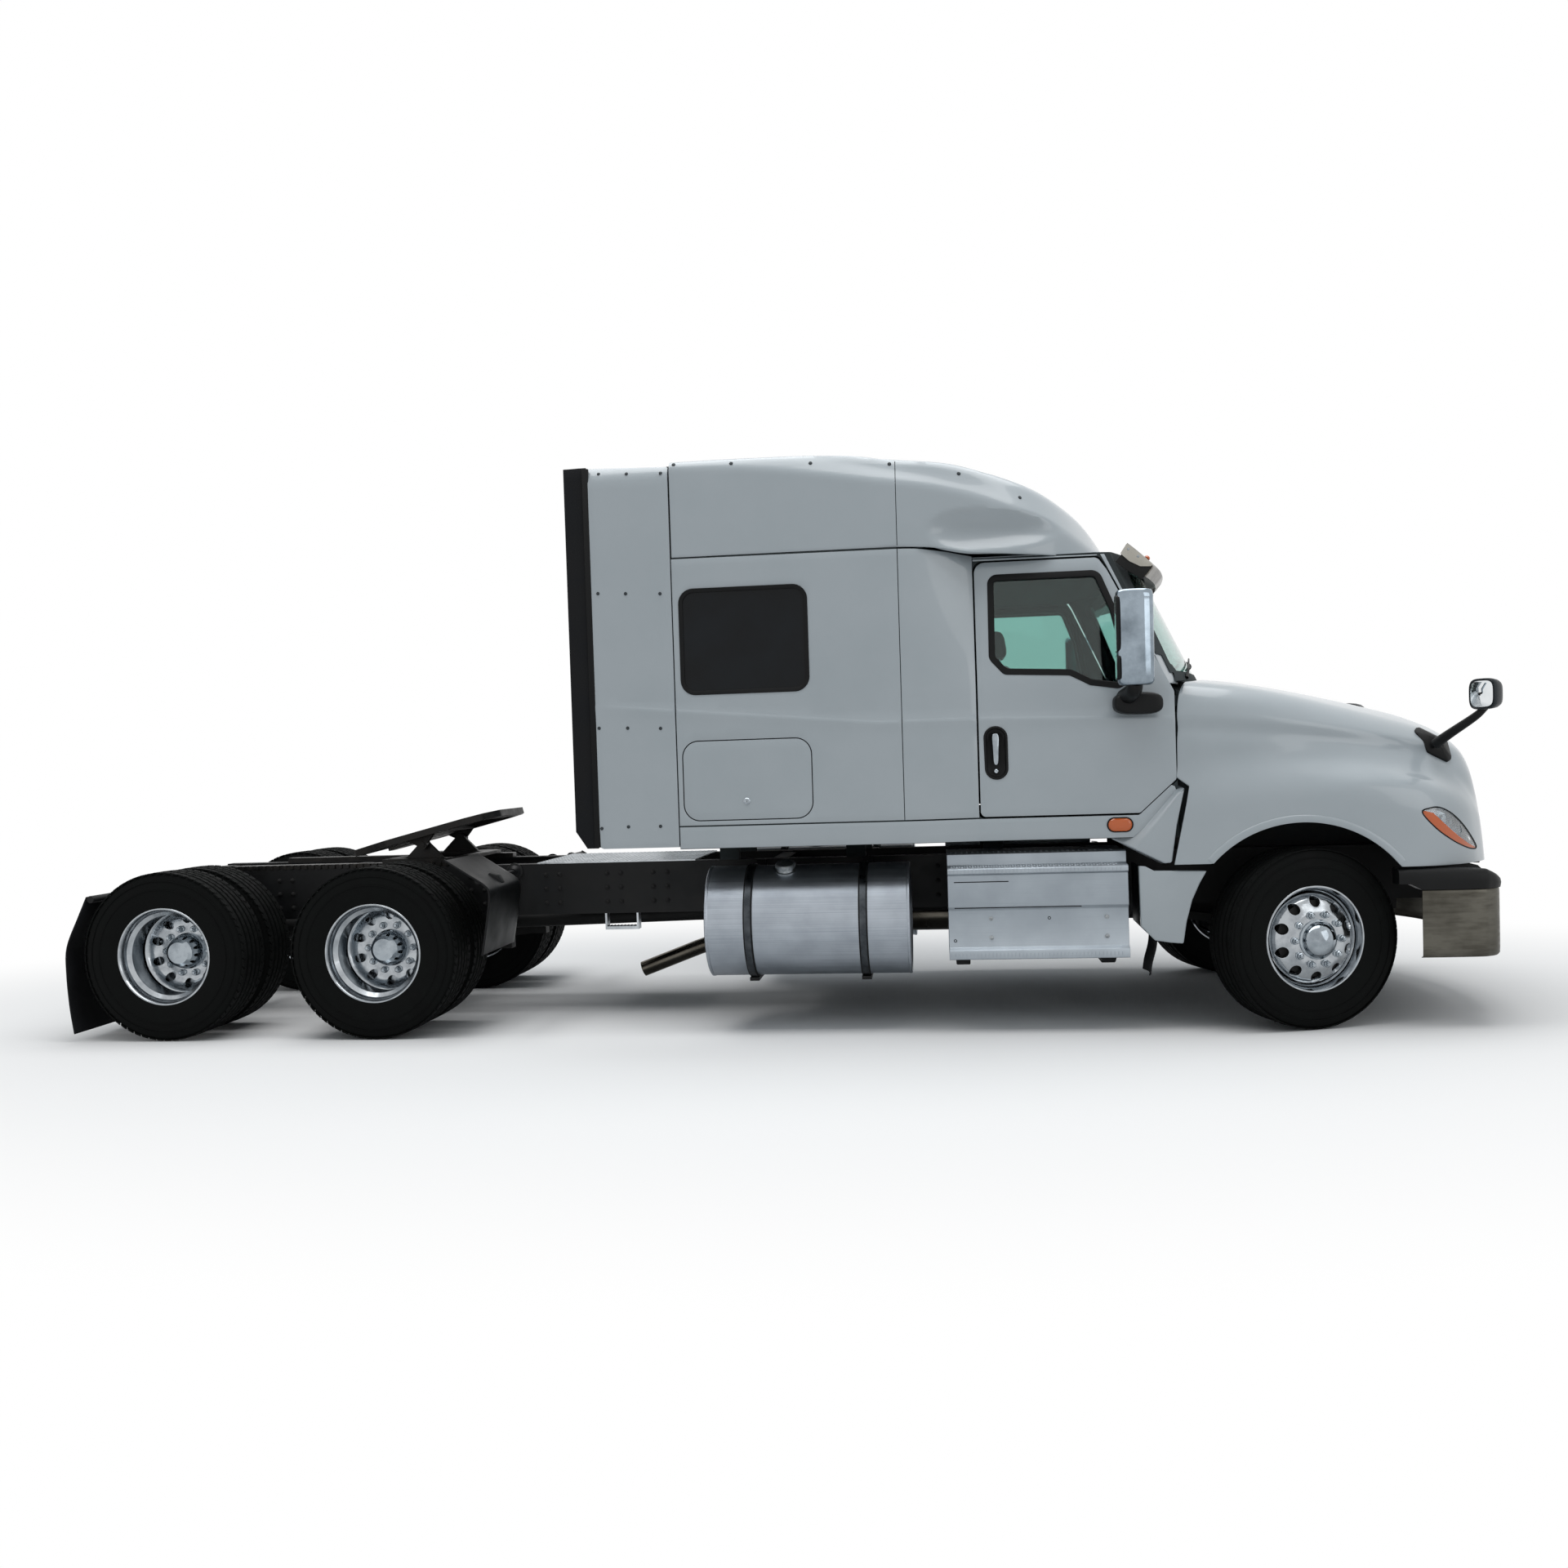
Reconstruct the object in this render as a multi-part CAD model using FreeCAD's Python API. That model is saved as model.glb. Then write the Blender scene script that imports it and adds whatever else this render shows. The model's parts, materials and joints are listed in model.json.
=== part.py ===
import FreeCAD
import Part
import math
import os

# Three-axle conventional tractor unit with a sleeper: one STEP file for each sub-part.
# Millimetres, +X forward, +Y left, +Z up. Shapes are drawn with X from the front axle's middle, and
# leave() moves them so that the origin is on the ground under the middle of the overall length.

V = FreeCAD.Vector
x_axis, y_axis, z_axis = V(1, 0, 0), V(0, 1, 0), V(0, 0, 1)

# ---------------------------------------------------------------- driving sizes
wheelbase = 6000            # front axle to the middle of the tandem
tandem_spacing = 1320
bumper_nose = 1290          # foremost point, on the middle plane
flap_rear = -7290           # rearmost point
fit_gap = 0.3               # between a pin and its bore, or glass and its frame
run_gap = 10                # round doors and lids

# wheels and steering
steer_at_rest = 17          # degrees to the left
kingpin_y = 930
kingpin_radius = 22
front_tyre_radius = 505
drive_tyre_radius = 515
front_track_half = 1030     # middle of the tyre
disc_offset = 168.5         # rim's middle plane to the disc's mounting face
dual_face_y = 909.5         # where the two discs of a pair of drive wheels meet
tyre_width = 280
bead_radius = 286
lip_radius = 298
rim_half = 125
rim_wall = 12
disc_wall = 22
spindle_radius = 40
hub_radius = 110
drum_radius = 225
hand_holes = 10
hand_hole_radius = 32
hand_hole_circle = 202
steer_arm = 170
tie_rod_z = front_tyre_radius - 145
tie_rod_radius = 18
stud_radius = 12

# frame
rail_y = 430                # outer face of each rail
rail_flange = 85
rail_wall = 9
rail_z = (645, 970)
rail_x = (-7080, 950)
cross_x = (880, -1750, -3000, -4300, -5330, -6000, -7030)

# tanks and steps
tank_x = (-3385, -2155)
tank_radius = 330
tank_y = 870
tank_z = 636
strap_x = (-3090, -2425)
strap_wall = 5
step_x = (-1942, -939)

# cab and sleeper
side_line = ((1160, 1090), (1132, 1975), (1030, 2700))   # cab's outer face: half width, height
sleeper_half = 1215
sleeper_x = (-3460, -2170)
sleeper_top = 2756
flare_front = -1752
wall = 50
floor_wall = 60
firewall_x = -590
windshield_base = 1957
windshield_side = -680      # at the pillars
windshield_nose = -345      # on the middle plane
windshield_rake = 0.481     # rearwards for each unit of height
glass_wall = 6
glass_inset = 10
extender_x = (-4080, -3941, -3460)   # flap's rear edge, panel's rear edge, panel's front edge
extender_z = (1103, 3298)
extender_wall = 22

# side doors
door_x = (-1742, -661)
door_z = (1228, 2672)
hinge_depth = 24            # hinge axis inside the outer face
hinge_setback = 24          # hinge axis behind the door's front edge
hinge_lean = 0.094          # inwards for each unit of height
hinge_ref_z = 1680
hinge_heights = (-170, 170) # about hinge_ref_z
hinge_length = 60
pin_radius = 7
knuckle_radius = 12
hinge_skin = 7
door_swing = 52             # the door's front corner sweeps less than this far ahead of the hinge axis
lug_door_x = (-3427, -2689)
lug_door_z = (1240, 1733)
lug_corner = 90
lug_depth = 10
lug_setback = 10
lug_pin = 3.5
lug_knuckle = 5.5
lug_swing = 19              # the lid's top edge sweeps inside this radius
bunk_z = 1620               # top of the bunk's board
bunk_window_x = (-3420, -2690)
bunk_window_z = (1950, 2607)

# hood
hood_rear = -642
hood_wall = 16
hood_hinge = (1190, 812)    # x, z
hood_hinge_radius = 12
arch_radius = 650
fender_half = 1195
nose_bend = 0.000219        # plan curve: x falls by this times the square of y

# fifth wheel
coupler_x = -5330
coupler_pivot_z = 1112
coupler_top = 88            # plate's top above the pivot
coupler_tilt = 13.8         # degrees, rear down, at rest
coupler_half = 457
coupler_pin_radius = 20
throat_radius = 26
track_x = (-6620, -4960)
track_z = (970, 1000)

axle2_x = -(wheelbase - tandem_spacing / 2)
axle3_x = -(wheelbase + tandem_spacing / 2)
origin_x = (bumper_nose + flap_rear) / 2

os.makedirs("parts", exist_ok=True)


# ---------------------------------------------------------------- helpers
def leave(name, shape):
    moved = shape.copy()
    moved.translate(V(-origin_x, 0, 0))
    moved.exportStep("parts/" + name + ".step")


def block(x0, x1, y0, y1, z0, z1):
    return Part.makeBox(x1 - x0, y1 - y0, z1 - z0, V(x0, y0, z0))


def rod(start, end, radius):
    a, b = V(*start), V(*end)
    return Part.makeCylinder(radius, (b - a).Length, a, b - a)


def fuse(shapes):
    joined = shapes[0].multiFuse(shapes[1:]) if len(shapes) > 1 else shapes[0]
    return joined.removeSplitter()


def mirrored(shape):
    return shape.mirror(V(0, 0, 0), y_axis)


def both(shape):
    # the left-hand shape and its mirror image on the right, as separate solids
    return Part.makeCompound([shape, mirrored(shape)])


def turned(shape, centre, axis, degrees):
    moved = shape.copy()
    moved.rotate(V(*centre), axis, degrees)
    return moved


def outline(points, place):
    # a wire through flat points; a pair of points in a list is an arc: [on the arc, its end]
    edges = []
    first = None
    last = None
    for p in points:
        if isinstance(p, list):
            middle, end = place(*p[0]), place(*p[1])
            edges.append(Part.Arc(last, middle, end).toShape())
            last = end
            continue
        here = place(*p)
        if last is not None and (here - last).Length > 1e-6:
            edges.append(Part.LineSegment(last, here).toShape())
        last = here
        first = first or here
    if (last - first).Length > 1e-6:
        edges.append(Part.LineSegment(last, first).toShape())
    return Part.Wire(edges)


def slab_xz(points, y0, y1):
    wire = outline(points, lambda x, z: V(x, y0, z))
    return Part.Face(wire).extrude(V(0, y1 - y0, 0))


def slab_xy(points, z0, z1):
    wire = outline(points, lambda x, y: V(x, y, z0))
    return Part.Face(wire).extrude(V(0, 0, z1 - z0))


def leaning_slab(points, z0, z1, lean):
    # (x, y) points at z0; the walls lean to the rear by lean for each unit of height
    tilt = math.atan(lean)
    reach = 3000
    wire = outline(points, lambda x, y: V(x * math.cos(tilt), y, -reach))
    prism = Part.Face(wire).extrude(V(0, 0, 2 * reach))
    prism = at(turned(prism, (0, 0, 0), y_axis, -math.degrees(tilt)), 0, 0, z0)
    return prism.common(block(-4000, 1500, -1400, 1400, z0, z1))


def slab_yz(points, x0, x1):
    wire = outline(points, lambda y, z: V(x0, y, z))
    return Part.Face(wire).extrude(V(x1 - x0, 0, 0))


def spun(points, y=0):
    # a solid of revolution about the Y axis, from (place along Y, radius) points
    wire = outline(points, lambda a, r: V(r, y + a, 0))
    return Part.Face(wire).revolve(V(0, 0, 0), y_axis, 360)


def at(shape, x, y, z):
    moved = shape.copy()
    moved.translate(V(x, y, z))
    return moved


def rounded(points, radii):
    # flat corners, each with its radius, as points and arcs for outline()
    out = []
    n = len(points)
    for i in range(n):
        (ax, ay), (px, py), (bx, by) = points[i - 1], points[i], points[(i + 1) % n]
        r = radii[i] if isinstance(radii, (list, tuple)) else radii
        if not r:
            out.append((px, py))
            continue
        la, lb = math.hypot(ax - px, ay - py), math.hypot(bx - px, by - py)
        ua, ub = ((ax - px) / la, (ay - py) / la), ((bx - px) / lb, (by - py) / lb)
        half = math.acos(max(-1, min(1, ua[0] * ub[0] + ua[1] * ub[1]))) / 2
        cut = r / math.tan(half)
        mx, my = ua[0] + ub[0], ua[1] + ub[1]
        k = (r / math.sin(half) - r) / math.hypot(mx, my)
        out.append((px + ua[0] * cut, py + ua[1] * cut))
        out.append([(px + mx * k, py + my * k), (px + ub[0] * cut, py + ub[1] * cut)])
    return out


def biggest(shape):
    return max(shape.Solids, key=lambda s: s.Volume)


# ---------------------------------------------------------------- wheels
def tyre(radius):
    # one carcass about the Y axis, its middle at y = 0
    half = tyre_width / 2
    seat = rim_half - rim_wall - fit_gap
    r0, r1 = bead_radius + fit_gap, lip_radius + 3
    w = 20
    right = [(seat, r0), (seat, r1), [(half, r1 + 95), (half - 12, radius - 35)],
             [(half - 18, radius - 12), (half - 40, radius - 4)], (0, radius)]
    left = [(-half + 40, radius - 4), [(-half + 18, radius - 12), (-half + 12, radius - 35)],
            [(-half, r1 + 95), (-seat, r1)], (-seat, r0)]
    inside = [(-seat + w, r0), (-seat + w, r1 + 5), [(-half + w, r1 + 90), (-half + w + 14, radius - 45)],
              (half - w - 14, radius - 45), [(half - w, r1 + 90), (seat - w, r1 + 5)], (seat - w, r0)]
    return spun(right + left + inside)


def rim():
    # barrel with a drop well, its middle at y = 0
    a, b = rim_half, rim_half - rim_wall
    seat, well = bead_radius, bead_radius - 26
    outer = [(-a, seat - rim_wall), (-a, lip_radius), (-b, lip_radius), (-b, seat), (-70, seat), (-55, well),
             (55, well), (70, seat), (b, seat), (b, lip_radius), (a, lip_radius), (a, seat - rim_wall)]
    inner = [(66, seat - rim_wall), (50, well - rim_wall), (-50, well - rim_wall), (-66, seat - rim_wall)]
    return spun(outer + inner)


def disc():
    # dished disc: bolts up at y = disc_offset and runs back to the barrel's well
    f, t = disc_offset, disc_wall
    well = bead_radius - 26 - rim_wall
    plate = spun([(f, hub_radius), (f, 176), (f - 55, 228), (46, well + 1), (18, well + 1),
                  (f - 76, 212), (f - t, 168), (f - t, hub_radius)])
    holes = [rod((0, 0, hand_hole_circle), (0, f + 5, hand_hole_circle), hand_hole_radius)]
    step = 360 / hand_holes
    return plate.cut([turned(holes[0], (0, 0, 0), y_axis, step * i) for i in range(hand_holes)])


def front_wheel():
    # drawn straight ahead, at the left kingpin
    f = front_track_half + disc_offset
    hub = spun([(1060, spindle_radius + fit_gap), (1166, spindle_radius + fit_gap), (1166, 0), (f + 42, 0),
                (f + 42, 88), (f, 95), (f, hub_radius + 2), (1060, hub_radius + 2)])
    drum = spun([(1003, drum_radius - 20), (1003, drum_radius), (1150, drum_radius), (1150, hub_radius),
                 (1130, hub_radius), (1130, drum_radius - 20)])
    whole = fuse([at(rim(), 0, front_track_half, 0), at(disc(), 0, front_track_half, 0), hub, drum])
    return at(whole, 0, 0, front_tyre_radius)


def drive_wheels():
    outer = turned(fuse([rim(), disc()]), (0, 0, 0), z_axis, 180)
    inner = fuse([rim(), disc()])
    y_out, y_in = dual_face_y + disc_offset, dual_face_y - disc_offset
    bore = spindle_radius + fit_gap
    hub = spun([(700, bore), (1002, bore), (1002, 0), (1062, 0), (1062, 70), (1020, 92), (1010, hub_radius + 2),
                (700, hub_radius + 2)])
    drum = spun([(655, drum_radius - 20), (655, drum_radius), (860, drum_radius), (860, hub_radius),
                 (840, hub_radius), (840, drum_radius - 20)])
    return at(fuse([at(outer, 0, y_out, 0), at(inner, 0, y_in, 0), hub, drum]), 0, 0, drive_tyre_radius)


def wheels():
    steer_turn = lambda s, side: turned(s, (0, side * kingpin_y, 0), z_axis, steer_at_rest)
    left = front_wheel()
    left_tyre = at(tyre(front_tyre_radius), 0, front_track_half, front_tyre_radius)
    for side, name in ((1, "left"), (-1, "right")):
        pick = (lambda s: s) if side > 0 else mirrored
        leave("front_wheel_" + name, steer_turn(pick(left), side))
        leave("front_tyre_" + name, steer_turn(pick(left_tyre), side))
    pair = drive_wheels()
    pair_tyres = [at(tyre(drive_tyre_radius), 0, dual_face_y + s * disc_offset, drive_tyre_radius) for s in (1, -1)]
    pair_tyres = Part.makeCompound(pair_tyres)
    for x, place in ((axle2_x, "forward"), (axle3_x, "rearward")):
        leave("drive_wheels_" + place + "_left", at(pair, x, 0, 0))
        leave("drive_wheels_" + place + "_right", at(mirrored(pair), x, 0, 0))
        leave("drive_tyres_" + place + "_left", at(pair_tyres, x, 0, 0))
        leave("drive_tyres_" + place + "_right", at(mirrored(pair_tyres), x, 0, 0))


# ---------------------------------------------------------------- axles, steering and suspension
def front_axle():
    z = front_tyre_radius
    beam = block(-45, 45, -kingpin_y + 40, kingpin_y - 40, z - 74, z - 5)
    ends = [rod((0, s * kingpin_y, z - 75), (0, s * kingpin_y, z + 75), 46) for s in (1, -1)]
    web = [block(-30, 30, s * 860 - 30, s * 860 + 30, z - 60, z + 55) for s in (1, -1)]
    pins = [rod((0, s * kingpin_y, z - 80), (0, s * kingpin_y, z + 80), kingpin_radius + fit_gap) for s in (1, -1)]
    return fuse([beam] + ends + web).cut(pins)


def knuckle():
    # left-hand, drawn straight ahead
    y, z = kingpin_y, front_tyre_radius
    top = block(-46, 46, y - 46, y + 65, z + 80, z + 115)
    low = block(-46, 46, y - 46, y + 65, z - 115, z - 80)
    back = block(-60, 60, y + 52, y + 66, z - 115, z + 115)
    plate = rod((0, y + 60, z), (0, y + 68, z), drum_radius - 25)
    spindle = rod((0, y + 60, z), (0, 1164, z), spindle_radius)
    pin = rod((0, y, z - 115), (0, y, z + 115), kingpin_radius)
    arm = block(-steer_arm - 22, -40, y - 20, y + 20, z - 115, z - 85)
    hole = rod((-steer_arm, y, z - 130), (-steer_arm, y, z - 70), stud_radius + fit_gap)
    return fuse([top, low, back, plate, spindle, pin, arm]).cut(hole)


def tie_rod():
    # the studs stand in the steering arms' ends
    z = front_tyre_radius
    turn = math.radians(steer_at_rest)
    x, dy = -steer_arm * math.cos(turn), -steer_arm * math.sin(turn)
    bar = rod((x, dy - kingpin_y, tie_rod_z), (x, dy + kingpin_y, tie_rod_z), tie_rod_radius)
    studs = [rod((x, dy + s * kingpin_y, tie_rod_z), (x, dy + s * kingpin_y, z - 85), stud_radius) for s in (1, -1)]
    eyes = [rod((x, dy + s * kingpin_y, tie_rod_z - 20), (x, dy + s * kingpin_y, tie_rod_z + 20), 24) for s in (1, -1)]
    return fuse([bar] + studs + eyes)


def front_springs():
    z = front_tyre_radius - 5
    y0, y1 = rail_y - rail_flange, rail_y - 4
    top = rail_z[0]
    leaf = [(-720, top - 55), [(0, z), (720, top - 55)], (720, top - 5), [(0, z + 50), (-720, top - 5)]]
    hangers = [block(x - 35, x + 35, y0, y1, top - 60, top) for x in (-690, 690)]
    pad = block(-60, 60, y0, y1, z, z + 25)
    return both(fuse([slab_xz(leaf, y0, y1), pad] + hangers))


def drive_axle(x):
    z = drive_tyre_radius
    beam = block(x - 60, x + 60, -600, 600, z - 60, z + 60)
    bowl = rod((x - 95, 0, z), (x + 95, 0, z), 215)
    nose = rod((x + 60, 0, z + 45), (x + 340, 0, z + 45), 95)
    ends = [rod((x, s * 590, z), (x, s * 1000, z), spindle_radius) for s in (1, -1)]
    plates = [rod((x, s * 626, z), (x, s * 640, z), drum_radius - 15) for s in (1, -1)]
    tubes = [rod((x, s * 590, z), (x, s * 640, z), 70) for s in (1, -1)]
    return fuse([beam, bowl, nose] + ends + plates + tubes)


def rear_arms():
    # trailing arms under each drive axle, with their hangers up to the rail; the axle sits on the arm
    top = drive_tyre_radius - 60
    y0, y1 = rail_y - rail_flange, rail_y - 5
    arms = []
    for x in (axle2_x, axle3_x):
        arm = slab_xz([(x + 600, 430), (x + 600, 520), (x + 500, 520), (x + 90, top), (x - 90, top), (x - 220, 430),
                       (x - 470, 430), (x - 470, 380), (x - 220, 380), (x - 90, top - 70), (x + 90, top - 70),
                       (x + 500, 430)], y0, y1)
        hanger = block(x + 500, x + 600, y0, y1, 480, rail_z[0])
        arms.append(fuse([arm, hanger]))
    return Part.makeCompound(arms + [mirrored(a) for a in arms])


def air_springs():
    y = rail_y - rail_flange / 2
    bags = []
    for x in (axle2_x - 345, axle3_x - 345):
        bag = fuse([rod((x, y, 430), (x, y, rail_z[0]), 78), rod((x, y, 465), (x, y, rail_z[0] - 12), 122)])
        bags.append(bag)
    return Part.makeCompound(bags + [mirrored(b) for b in bags])


def drive_shafts():
    z = drive_tyre_radius + 45
    x0, x1 = axle2_x + 340, axle3_x + 340
    first = fuse([rod((-1502, 0, 640), (x0, 0, z), 50), rod((-1502, 0, 640), (-1560, 0, 638), 62)])
    second = rod((axle2_x - 95, 0, z), (x1, 0, z), 42)
    return [first, second]


# ---------------------------------------------------------------- frame and what hangs on it
def frame():
    x0, x1 = rail_x
    z0, z1 = rail_z
    t = rail_wall
    rail = block(x0, x1, rail_y - rail_flange, rail_y, z0, z1)
    rail = rail.cut(block(x0 - 1, x1 + 1, rail_y - rail_flange - 1, rail_y - t, z0 + t, z1 - t))
    cross = [block(x - 45, x + 45, -rail_y + t, rail_y - t, z1 - 150, z1 - t) for x in cross_x]
    hollow = [block(x - 45 + t, x + 46, -rail_y + 60, rail_y - 60, z1 - 150 + t, z1 - t - t) for x in cross_x]
    cross = [c.cut(h) for c, h in zip(cross, hollow)]
    return fuse([rail, mirrored(rail)] + cross)


def engine():
    # engine block, bell housing and gearbox in one, and the radiator apart from them
    body = block(-500, 620, -320, 320, front_tyre_radius + 55, 1400)
    mounts = [block(-120, 40, s * 370 - 51, s * 370 + 51, 700, 800) for s in (1, -1)]
    bell = slab_yz(rounded([(-300, 560), (300, 560), (300, 960), (-300, 960)], 90), -760, -500)
    case = slab_yz(rounded([(-200, 520), (200, 520), (200, 880), (-200, 880)], 60), -1500, -760)
    radiator = block(720, 810, -420, 420, rail_z[1], 1500)
    return Part.makeCompound([fuse([body, bell, case] + mounts), radiator])


def exhaust():
    # canister under the left rail, then a pipe that slopes down to the rear
    y, z = 300, 525
    can = rod((-2600, y, z), (-1700, y, z), 112)
    stops = [block(x - 20, x + 20, y + 60, y + 100, z, rail_z[0]) for x in (-2450, -1850)]
    route = [(-2600, y, z), (-3350, y, 420), (-3650, y, 320), (-4040, y, 175)]
    runs = [rod(a, b, 52) for a, b in zip(route, route[1:])]
    bends = [Part.makeSphere(52, V(*p)) for p in route[1:-1]]
    return fuse([can] + stops + runs + bends)


def fuel_tank():
    body = rod((tank_x[0], tank_y, tank_z), (tank_x[1], tank_y, tank_z), tank_radius)
    cap = rod((-2985, tank_y + 60, tank_z + tank_radius - 40), (-2985, tank_y + 75, tank_z + tank_radius + 22), 45)
    return fuse([body, cap])


def tank_brackets():
    # an L that holds the tank from below and behind, with its strap round the outside
    r = tank_radius + fit_gap
    pieces = []
    for x in strap_x:
        heel = [(rail_y, rail_z[1]), (rail_y + 45, rail_z[1]), (tank_y - 250, 600), (tank_y - 200, 420),
                (tank_y - 60, tank_z - r - 2), (tank_y + 90, tank_z - r - 2), (tank_y + 90, tank_z - r - 22),
                (tank_y - 140, tank_z - r - 22), (rail_y + 40, 420), (rail_y, 640)]
        el = slab_yz(heel, x - 28, x + 28)
        ring = rod((x - 21, tank_y, tank_z), (x + 21, tank_y, tank_z), r + strap_wall)
        core = rod((x - 40, tank_y, tank_z), (x + 40, tank_y, tank_z), r)
        pieces.append(biggest(fuse([el, ring]).cut(core)))
    return Part.makeCompound(pieces + [mirrored(p) for p in pieces])


def step_box():
    y = 1200
    face = [(700, 1020), (y - 85, 1020), (y - 85, 950), (y, 942), (y, 905), (y - 22, 895), (y - 12, 722),
            (y - 34, 700), (y - 30, 492), (y, 474), (y, 425), (700, 425)]
    arms = [block(x - 30, x + 30, rail_y, 702, 690, 750) for x in (-1800, -1080)]
    return fuse([slab_yz(face, step_x[0], step_x[1])] + arms)


def deck_plate():
    return block(-4550, -3520, -rail_y, rail_y, rail_z[1], rail_z[1] + 8)


def stirrup_step():
    y0, y1 = -rail_y, -rail_y + 75
    sides = [block(x - 6, x + 6, y0, y1, 545, rail_z[0]) for x in (-4110, -3905)]
    tread = block(-4116, -3899, y0, y1, 540, 560)
    return fuse(sides + [tread])


def quarter_fenders():
    x = axle2_x
    inner = [(x + 460, 1052), (x + 712, 890), (x + 725, 850), (x + 668, 494)]
    outer = [(x + 674, 493), (x + 732, 852), (x + 718, 897), (x + 463, 1060)]
    plate = slab_xz(inner + outer, 600, 1218)
    bar = rod((x + 640, rail_y, 925), (x + 640, 1150, 925), 16)
    return both(fuse([plate, bar]))


def mud_flaps():
    # rubber flap hung from a bar behind the rear tyres
    r, f = flap_rear, 10
    sheet = [(r + 155.7, 868), (r + 14, 583), (r + 44, 51), (r + 44 - f, 51), (r, 583), (r + 142, 873)]
    return both(slab_xz(sheet, 600, 1218))


def flap_bars():
    x = flap_rear + 178
    bar = rod((x, rail_y + 6, 872), (x, 1212, 872), 22)
    foot = block(x - 30, rail_x[0] + 60, rail_y, rail_y + 12, 835, 915)
    return both(fuse([bar, foot]))


def skirts():
    # below the cab's front corner, behind the front wheel, with a bracket to the rail
    side = [(-883, 937), (-800, 905), (-516, 899), [(-612, 722), (-650, 497)], (-804, 517), (-878, 596)]
    face = slab_xz(side, 1150, fender_half)
    brace = block(-800, -760, rail_y, 1155, 700, 760)
    return both(fuse([face, brace]))


def bumper():
    r = bumper_nose
    b = nose_bend

    def ring(inset):
        n = r - inset
        return [(620, -1185 + inset), (930, -1180 + inset), [(1075 - inset * 0.7, -1110 + inset * 0.7),
                (n - b * 880 ** 2 + 4, -880 + inset * 0.3)], [(n, 0), (n - b * 880 ** 2 + 4, 880 - inset * 0.3)],
                [(1075 - inset * 0.7, 1110 - inset * 0.7), (930, 1180 - inset)], (620, 1185 - inset)]
    outer = slab_xy(ring(0), 395, 775)
    inner = slab_xy(ring(12) , 394, 776)
    inner = fuse([inner, block(500, 640, -1173, 1173, 394, 776)])
    arms = [block(rail_x[1], 1262, s * 385 - 40, s * 385 + 40, 655, 770) for s in (1, -1)]
    shell = outer.cut(inner)
    arms = [a.common(outer) for a in arms]
    extra = [block(rail_x[1], 1000, s * 385 - 40, s * 385 + 40, 655, 770) for s in (1, -1)]
    return fuse([shell] + arms + extra)


# ---------------------------------------------------------------- cab, sleeper and roof
def side_at(z, inset=0):
    (y0, z0), (y1, z1), (y2, z2) = side_line
    if z < z1:
        return y0 + (y1 - y0) * (z - z0) / (z1 - z0) - inset
    return y1 + (y2 - y1) * (z - z1) / (z2 - z1) - inset


def cab_section(inset, low, high):
    z = (low, side_line[1][1], high)
    half = [(side_at(h, inset), h) for h in z]
    return half + [(-y, h) for y, h in reversed(half)]


def cab_block(inset):
    # the cab's solid between the firewall and the sleeper, each face moved in by inset
    low = side_line[0][1] + (floor_wall if inset >= wall else 0)
    high = side_line[2][1] - (wall if inset >= wall else 0)
    fire = firewall_x - inset
    rear = flare_front
    side = slab_yz(cab_section(inset, low, high), rear, 100)
    lower = block(rear, fire, -1300, 1300, low, windshield_base + 1)
    shift = inset * 1.1
    base = windshield_base + (inset if inset >= wall else 0)
    drop = windshield_rake * (base - windshield_base)
    front = [(rear - 10, -1300), (windshield_side - shift - drop - 130, -1300),
             [(windshield_nose - shift - drop, 0), (windshield_side - shift - drop - 130, 1300)], (rear - 10, 1300)]
    upper = leaning_slab(front, base, high + 1, windshield_rake)
    if inset >= wall:
        lower = block(rear, fire, -1300, 1300, low, base + 1)
    body = side.common(fuse([lower, upper]))
    x1 = sleeper_x[1]
    a = Part.makePolygon([V(rear, y, z) for y, z in cab_section(inset, low, high) + cab_section(inset, low, high)[:1]])
    wide = sleeper_half - inset
    half = [(wide, low), (wide, side_line[1][1]), (wide, high)]
    ring = half + [(-y, z) for y, z in reversed(half)]
    b = Part.makePolygon([V(x1, y, z) for y, z in ring + ring[:1]])
    flare = Part.makeLoft([a, b], True, True)
    return fuse([body, flare])


def narrow_firewall(shape):
    # the firewall stands clear of the hood's inside
    trim = block(-655, -500, -1300, 1300, 1000, windshield_base)
    sides = [block(-655, 0, s * 1200 - 100, s * 1200 + 100, 1000, windshield_base) for s in (1, -1)]
    return shape.cut([trim.cut(hood_solid(hood_wall + 10).fuse(block(-700, -400, -1100, 1100, 900, 1500)))] + sides)


def mount_feet(places):
    # rubber-block mounts between the rails' tops and the floor
    return [block(x - 60, x + 60, s * 388 - 42, s * 388 + 42, rail_z[1], side_line[0][1] + 5)
            for x in places for s in (1, -1)]


def door_outline(grow):
    g = grow
    x0, x1 = door_x[0] - g, door_x[1] + g
    z0, z1 = door_z[0] - g, door_z[1] + g
    top = side_line[2][1]
    pillar = lambda z: windshield_side - 12 - windshield_rake * (z - windshield_base) + g * 1.1
    corners = [(x0, z0), (-864 + g * 0.5, z0), (x1, 1412 - g * 0.4), (x1, 1900), (pillar(1975), 1975),
               (pillar(2600), 2600), (pillar(2640) - 30, z1), (x0, z1)]
    return rounded(corners, [30, 25, 25, 60, 0, 60, 40, 60])


def door_window(grow):
    g = grow
    corners = [(-1668 - g, 2120), (-1590, 2032 - g), (-1227, 2014 - g), (-1116, 1954 - g), (-960, 1930 - g),
               (-880 + g, 1975), (-965 + g, 2378), (-1050 + g, 2595 + g), (-1663 - g, 2595 + g)]
    return rounded(corners, [60, 40, 60, 50, 40, 30, 60, 60, 50])


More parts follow.
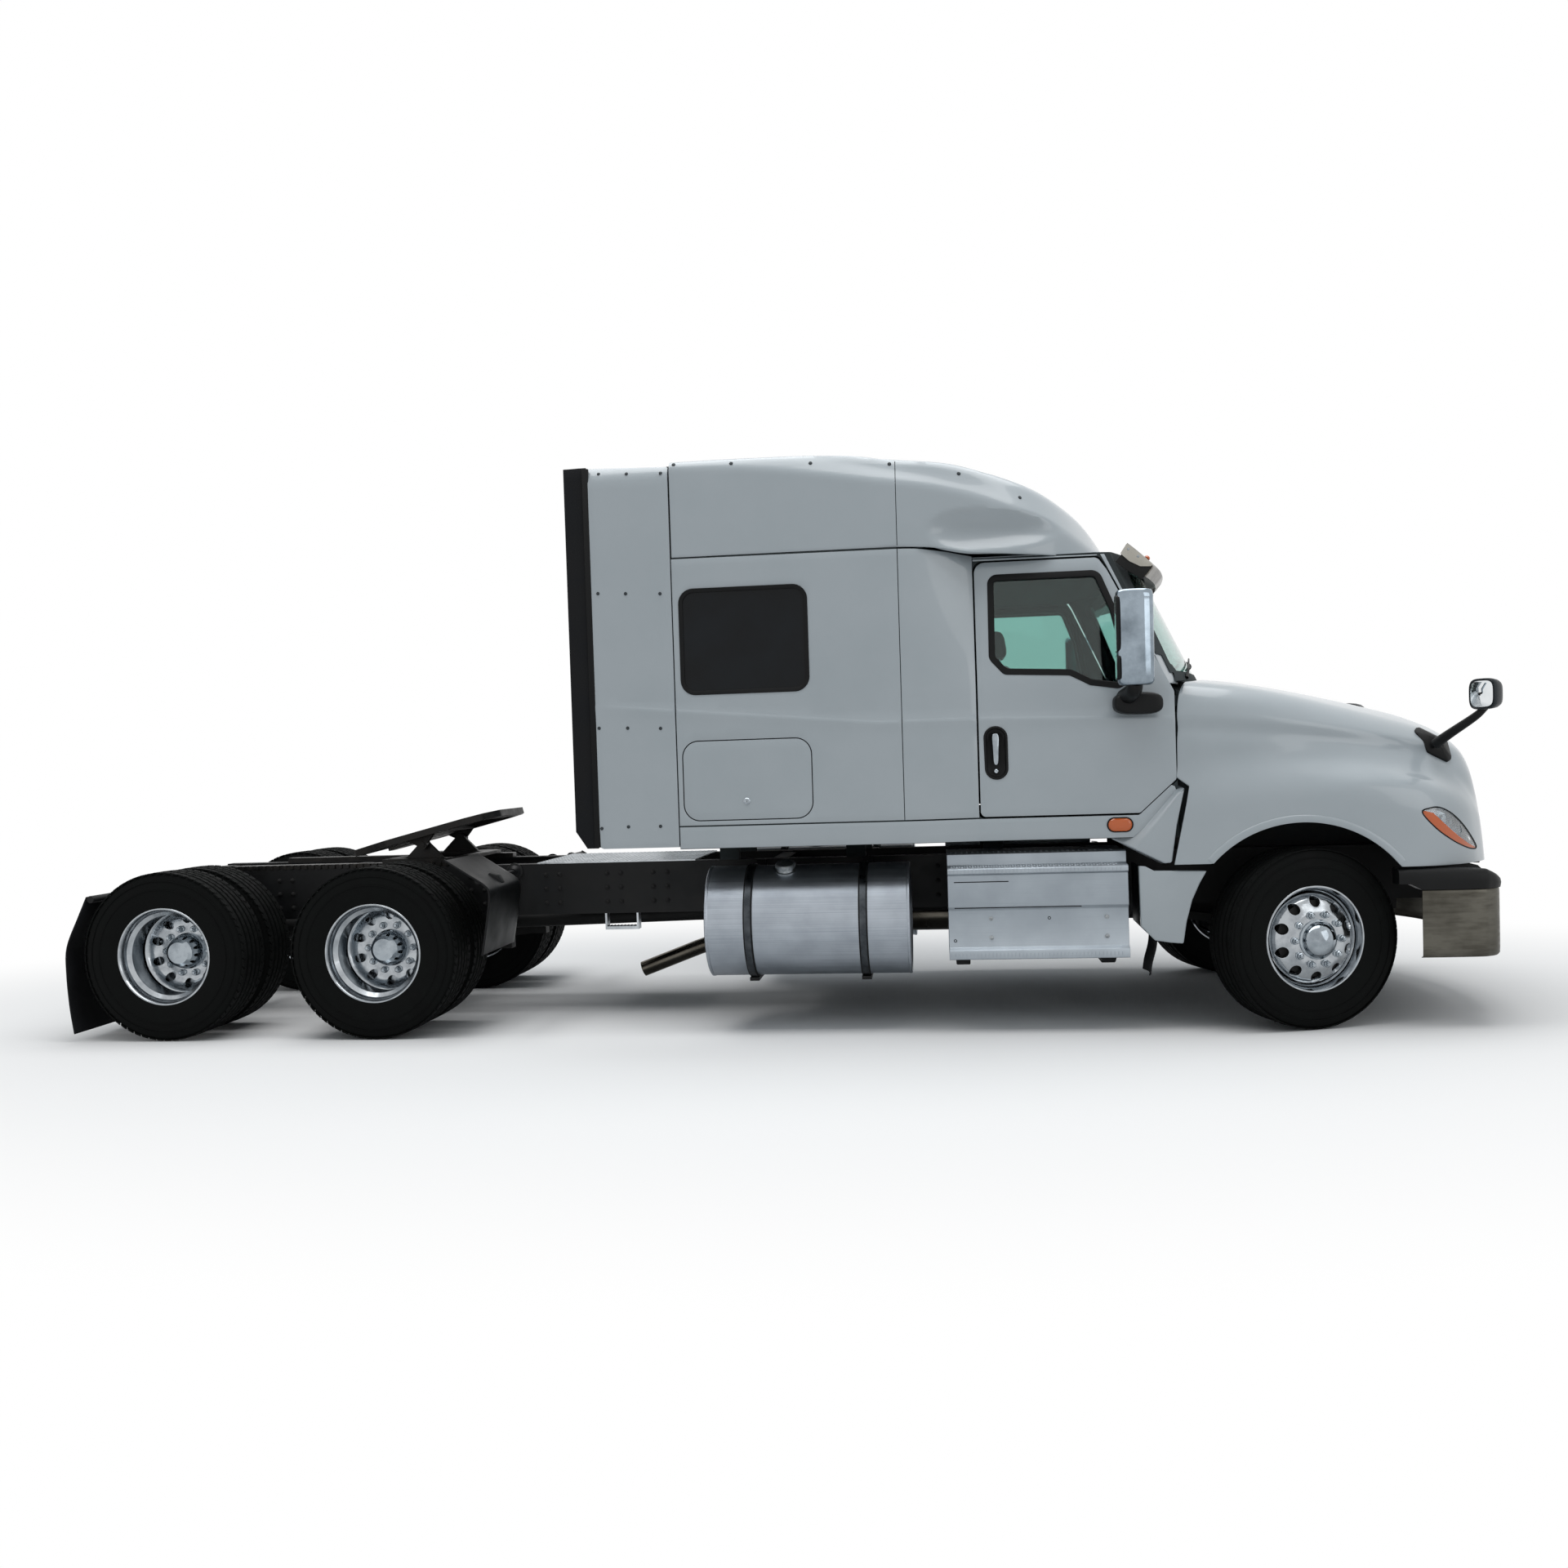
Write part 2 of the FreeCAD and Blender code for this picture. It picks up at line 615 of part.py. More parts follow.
def hinge_axis(z):
    # half width of the door's hinge axis at this height
    return side_at(hinge_ref_z, hinge_depth) - hinge_lean * (z - hinge_ref_z)


def hinge_set(length, depth, setback, knuckle_r, pin_r, skin, reach, thick):
    # local frame: axis along Z at the origin, +X to the jamb, +Y inwards; lug and pin stay, the rest is cut
    h = length / 2
    foot = thick - depth
    lug = fuse([rod((0, 0, -h), (0, 0, h), knuckle_r),
                block(-knuckle_r, knuckle_r, 0, foot + 16, -h, h),
                block(-knuckle_r, reach, foot, foot + 16, -h, h),
                rod((0, 0, -h - 22), (0, 0, h + 22), pin_r)])
    notch = block(-knuckle_r - 7, setback + 60, -(depth - skin), thick, -h - 6, h + 6)
    bore = rod((0, 0, -h - 24), (0, 0, h + 24), pin_r + fit_gap)
    return lug, fuse([notch, bore])


def door_hinges(z):
    # one hinge of the left door, at this height: the lug on the cab, and what is cut from the door
    lug, cut = hinge_set(hinge_length, hinge_depth, hinge_setback, knuckle_radius, pin_radius, hinge_skin, 60, wall)
    place = []
    for s in (lug, cut):
        s = s.mirror(V(0, 0, 0), y_axis)
        s = turned(s, (0, 0, 0), x_axis, math.degrees(math.atan(hinge_lean)))
        place.append(at(s, door_x[1] - hinge_setback, hinge_axis(z), z))
    return place


def swing_space():
    # what the door's front corner sweeps at the pillar's foot
    space = block(-85, door_swing, -30, 70, 1785 - hinge_ref_z, 2112 - hinge_ref_z)
    space = turned(space, (0, 0, 0), x_axis, math.degrees(math.atan(hinge_lean)))
    return at(space, door_x[1] - hinge_setback, hinge_axis(hinge_ref_z), hinge_ref_z)


def corner_panel():
    # fixed panel between the door's lower front corner and the hood, flaring out to the fender's width
    inner = [(-1035, 1096), (-868, 1205), (-672, 1388), (-626, 1366), (-675, 1156), (-707, 946), (-750, 938)]
    outer = [(-900, 1030), (-830, 1110), (-665, 1320), (-629, 1356), (-675, 1156), (-706, 952), (-742, 950)]
    wires = [outline(inner, lambda x, z: V(x, 1085, z)), outline(outer, lambda x, z: V(x, fender_half, z))]
    return Part.makeLoft(wires, True, True)


def glass_in(zone):
    # what the zone holds of the cab's glass layer
    return biggest(cab_block(glass_inset).common(zone).cut(cab_block(glass_inset + glass_wall)))


def doors_and_cab():
    outer, inner = cab_block(0), cab_block(wall)
    skin = outer.cut(inner)
    hinges = [door_hinges(hinge_ref_z + dz) for dz in hinge_heights]
    zone = slab_xz(door_outline(0), 985, 1300)
    door = skin.common(zone).cut([h[1] for h in hinges])
    door = biggest(door.cut(slab_xz(door_window(0), 900, 1300)))
    opening = fuse([slab_xz(door_outline(run_gap), 975, 1300), swing_space()])
    glass = glass_in(slab_xz(door_window(-fit_gap), 900, 1300))
    cab = narrow_firewall(skin)
    shield = slab_yz(windshield_outline(0), -1400, 0)
    windshield = glass_in(slab_yz(windshield_outline(-fit_gap), -1400, 0))
    cab = cab.cut([opening, mirrored(opening), shield])
    cab = biggest(cab)
    extras = [h[0] for h in hinges] + [corner_panel()]
    cab = fuse([cab] + extras + [mirrored(e) for e in extras] + mount_feet((-800, -1650)))
    leave("cab_shell", biggest(cab))
    leave("door_left", door)
    leave("door_right", mirrored(door))
    leave("door_glass_left", glass)
    leave("door_glass_right", mirrored(glass))
    return windshield


def windshield_outline(grow):
    g = grow
    low, high = windshield_base + 62 - g, 2610 + g
    return rounded([(-1010 - g, low), (1010 + g, low), (915 + g, high), (-915 - g, high)], 60)


def lug_outline(grow):
    g = grow
    corners = [(lug_door_x[0] - g, lug_door_z[0] - g), (lug_door_x[1] + g, lug_door_z[0] - g),
               (lug_door_x[1] + g, lug_door_z[1] + g), (lug_door_x[0] - g, lug_door_z[1] + g)]
    return rounded(corners, lug_corner + g)


def lug_hinges(x):
    lug, cut = hinge_set(50, lug_depth, lug_setback, lug_knuckle, lug_pin, 3, 60, wall)
    place = []
    for s in (lug, cut):
        # local +X goes up, local +Y goes inwards, local Z lies along X
        m = FreeCAD.Matrix(0, 0, 1, x, 0, -1, 0, sleeper_half - lug_depth, 1, 0, 0, lug_door_z[1] - lug_setback)
        s.transformShape(m)
        place.append(s)
    return place


def sleeper():
    x0, x1 = sleeper_x
    w, low = sleeper_half, side_line[0][1]
    outer = block(x0, x1, -w, w, low, sleeper_top)
    inner = block(x0 + wall, x1 + 1, -w + wall, w - wall, low + floor_wall, sleeper_top + 1)
    skin = outer.cut(inner)
    window = rounded([(bunk_window_x[0], bunk_window_z[0]), (bunk_window_x[1], bunk_window_z[0]),
                      (bunk_window_x[1], bunk_window_z[1]), (bunk_window_x[0], bunk_window_z[1])], 80)
    small = rounded([(bunk_window_x[0] + fit_gap, bunk_window_z[0] + fit_gap),
                     (bunk_window_x[1] - fit_gap, bunk_window_z[0] + fit_gap),
                     (bunk_window_x[1] - fit_gap, bunk_window_z[1] - fit_gap),
                     (bunk_window_x[0] + fit_gap, bunk_window_z[1] - fit_gap)], 79.7)
    hinges = [lug_hinges(x) for x in (lug_door_x[0] + 170, lug_door_x[1] - 170)]
    lid = slab_xz(lug_outline(0), w - wall, w).cut([h[1] for h in hinges])
    y, z = w - lug_depth, lug_door_z[1] - lug_setback
    groove = rod((lug_door_x[0], y, z), (lug_door_x[1], y, z), lug_swing)
    hole = fuse([slab_xz(lug_outline(run_gap), w - wall - 1, w + 1), groove])
    pane = slab_xz(small, w - glass_inset - glass_wall, w - glass_inset)
    cut = slab_xz(window, w - wall - 1, w + 1)
    lugs = [h[0] for h in hinges]
    bunk = block(x0 + wall, x0 + 880, -w + wall + run_gap, w - wall - run_gap, 1590, bunk_z)
    shell = fuse([skin.cut([hole, cut, mirrored(hole), mirrored(cut)]), bunk] + lugs + [mirrored(g) for g in lugs]
                 + mount_feet((-2500, -3300)))
    leave("sleeper_shell", biggest(shell))
    leave("luggage_door_left", biggest(lid))
    leave("luggage_door_right", mirrored(biggest(lid)))
    return both(pane)


def roof_solid(inset):
    # side outline, plan outline and cross-section, each moved in by inset, and what they share
    low, i = side_line[2][1] - 1, inset
    side = [(sleeper_x[0] + i, low), (sleeper_x[0] + i, 3405 - i), (-2414, 3400 - i),
            [(-1680 - i * 0.5, 3275 - i * 0.85), (-1090 - i * 0.8, 2900 - i * 0.5)],
            (-925 - i, 2740), (-960 - i, low)]
    plan = [(sleeper_x[0] + i, -sleeper_half + i), (-2200, -sleeper_half + i), (-1500, -1150 + i),
            [(-1215 - i, -960 + i), (-1005 - i, -600 + i)], [(-905 - i, 0), (-1005 - i, 600 - i)],
            [(-1215 - i, 960 - i), (-1500, 1150 - i)], (-2200, sleeper_half - i),
            (sleeper_x[0] + i, sleeper_half - i)]
    w = sleeper_half - i
    front = [(-w, low), (-w, 3180), [(-w + 38, 3290 - i), (-w + 145, 3335 - i)], [(0, 3420 - i),
             (w - 145, 3335 - i)], [(w - 38, 3290 - i), (w, 3180)], (w, low)]
    return slab_xz(side, -1300, 1300).common(leaning_slab(plan, low, 3500, 0.12)).common(slab_yz(front, -3600, 0))


def roof():
    shell = roof_solid(0).cut(roof_solid(26))
    below = block(-2170, 0, -1300, 1300, 2600, side_line[2][1])
    step = block(-3500, -2170, -1300, 1300, 2600, sleeper_top)
    return biggest(shell.cut([below, step]))


def side_extenders():
    rear, panel, front = extender_x
    z0, z1 = extender_z
    y = sleeper_half
    plate = slab_xz([(panel, z0), (front, z0), (front, z1 - 20), (panel, z1)], y - extender_wall, y)
    tab = block(front - 40, front, y - extender_wall - 40, y - extender_wall, 1300, 3100)
    return both(fuse([plate, tab]))


def extender_flaps():
    rear, panel, front = extender_x
    z0, z1 = extender_z
    y = sleeper_half - 6
    flap = slab_xz([(panel, z0), (panel, z1), (rear, z1), (rear, z0 + 97), (rear + 69, z0)], y - 8, y)
    return both(flap)


def visor():
    # a strip that follows the windshield's plan curve, folded once
    def ring(front, x_side, z0, z1, lean):
        arc = [(x_side, -1040), [(front, 0), (x_side, 1040)], (x_side - 7, 1040), [(front - 7, 0), (x_side - 7, -1040)]]
        return leaning_slab(arc, z0, z1, lean)
    nose, side = -445, -716
    upper = ring(nose, side, 2588, 2740, 1.05)
    lower = ring(nose - 60, side - 60, 2500, 2590, -0.68)
    feet = [block(-905, -640, s * 620 - 10, s * 620 + 10, 2640, 2700) for s in (1, -1)]
    feet = [f.cut(cab_block(0)) for f in feet]
    return fuse([upper, lower] + [biggest(f) for f in feet])


def nose_plan(inset):
    b = nose_bend
    x = 1232 - inset
    y = 760
    corner = x - b * y * y
    return [(-2500, -1300), (450, -1300), (450, -fender_half + inset), (640, -fender_half + inset),
            [(930 - inset, -1020 + inset), (corner, -y)], [(x, 0), (corner, y)],
            [(930 - inset, 1020 - inset), (640, fender_half - inset)], (450, fender_half - inset), (450, 1300),
            (-2500, 1300)]


def hood_solid(inset):
    # columns: x, lower half width, shoulder half width, shoulder height, crown height
    stations = ((-700, 1150, 1122, 1930, 2030), (-100, 1128, 1050, 1812, 1978), (500, 1010, 880, 1640, 1828),
                (950, 900, 760, 1470, 1668), (1320, 800, 640, 1290, 1480))
    i = inset
    wires = []
    for x, low_y, high_y, shoulder, crown in stations:
        p = [(-low_y + i, 880), (-high_y + i, shoulder - i * 0.6),
             [(-high_y * 0.55, crown - (crown - shoulder) * 0.2 - i), (0, crown - i)],
             [(high_y * 0.55, crown - (crown - shoulder) * 0.2 - i), (high_y - i, shoulder - i * 0.6)],
             (low_y - i, 880)]
        wires.append(outline(p, lambda y, z: V(x, y, z)))
    top = Part.makeLoft(wires, True, True)
    arch = [(-692, 938), (-598, 1372), (-598 + 60, 1430), (120, 1440), [(620, 1400), (930, 1140)],
            (985 - i, 1060), (1010 - i, 880), (-692, 880)]
    wing = [slab_xz(arch, s * 900 - 295 + (i if s < 0 else 0), s * 900 + 295 - (i if s > 0 else 0)) for s in (1, -1)]
    wing = [w.cut(block(-800, 1400, -1300, 1300, 1440 - i, 1500)) for w in wing]
    whole = fuse([top] + wing)
    slope = [(-900, 700), (-900, 2200), (-300, 2200), (1085 - i, 1640 - i), [(1165 - i, 1560 - i), (1187 - i, 1440)],
             (1232 - i, 835), (1232 - i, 700)]
    return whole.common(slab_xy(nose_plan(i), 700, 2200)).common(slab_xz(slope, -1300, 1300))


def headlight_zone(grow):
    g = grow
    lens = [(645 - g, 1190 + g), (735, 1196 + g), (860 + g * 0.5, 1118 + g), (985 + g, 1010), (960 + g, 985 - g),
            (790, 1040 - g)]
    wide = slab_xz(rounded(lens, [18, 15, 30, 12, 12, 30]), 640, 1300)
    return wide


def hood():
    z, r = front_tyre_radius, arch_radius
    outer = hood_solid(0)
    inner = hood_solid(hood_wall)
    inner = fuse([inner, block(-900, 1150, -1000, 1000, 800, 900)])
    shell = outer.cut(inner)
    cowl = [(-2500, -1300), (hood_rear, -1300), (hood_rear, -1123), [(-322, 0), (hood_rear, 1123)],
            (hood_rear, 1300), (-2500, 1300)]
    behind = slab_xy(cowl, 1372, 2300)
    under = slab_xz([(-900, 800), (-692, 800), (-692, 938), (-598, 1372), (-598, 1400), (hood_rear, 1420),
                     (-900, 1420)], -1300, 1300)
    wells = rod((0, -1300, z), (0, 1300, z), r)
    nose = block(1000, 1400, -540, 540, 905, 1395)
    lamp = headlight_zone(0)
    skin = shell.cut([lamp, mirrored(lamp)])
    lens = shell.common(headlight_zone(-fit_gap))
    body = skin.cut([behind, under, wells, block(-900, 560, -1300, 1300, 600, 937), nose])
    body = body.cut(block(560, 1400, -1300, 1300, 600, 897))
    x, z = hood_hinge
    arms = []
    for s in (1, -1):
        arm = slab_xz([(x - 30, z - 25), (x + 25, z - 25), (x + 20, 905), (x - 30, 905)], s * 300 - 12, s * 300 + 12)
        arms.append(arm)
    bar = slab_xy([(1150, -560), [(1207, 0), (1150, 560)], (1170, 560), [(1225, 0), (1170, -560)]], 880, 905)
    bar = bar.common(outer)
    whole = fuse([body, bar] + arms)
    whole = whole.cut(rod((x, -400, z), (x, 400, z), hood_hinge_radius + fit_gap))
    leave("hood", biggest(whole))
    leave("headlights", both(biggest(lens)))
    leave("grille", nose_grille())
    return outer


def nose_grille():
    # the panel that fills the opening in the nose, with slots between its bars
    frame_box = block(1000, 1400, -539.7, 539.7, 905.3, 1394.7)
    layer = hood_solid(6).cut(hood_solid(30)).common(frame_box)
    slots = [block(1000, 1400, -500, 500, z, z + 50) for z in range(940, 1340, 72)]
    return biggest(layer.cut(slots))


def hood_pivots():
    # brackets from the rails' ends up to the hood's hinge, with the pin
    x, z = hood_hinge
    legs = []
    for s in (1, -1):
        y0, y1 = sorted((s * 350, s * rail_y))
        leg = slab_xz([(rail_x[1], 780), (rail_x[1], 900), (x, z + 22), (x + 22, z), (x, z - 26)], y0, y1)
        legs.append(fuse([leg, rod((x, s * 278, z), (x, s * rail_y, z), hood_hinge_radius)]))
    return Part.makeCompound(legs)


def hood_mirrors(skin):
    # a mirror head on one arm that stands on the hood's shoulder
    foot = slab_xz(rounded([(715, 1640), (905, 1560), (905, 1465), (770, 1500)], 25), 800, 960)
    arm = rod((850, 900, 1540), (985, 1175, 1790), 16)
    head = slab_xz(rounded([(915, 1740), (1090, 1740), (1090, 1905), (915, 1905)], 55), 1160, 1225)
    return both(biggest(fuse([foot, arm, head]).cut(skin)))


def door_mirror():
    # left side: an arm from the door, and the tall head
    base = slab_xz(rounded([(-1007, 1775), (-733, 1775), (-733, 1905), (-980, 1905)], 40), 1120, 1290)
    arm = rod((-905, 1290, 1850), (-905, 1440, 1935), 32)
    head = slab_xz(rounded([(-1010, 1925), (-812, 1925), (-812, 2437), (-1010, 2437)], 50), 1385, 1500)
    return biggest(fuse([base, arm, head]).cut(cab_block(0)))


def interior():
    floor = side_line[0][1] + floor_wall
    seats = []
    for y in (520, -520):
        base = block(-1500, -1150, y - 180, y + 180, floor, 1500)
        cushion = block(-1560, -1090, y - 260, y + 260, 1500, 1630)
        back = slab_xz([(-1560, 1630), (-1450, 1630), (-1560, 2330), (-1670, 2330)], y - 250, y + 250)
        seats.append(fuse([base, cushion, back]))
    leave("seats", Part.makeCompound(seats))
    front = firewall_x - wall
    dash = slab_xz([(front, floor), (front, 1900), (-760, 1900), (-930, 1700), (-900, 1500), (-780, 1450),
                    (-760, floor)], -1030, 1030)
    centre, tilt = (-1000, 520, 1800), 35
    ring = Part.makeTorus(215, 16)
    spokes = [block(-205, 205, -14, 14, -8, 8), rod((0, 0, -160), (0, 0, 20), 38)]
    wheel = turned(fuse([ring] + spokes), (0, 0, 0), y_axis, -tilt)
    column = rod((-850, 520, 1586), (-985, 520, 1779), 34)
    leave("dashboard", fuse([dash, column, at(wheel, *centre)]))
    x0, x1 = sleeper_x
    leave("bunk_mattress", block(x0 + wall + 2, x0 + 860, -1130, 1130, bunk_z, bunk_z + 170))


# ---------------------------------------------------------------- fifth wheel
def slide_track():
    bars = [block(track_x[0], track_x[1], s * 385 - 40, s * 385 + 40, track_z[0], track_z[1]) for s in (1, -1)]
    return Part.makeCompound(bars)


def coupler_base():
    # slides on the track and carries the plate's pins
    x, z = coupler_x, track_z[1] + fit_gap
    floor = block(x - 260, x + 260, -425, 425, z, z + 22)
    floor = floor.cut(block(x - 180, x + 180, -280, 280, z - 1, z + 30))
    legs = []
    for s in (1, -1):
        y0, y1 = sorted((s * 320, s * 352))
        legs.append(slab_xz([(x - 130, z + 20), (x + 130, z + 20), (x + 32, coupler_pivot_z + 8),
                             [(x, coupler_pivot_z + 32), (x - 32, coupler_pivot_z + 8)]], y0, y1))
    pins = [rod((x, s * 322, coupler_pivot_z), (x, s * 396, coupler_pivot_z), coupler_pin_radius) for s in (1, -1)]
    return fuse([floor] + legs + pins)


def coupler_plate():
    # drawn level, then tipped to the rear about its pins
    x, z, w = coupler_x, coupler_pivot_z + coupler_top, coupler_half
    half = [(x + 520, 250), (x + 455, w - 60), (x + 330, w), (x - 210, w), (x - 490, 330), (x - 490, 215),
            (x - 60, throat_radius + 6)]
    ring = half + [(a, -b) for a, b in reversed(half)]
    deck = slab_xy(rounded(ring, [60, 50, 40, 60, 30, 30, 20, 20, 30, 30, 60, 40, 50, 60]), z - 42, z)
    deck = deck.cut(rod((x, 0, z - 60), (x, 0, z + 10), throat_radius))
    hollow = block(x + 105, x + 430, -385, 385, z - 43, z - 14)
    ears = [slab_xz([(x - 95, z - 40), (x + 95, z - 40), (x + 34, coupler_pivot_z), [(x, coupler_pivot_z - 34),
            (x - 34, coupler_pivot_z)]], s * 375 - 17, s * 375 + 17) for s in (1, -1)]
    bores = rod((x, -450, coupler_pivot_z), (x, 450, coupler_pivot_z), coupler_pin_radius + fit_gap)
    plate = fuse([deck.cut(hollow)] + ears).cut(bores)
    return turned(plate, (x, 0, coupler_pivot_z), y_axis, -coupler_tilt)


# ---------------------------------------------------------------- all sub-parts
wheels()
leave("front_axle", front_axle())
turn = lambda s, side: turned(s, (0, side * kingpin_y, 0), z_axis, steer_at_rest)
leave("knuckle_left", turn(knuckle(), 1))
leave("knuckle_right", turn(mirrored(knuckle()), -1))
leave("tie_rod", tie_rod())
leave("drive_axles", fuse([drive_axle(axle2_x), drive_axle(axle3_x)] + drive_shafts()))
leave("springs_and_arms", Part.makeCompound([front_springs(), rear_arms()]))
leave("air_springs", air_springs())
leave("frame", fuse([frame(), flap_bars(), hood_pivots()]))
leave("engine_and_radiator", engine())
leave("exhaust", exhaust())
leave("fuel_tanks", both(fuel_tank()))
leave("tank_brackets", tank_brackets())
leave("step_boxes", both(step_box()))
leave("deck_plate_and_step", Part.makeCompound([deck_plate(), stirrup_step()]))
leave("quarter_fenders", quarter_fenders())
leave("mud_flaps", mud_flaps())
leave("skirts", skirts())
leave("bumper", bumper())
windshield = doors_and_cab()
bunk_windows = sleeper()
leave("fixed_glass", Part.makeCompound([windshield, bunk_windows]))
leave("roof_cap", roof())
leave("side_extenders", side_extenders())
leave("extender_flaps", extender_flaps())
leave("sun_visor", visor())
hood_outer = hood()
leave("hood_mirrors", hood_mirrors(hood_outer))
leave("door_mirror_left", door_mirror())
leave("door_mirror_right", mirrored(door_mirror()))
interior()
leave("slide_track", slide_track())
leave("fifth_wheel_base", coupler_base())
leave("fifth_wheel_plate", coupler_plate())
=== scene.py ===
import bpy
import bmesh
import json
import math
import numpy as np
from mathutils import Matrix, Vector, geometry

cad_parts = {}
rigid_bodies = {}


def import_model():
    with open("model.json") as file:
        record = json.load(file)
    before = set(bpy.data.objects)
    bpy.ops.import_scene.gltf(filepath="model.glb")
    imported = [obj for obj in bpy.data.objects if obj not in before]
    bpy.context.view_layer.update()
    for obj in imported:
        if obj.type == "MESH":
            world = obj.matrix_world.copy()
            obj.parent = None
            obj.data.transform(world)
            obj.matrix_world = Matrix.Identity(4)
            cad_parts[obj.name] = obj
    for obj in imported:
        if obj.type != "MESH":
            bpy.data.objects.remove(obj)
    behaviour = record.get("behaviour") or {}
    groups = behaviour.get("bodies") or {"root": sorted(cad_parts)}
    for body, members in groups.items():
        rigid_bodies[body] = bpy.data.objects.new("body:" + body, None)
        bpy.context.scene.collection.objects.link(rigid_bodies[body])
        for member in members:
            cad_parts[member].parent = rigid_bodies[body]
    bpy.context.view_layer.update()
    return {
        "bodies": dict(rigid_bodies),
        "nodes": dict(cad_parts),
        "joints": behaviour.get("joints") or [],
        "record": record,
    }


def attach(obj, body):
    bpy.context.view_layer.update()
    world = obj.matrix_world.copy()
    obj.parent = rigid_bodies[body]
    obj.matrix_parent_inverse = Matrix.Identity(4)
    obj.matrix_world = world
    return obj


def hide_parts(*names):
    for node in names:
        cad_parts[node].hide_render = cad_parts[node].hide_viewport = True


# A tractor unit with a sleeper cab. Shapes are drawn in metres with X from the front axle, Y from the
# middle plane and Z from the ground, and placed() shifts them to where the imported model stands.

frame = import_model()
scene = bpy.context.scene
axleX = 3.0                       # the front axle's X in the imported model
rearAxles = (-5.34, -6.66)
sleeperHalf = 1.215
sides = {"right": -1, "left": 1}
print("frame loaded:", len(frame["nodes"]), "nodes")


# helpers for materials
def linear(code):
    # an sRGB hex value as the linear colour that the shaders want
    out = []
    for i in (0, 2, 4):
        v = int(code[i:i + 2], 16) / 255
        out.append(v / 12.92 if v <= 0.04045 else ((v + 0.055) / 1.055) ** 2.4)
    return (*out, 1.0)


def addNode(tree, kind, settings=None, links=None):
    # one node: settings name its properties or its inputs, links feed its inputs from (node, output)
    node = tree.nodes.new(kind)
    for key, value in (settings or {}).items():
        if isinstance(key, str) and hasattr(node, key) and key not in node.inputs:
            setattr(node, key, value)
        else:
            node.inputs[key].default_value = value
    for key, (source, output) in (links or {}).items():
        tree.links.new(source.outputs[output], node.inputs[key])
    return node


def newMaterial(name, settings):
    # a material with its Principled shader ready, and object coordinates to draw patterns on
    material = bpy.data.materials.new(name)
    material.use_nodes = True
    tree = material.node_tree
    shader = tree.nodes["Principled BSDF"]
    for key, value in settings.items():
        shader.inputs[key].default_value = value
    return material, tree, shader, addNode(tree, "ShaderNodeTexCoord")


def tone(tree, shader, factor, low, high, target="Base Color", span=(0.35, 0.65)):
    # two colours or two greys, mixed by a pattern, into one of the shader's sockets
    ramp = addNode(tree, "ShaderNodeValToRGB", {}, {"Fac": factor})
    ramp.color_ramp.elements[0].position, ramp.color_ramp.elements[1].position = span
    ramp.color_ramp.elements[0].color, ramp.color_ramp.elements[1].color = low, high
    tree.links.new(ramp.outputs["Color"], shader.inputs[target])


def grey(v):
    return (v, v, v, 1.0)


def relief(tree, shader, height, distance, strength=1.0):
    # bump of a real height in metres
    bump = addNode(tree, "ShaderNodeBump", {"Strength": strength, "Distance": distance}, {"Height": height})
    tree.links.new(bump.outputs["Normal"], shader.inputs["Normal"])


# helpers for shapes
def placed(name, verts, faces):
    mesh = bpy.data.meshes.new(name)
    mesh.from_pydata([(x + axleX, y, z) for x, y, z in verts], [], faces)
    obj = bpy.data.objects.new(name, mesh)
    scene.collection.objects.link(obj)
    return obj


def bake(obj):
    # the evaluated object as a plain mesh
    graph = bpy.context.evaluated_depsgraph_get()
    mesh = bpy.data.meshes.new_from_object(obj.evaluated_get(graph))
    obj.modifiers.clear()
    obj.data = mesh


def tidyMesh(obj, outwards, merge=0.00005):
    # doubles merged and faces turned outwards; an open sheet faces the direction outwards
    work = bmesh.new()
    work.from_mesh(obj.data)
    bmesh.ops.remove_doubles(work, verts=work.verts, dist=merge)
    bmesh.ops.recalc_face_normals(work, faces=work.faces)
    if outwards is not None:
        total = sum((f.normal * f.calc_area() for f in work.faces), Vector())
        if total.dot(Vector(outwards)) < 0:
            bmesh.ops.reverse_faces(work, faces=work.faces)
    work.to_mesh(obj.data)
    work.free()


def modify(obj, kind, **settings):
    # one modifier with its settings
    change = obj.modifiers.new(kind.lower(), kind)
    for key, value in settings.items():
        setattr(change, key, value)
    return change


def roundEdges(obj, width, segments=2, angle=40):
    modify(obj, "BEVEL", width=width, segments=segments, limit_method="ANGLE", angle_limit=math.radians(angle))


def settle(obj, body, slot, sharp=38, replaced=()):
    # what is left to evaluate, then shading, body and the CAD nodes it stands for
    if obj.modifiers:
        bake(obj)
    obj.data.polygons.foreach_set("use_smooth", [True] * len(obj.data.polygons))
    obj.data.set_sharp_from_angle(angle=math.radians(sharp))
    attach(obj, body)
    if replaced:
        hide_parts(*replaced)
    return obj


def piece(name, verts, faces, body, slot, material, outwards=None, wall=0, bevel=0, segments=2, levels=0,
          sharp=38, replaced=(), offset=-1):
    # a finished piece, with its wall and its rounded edges
    obj = placed(name, verts, faces)
    tidyMesh(obj, outwards)
    obj.data.materials.append(material)
    if wall:
        modify(obj, "SOLIDIFY", thickness=wall, offset=offset)
    if bevel:
        roundEdges(obj, bevel, segments)
    if levels:
        modify(obj, "SUBSURF", levels=levels, render_levels=levels)
    return settle(obj, body, slot, sharp, replaced)


def joined(parts):
    # several (verts, faces) in one
    verts, faces = [], []
    for v, f in parts:
        n = len(verts)
        verts += list(v)
        faces += [[i + n for i in face] for face in f]
    return verts, faces


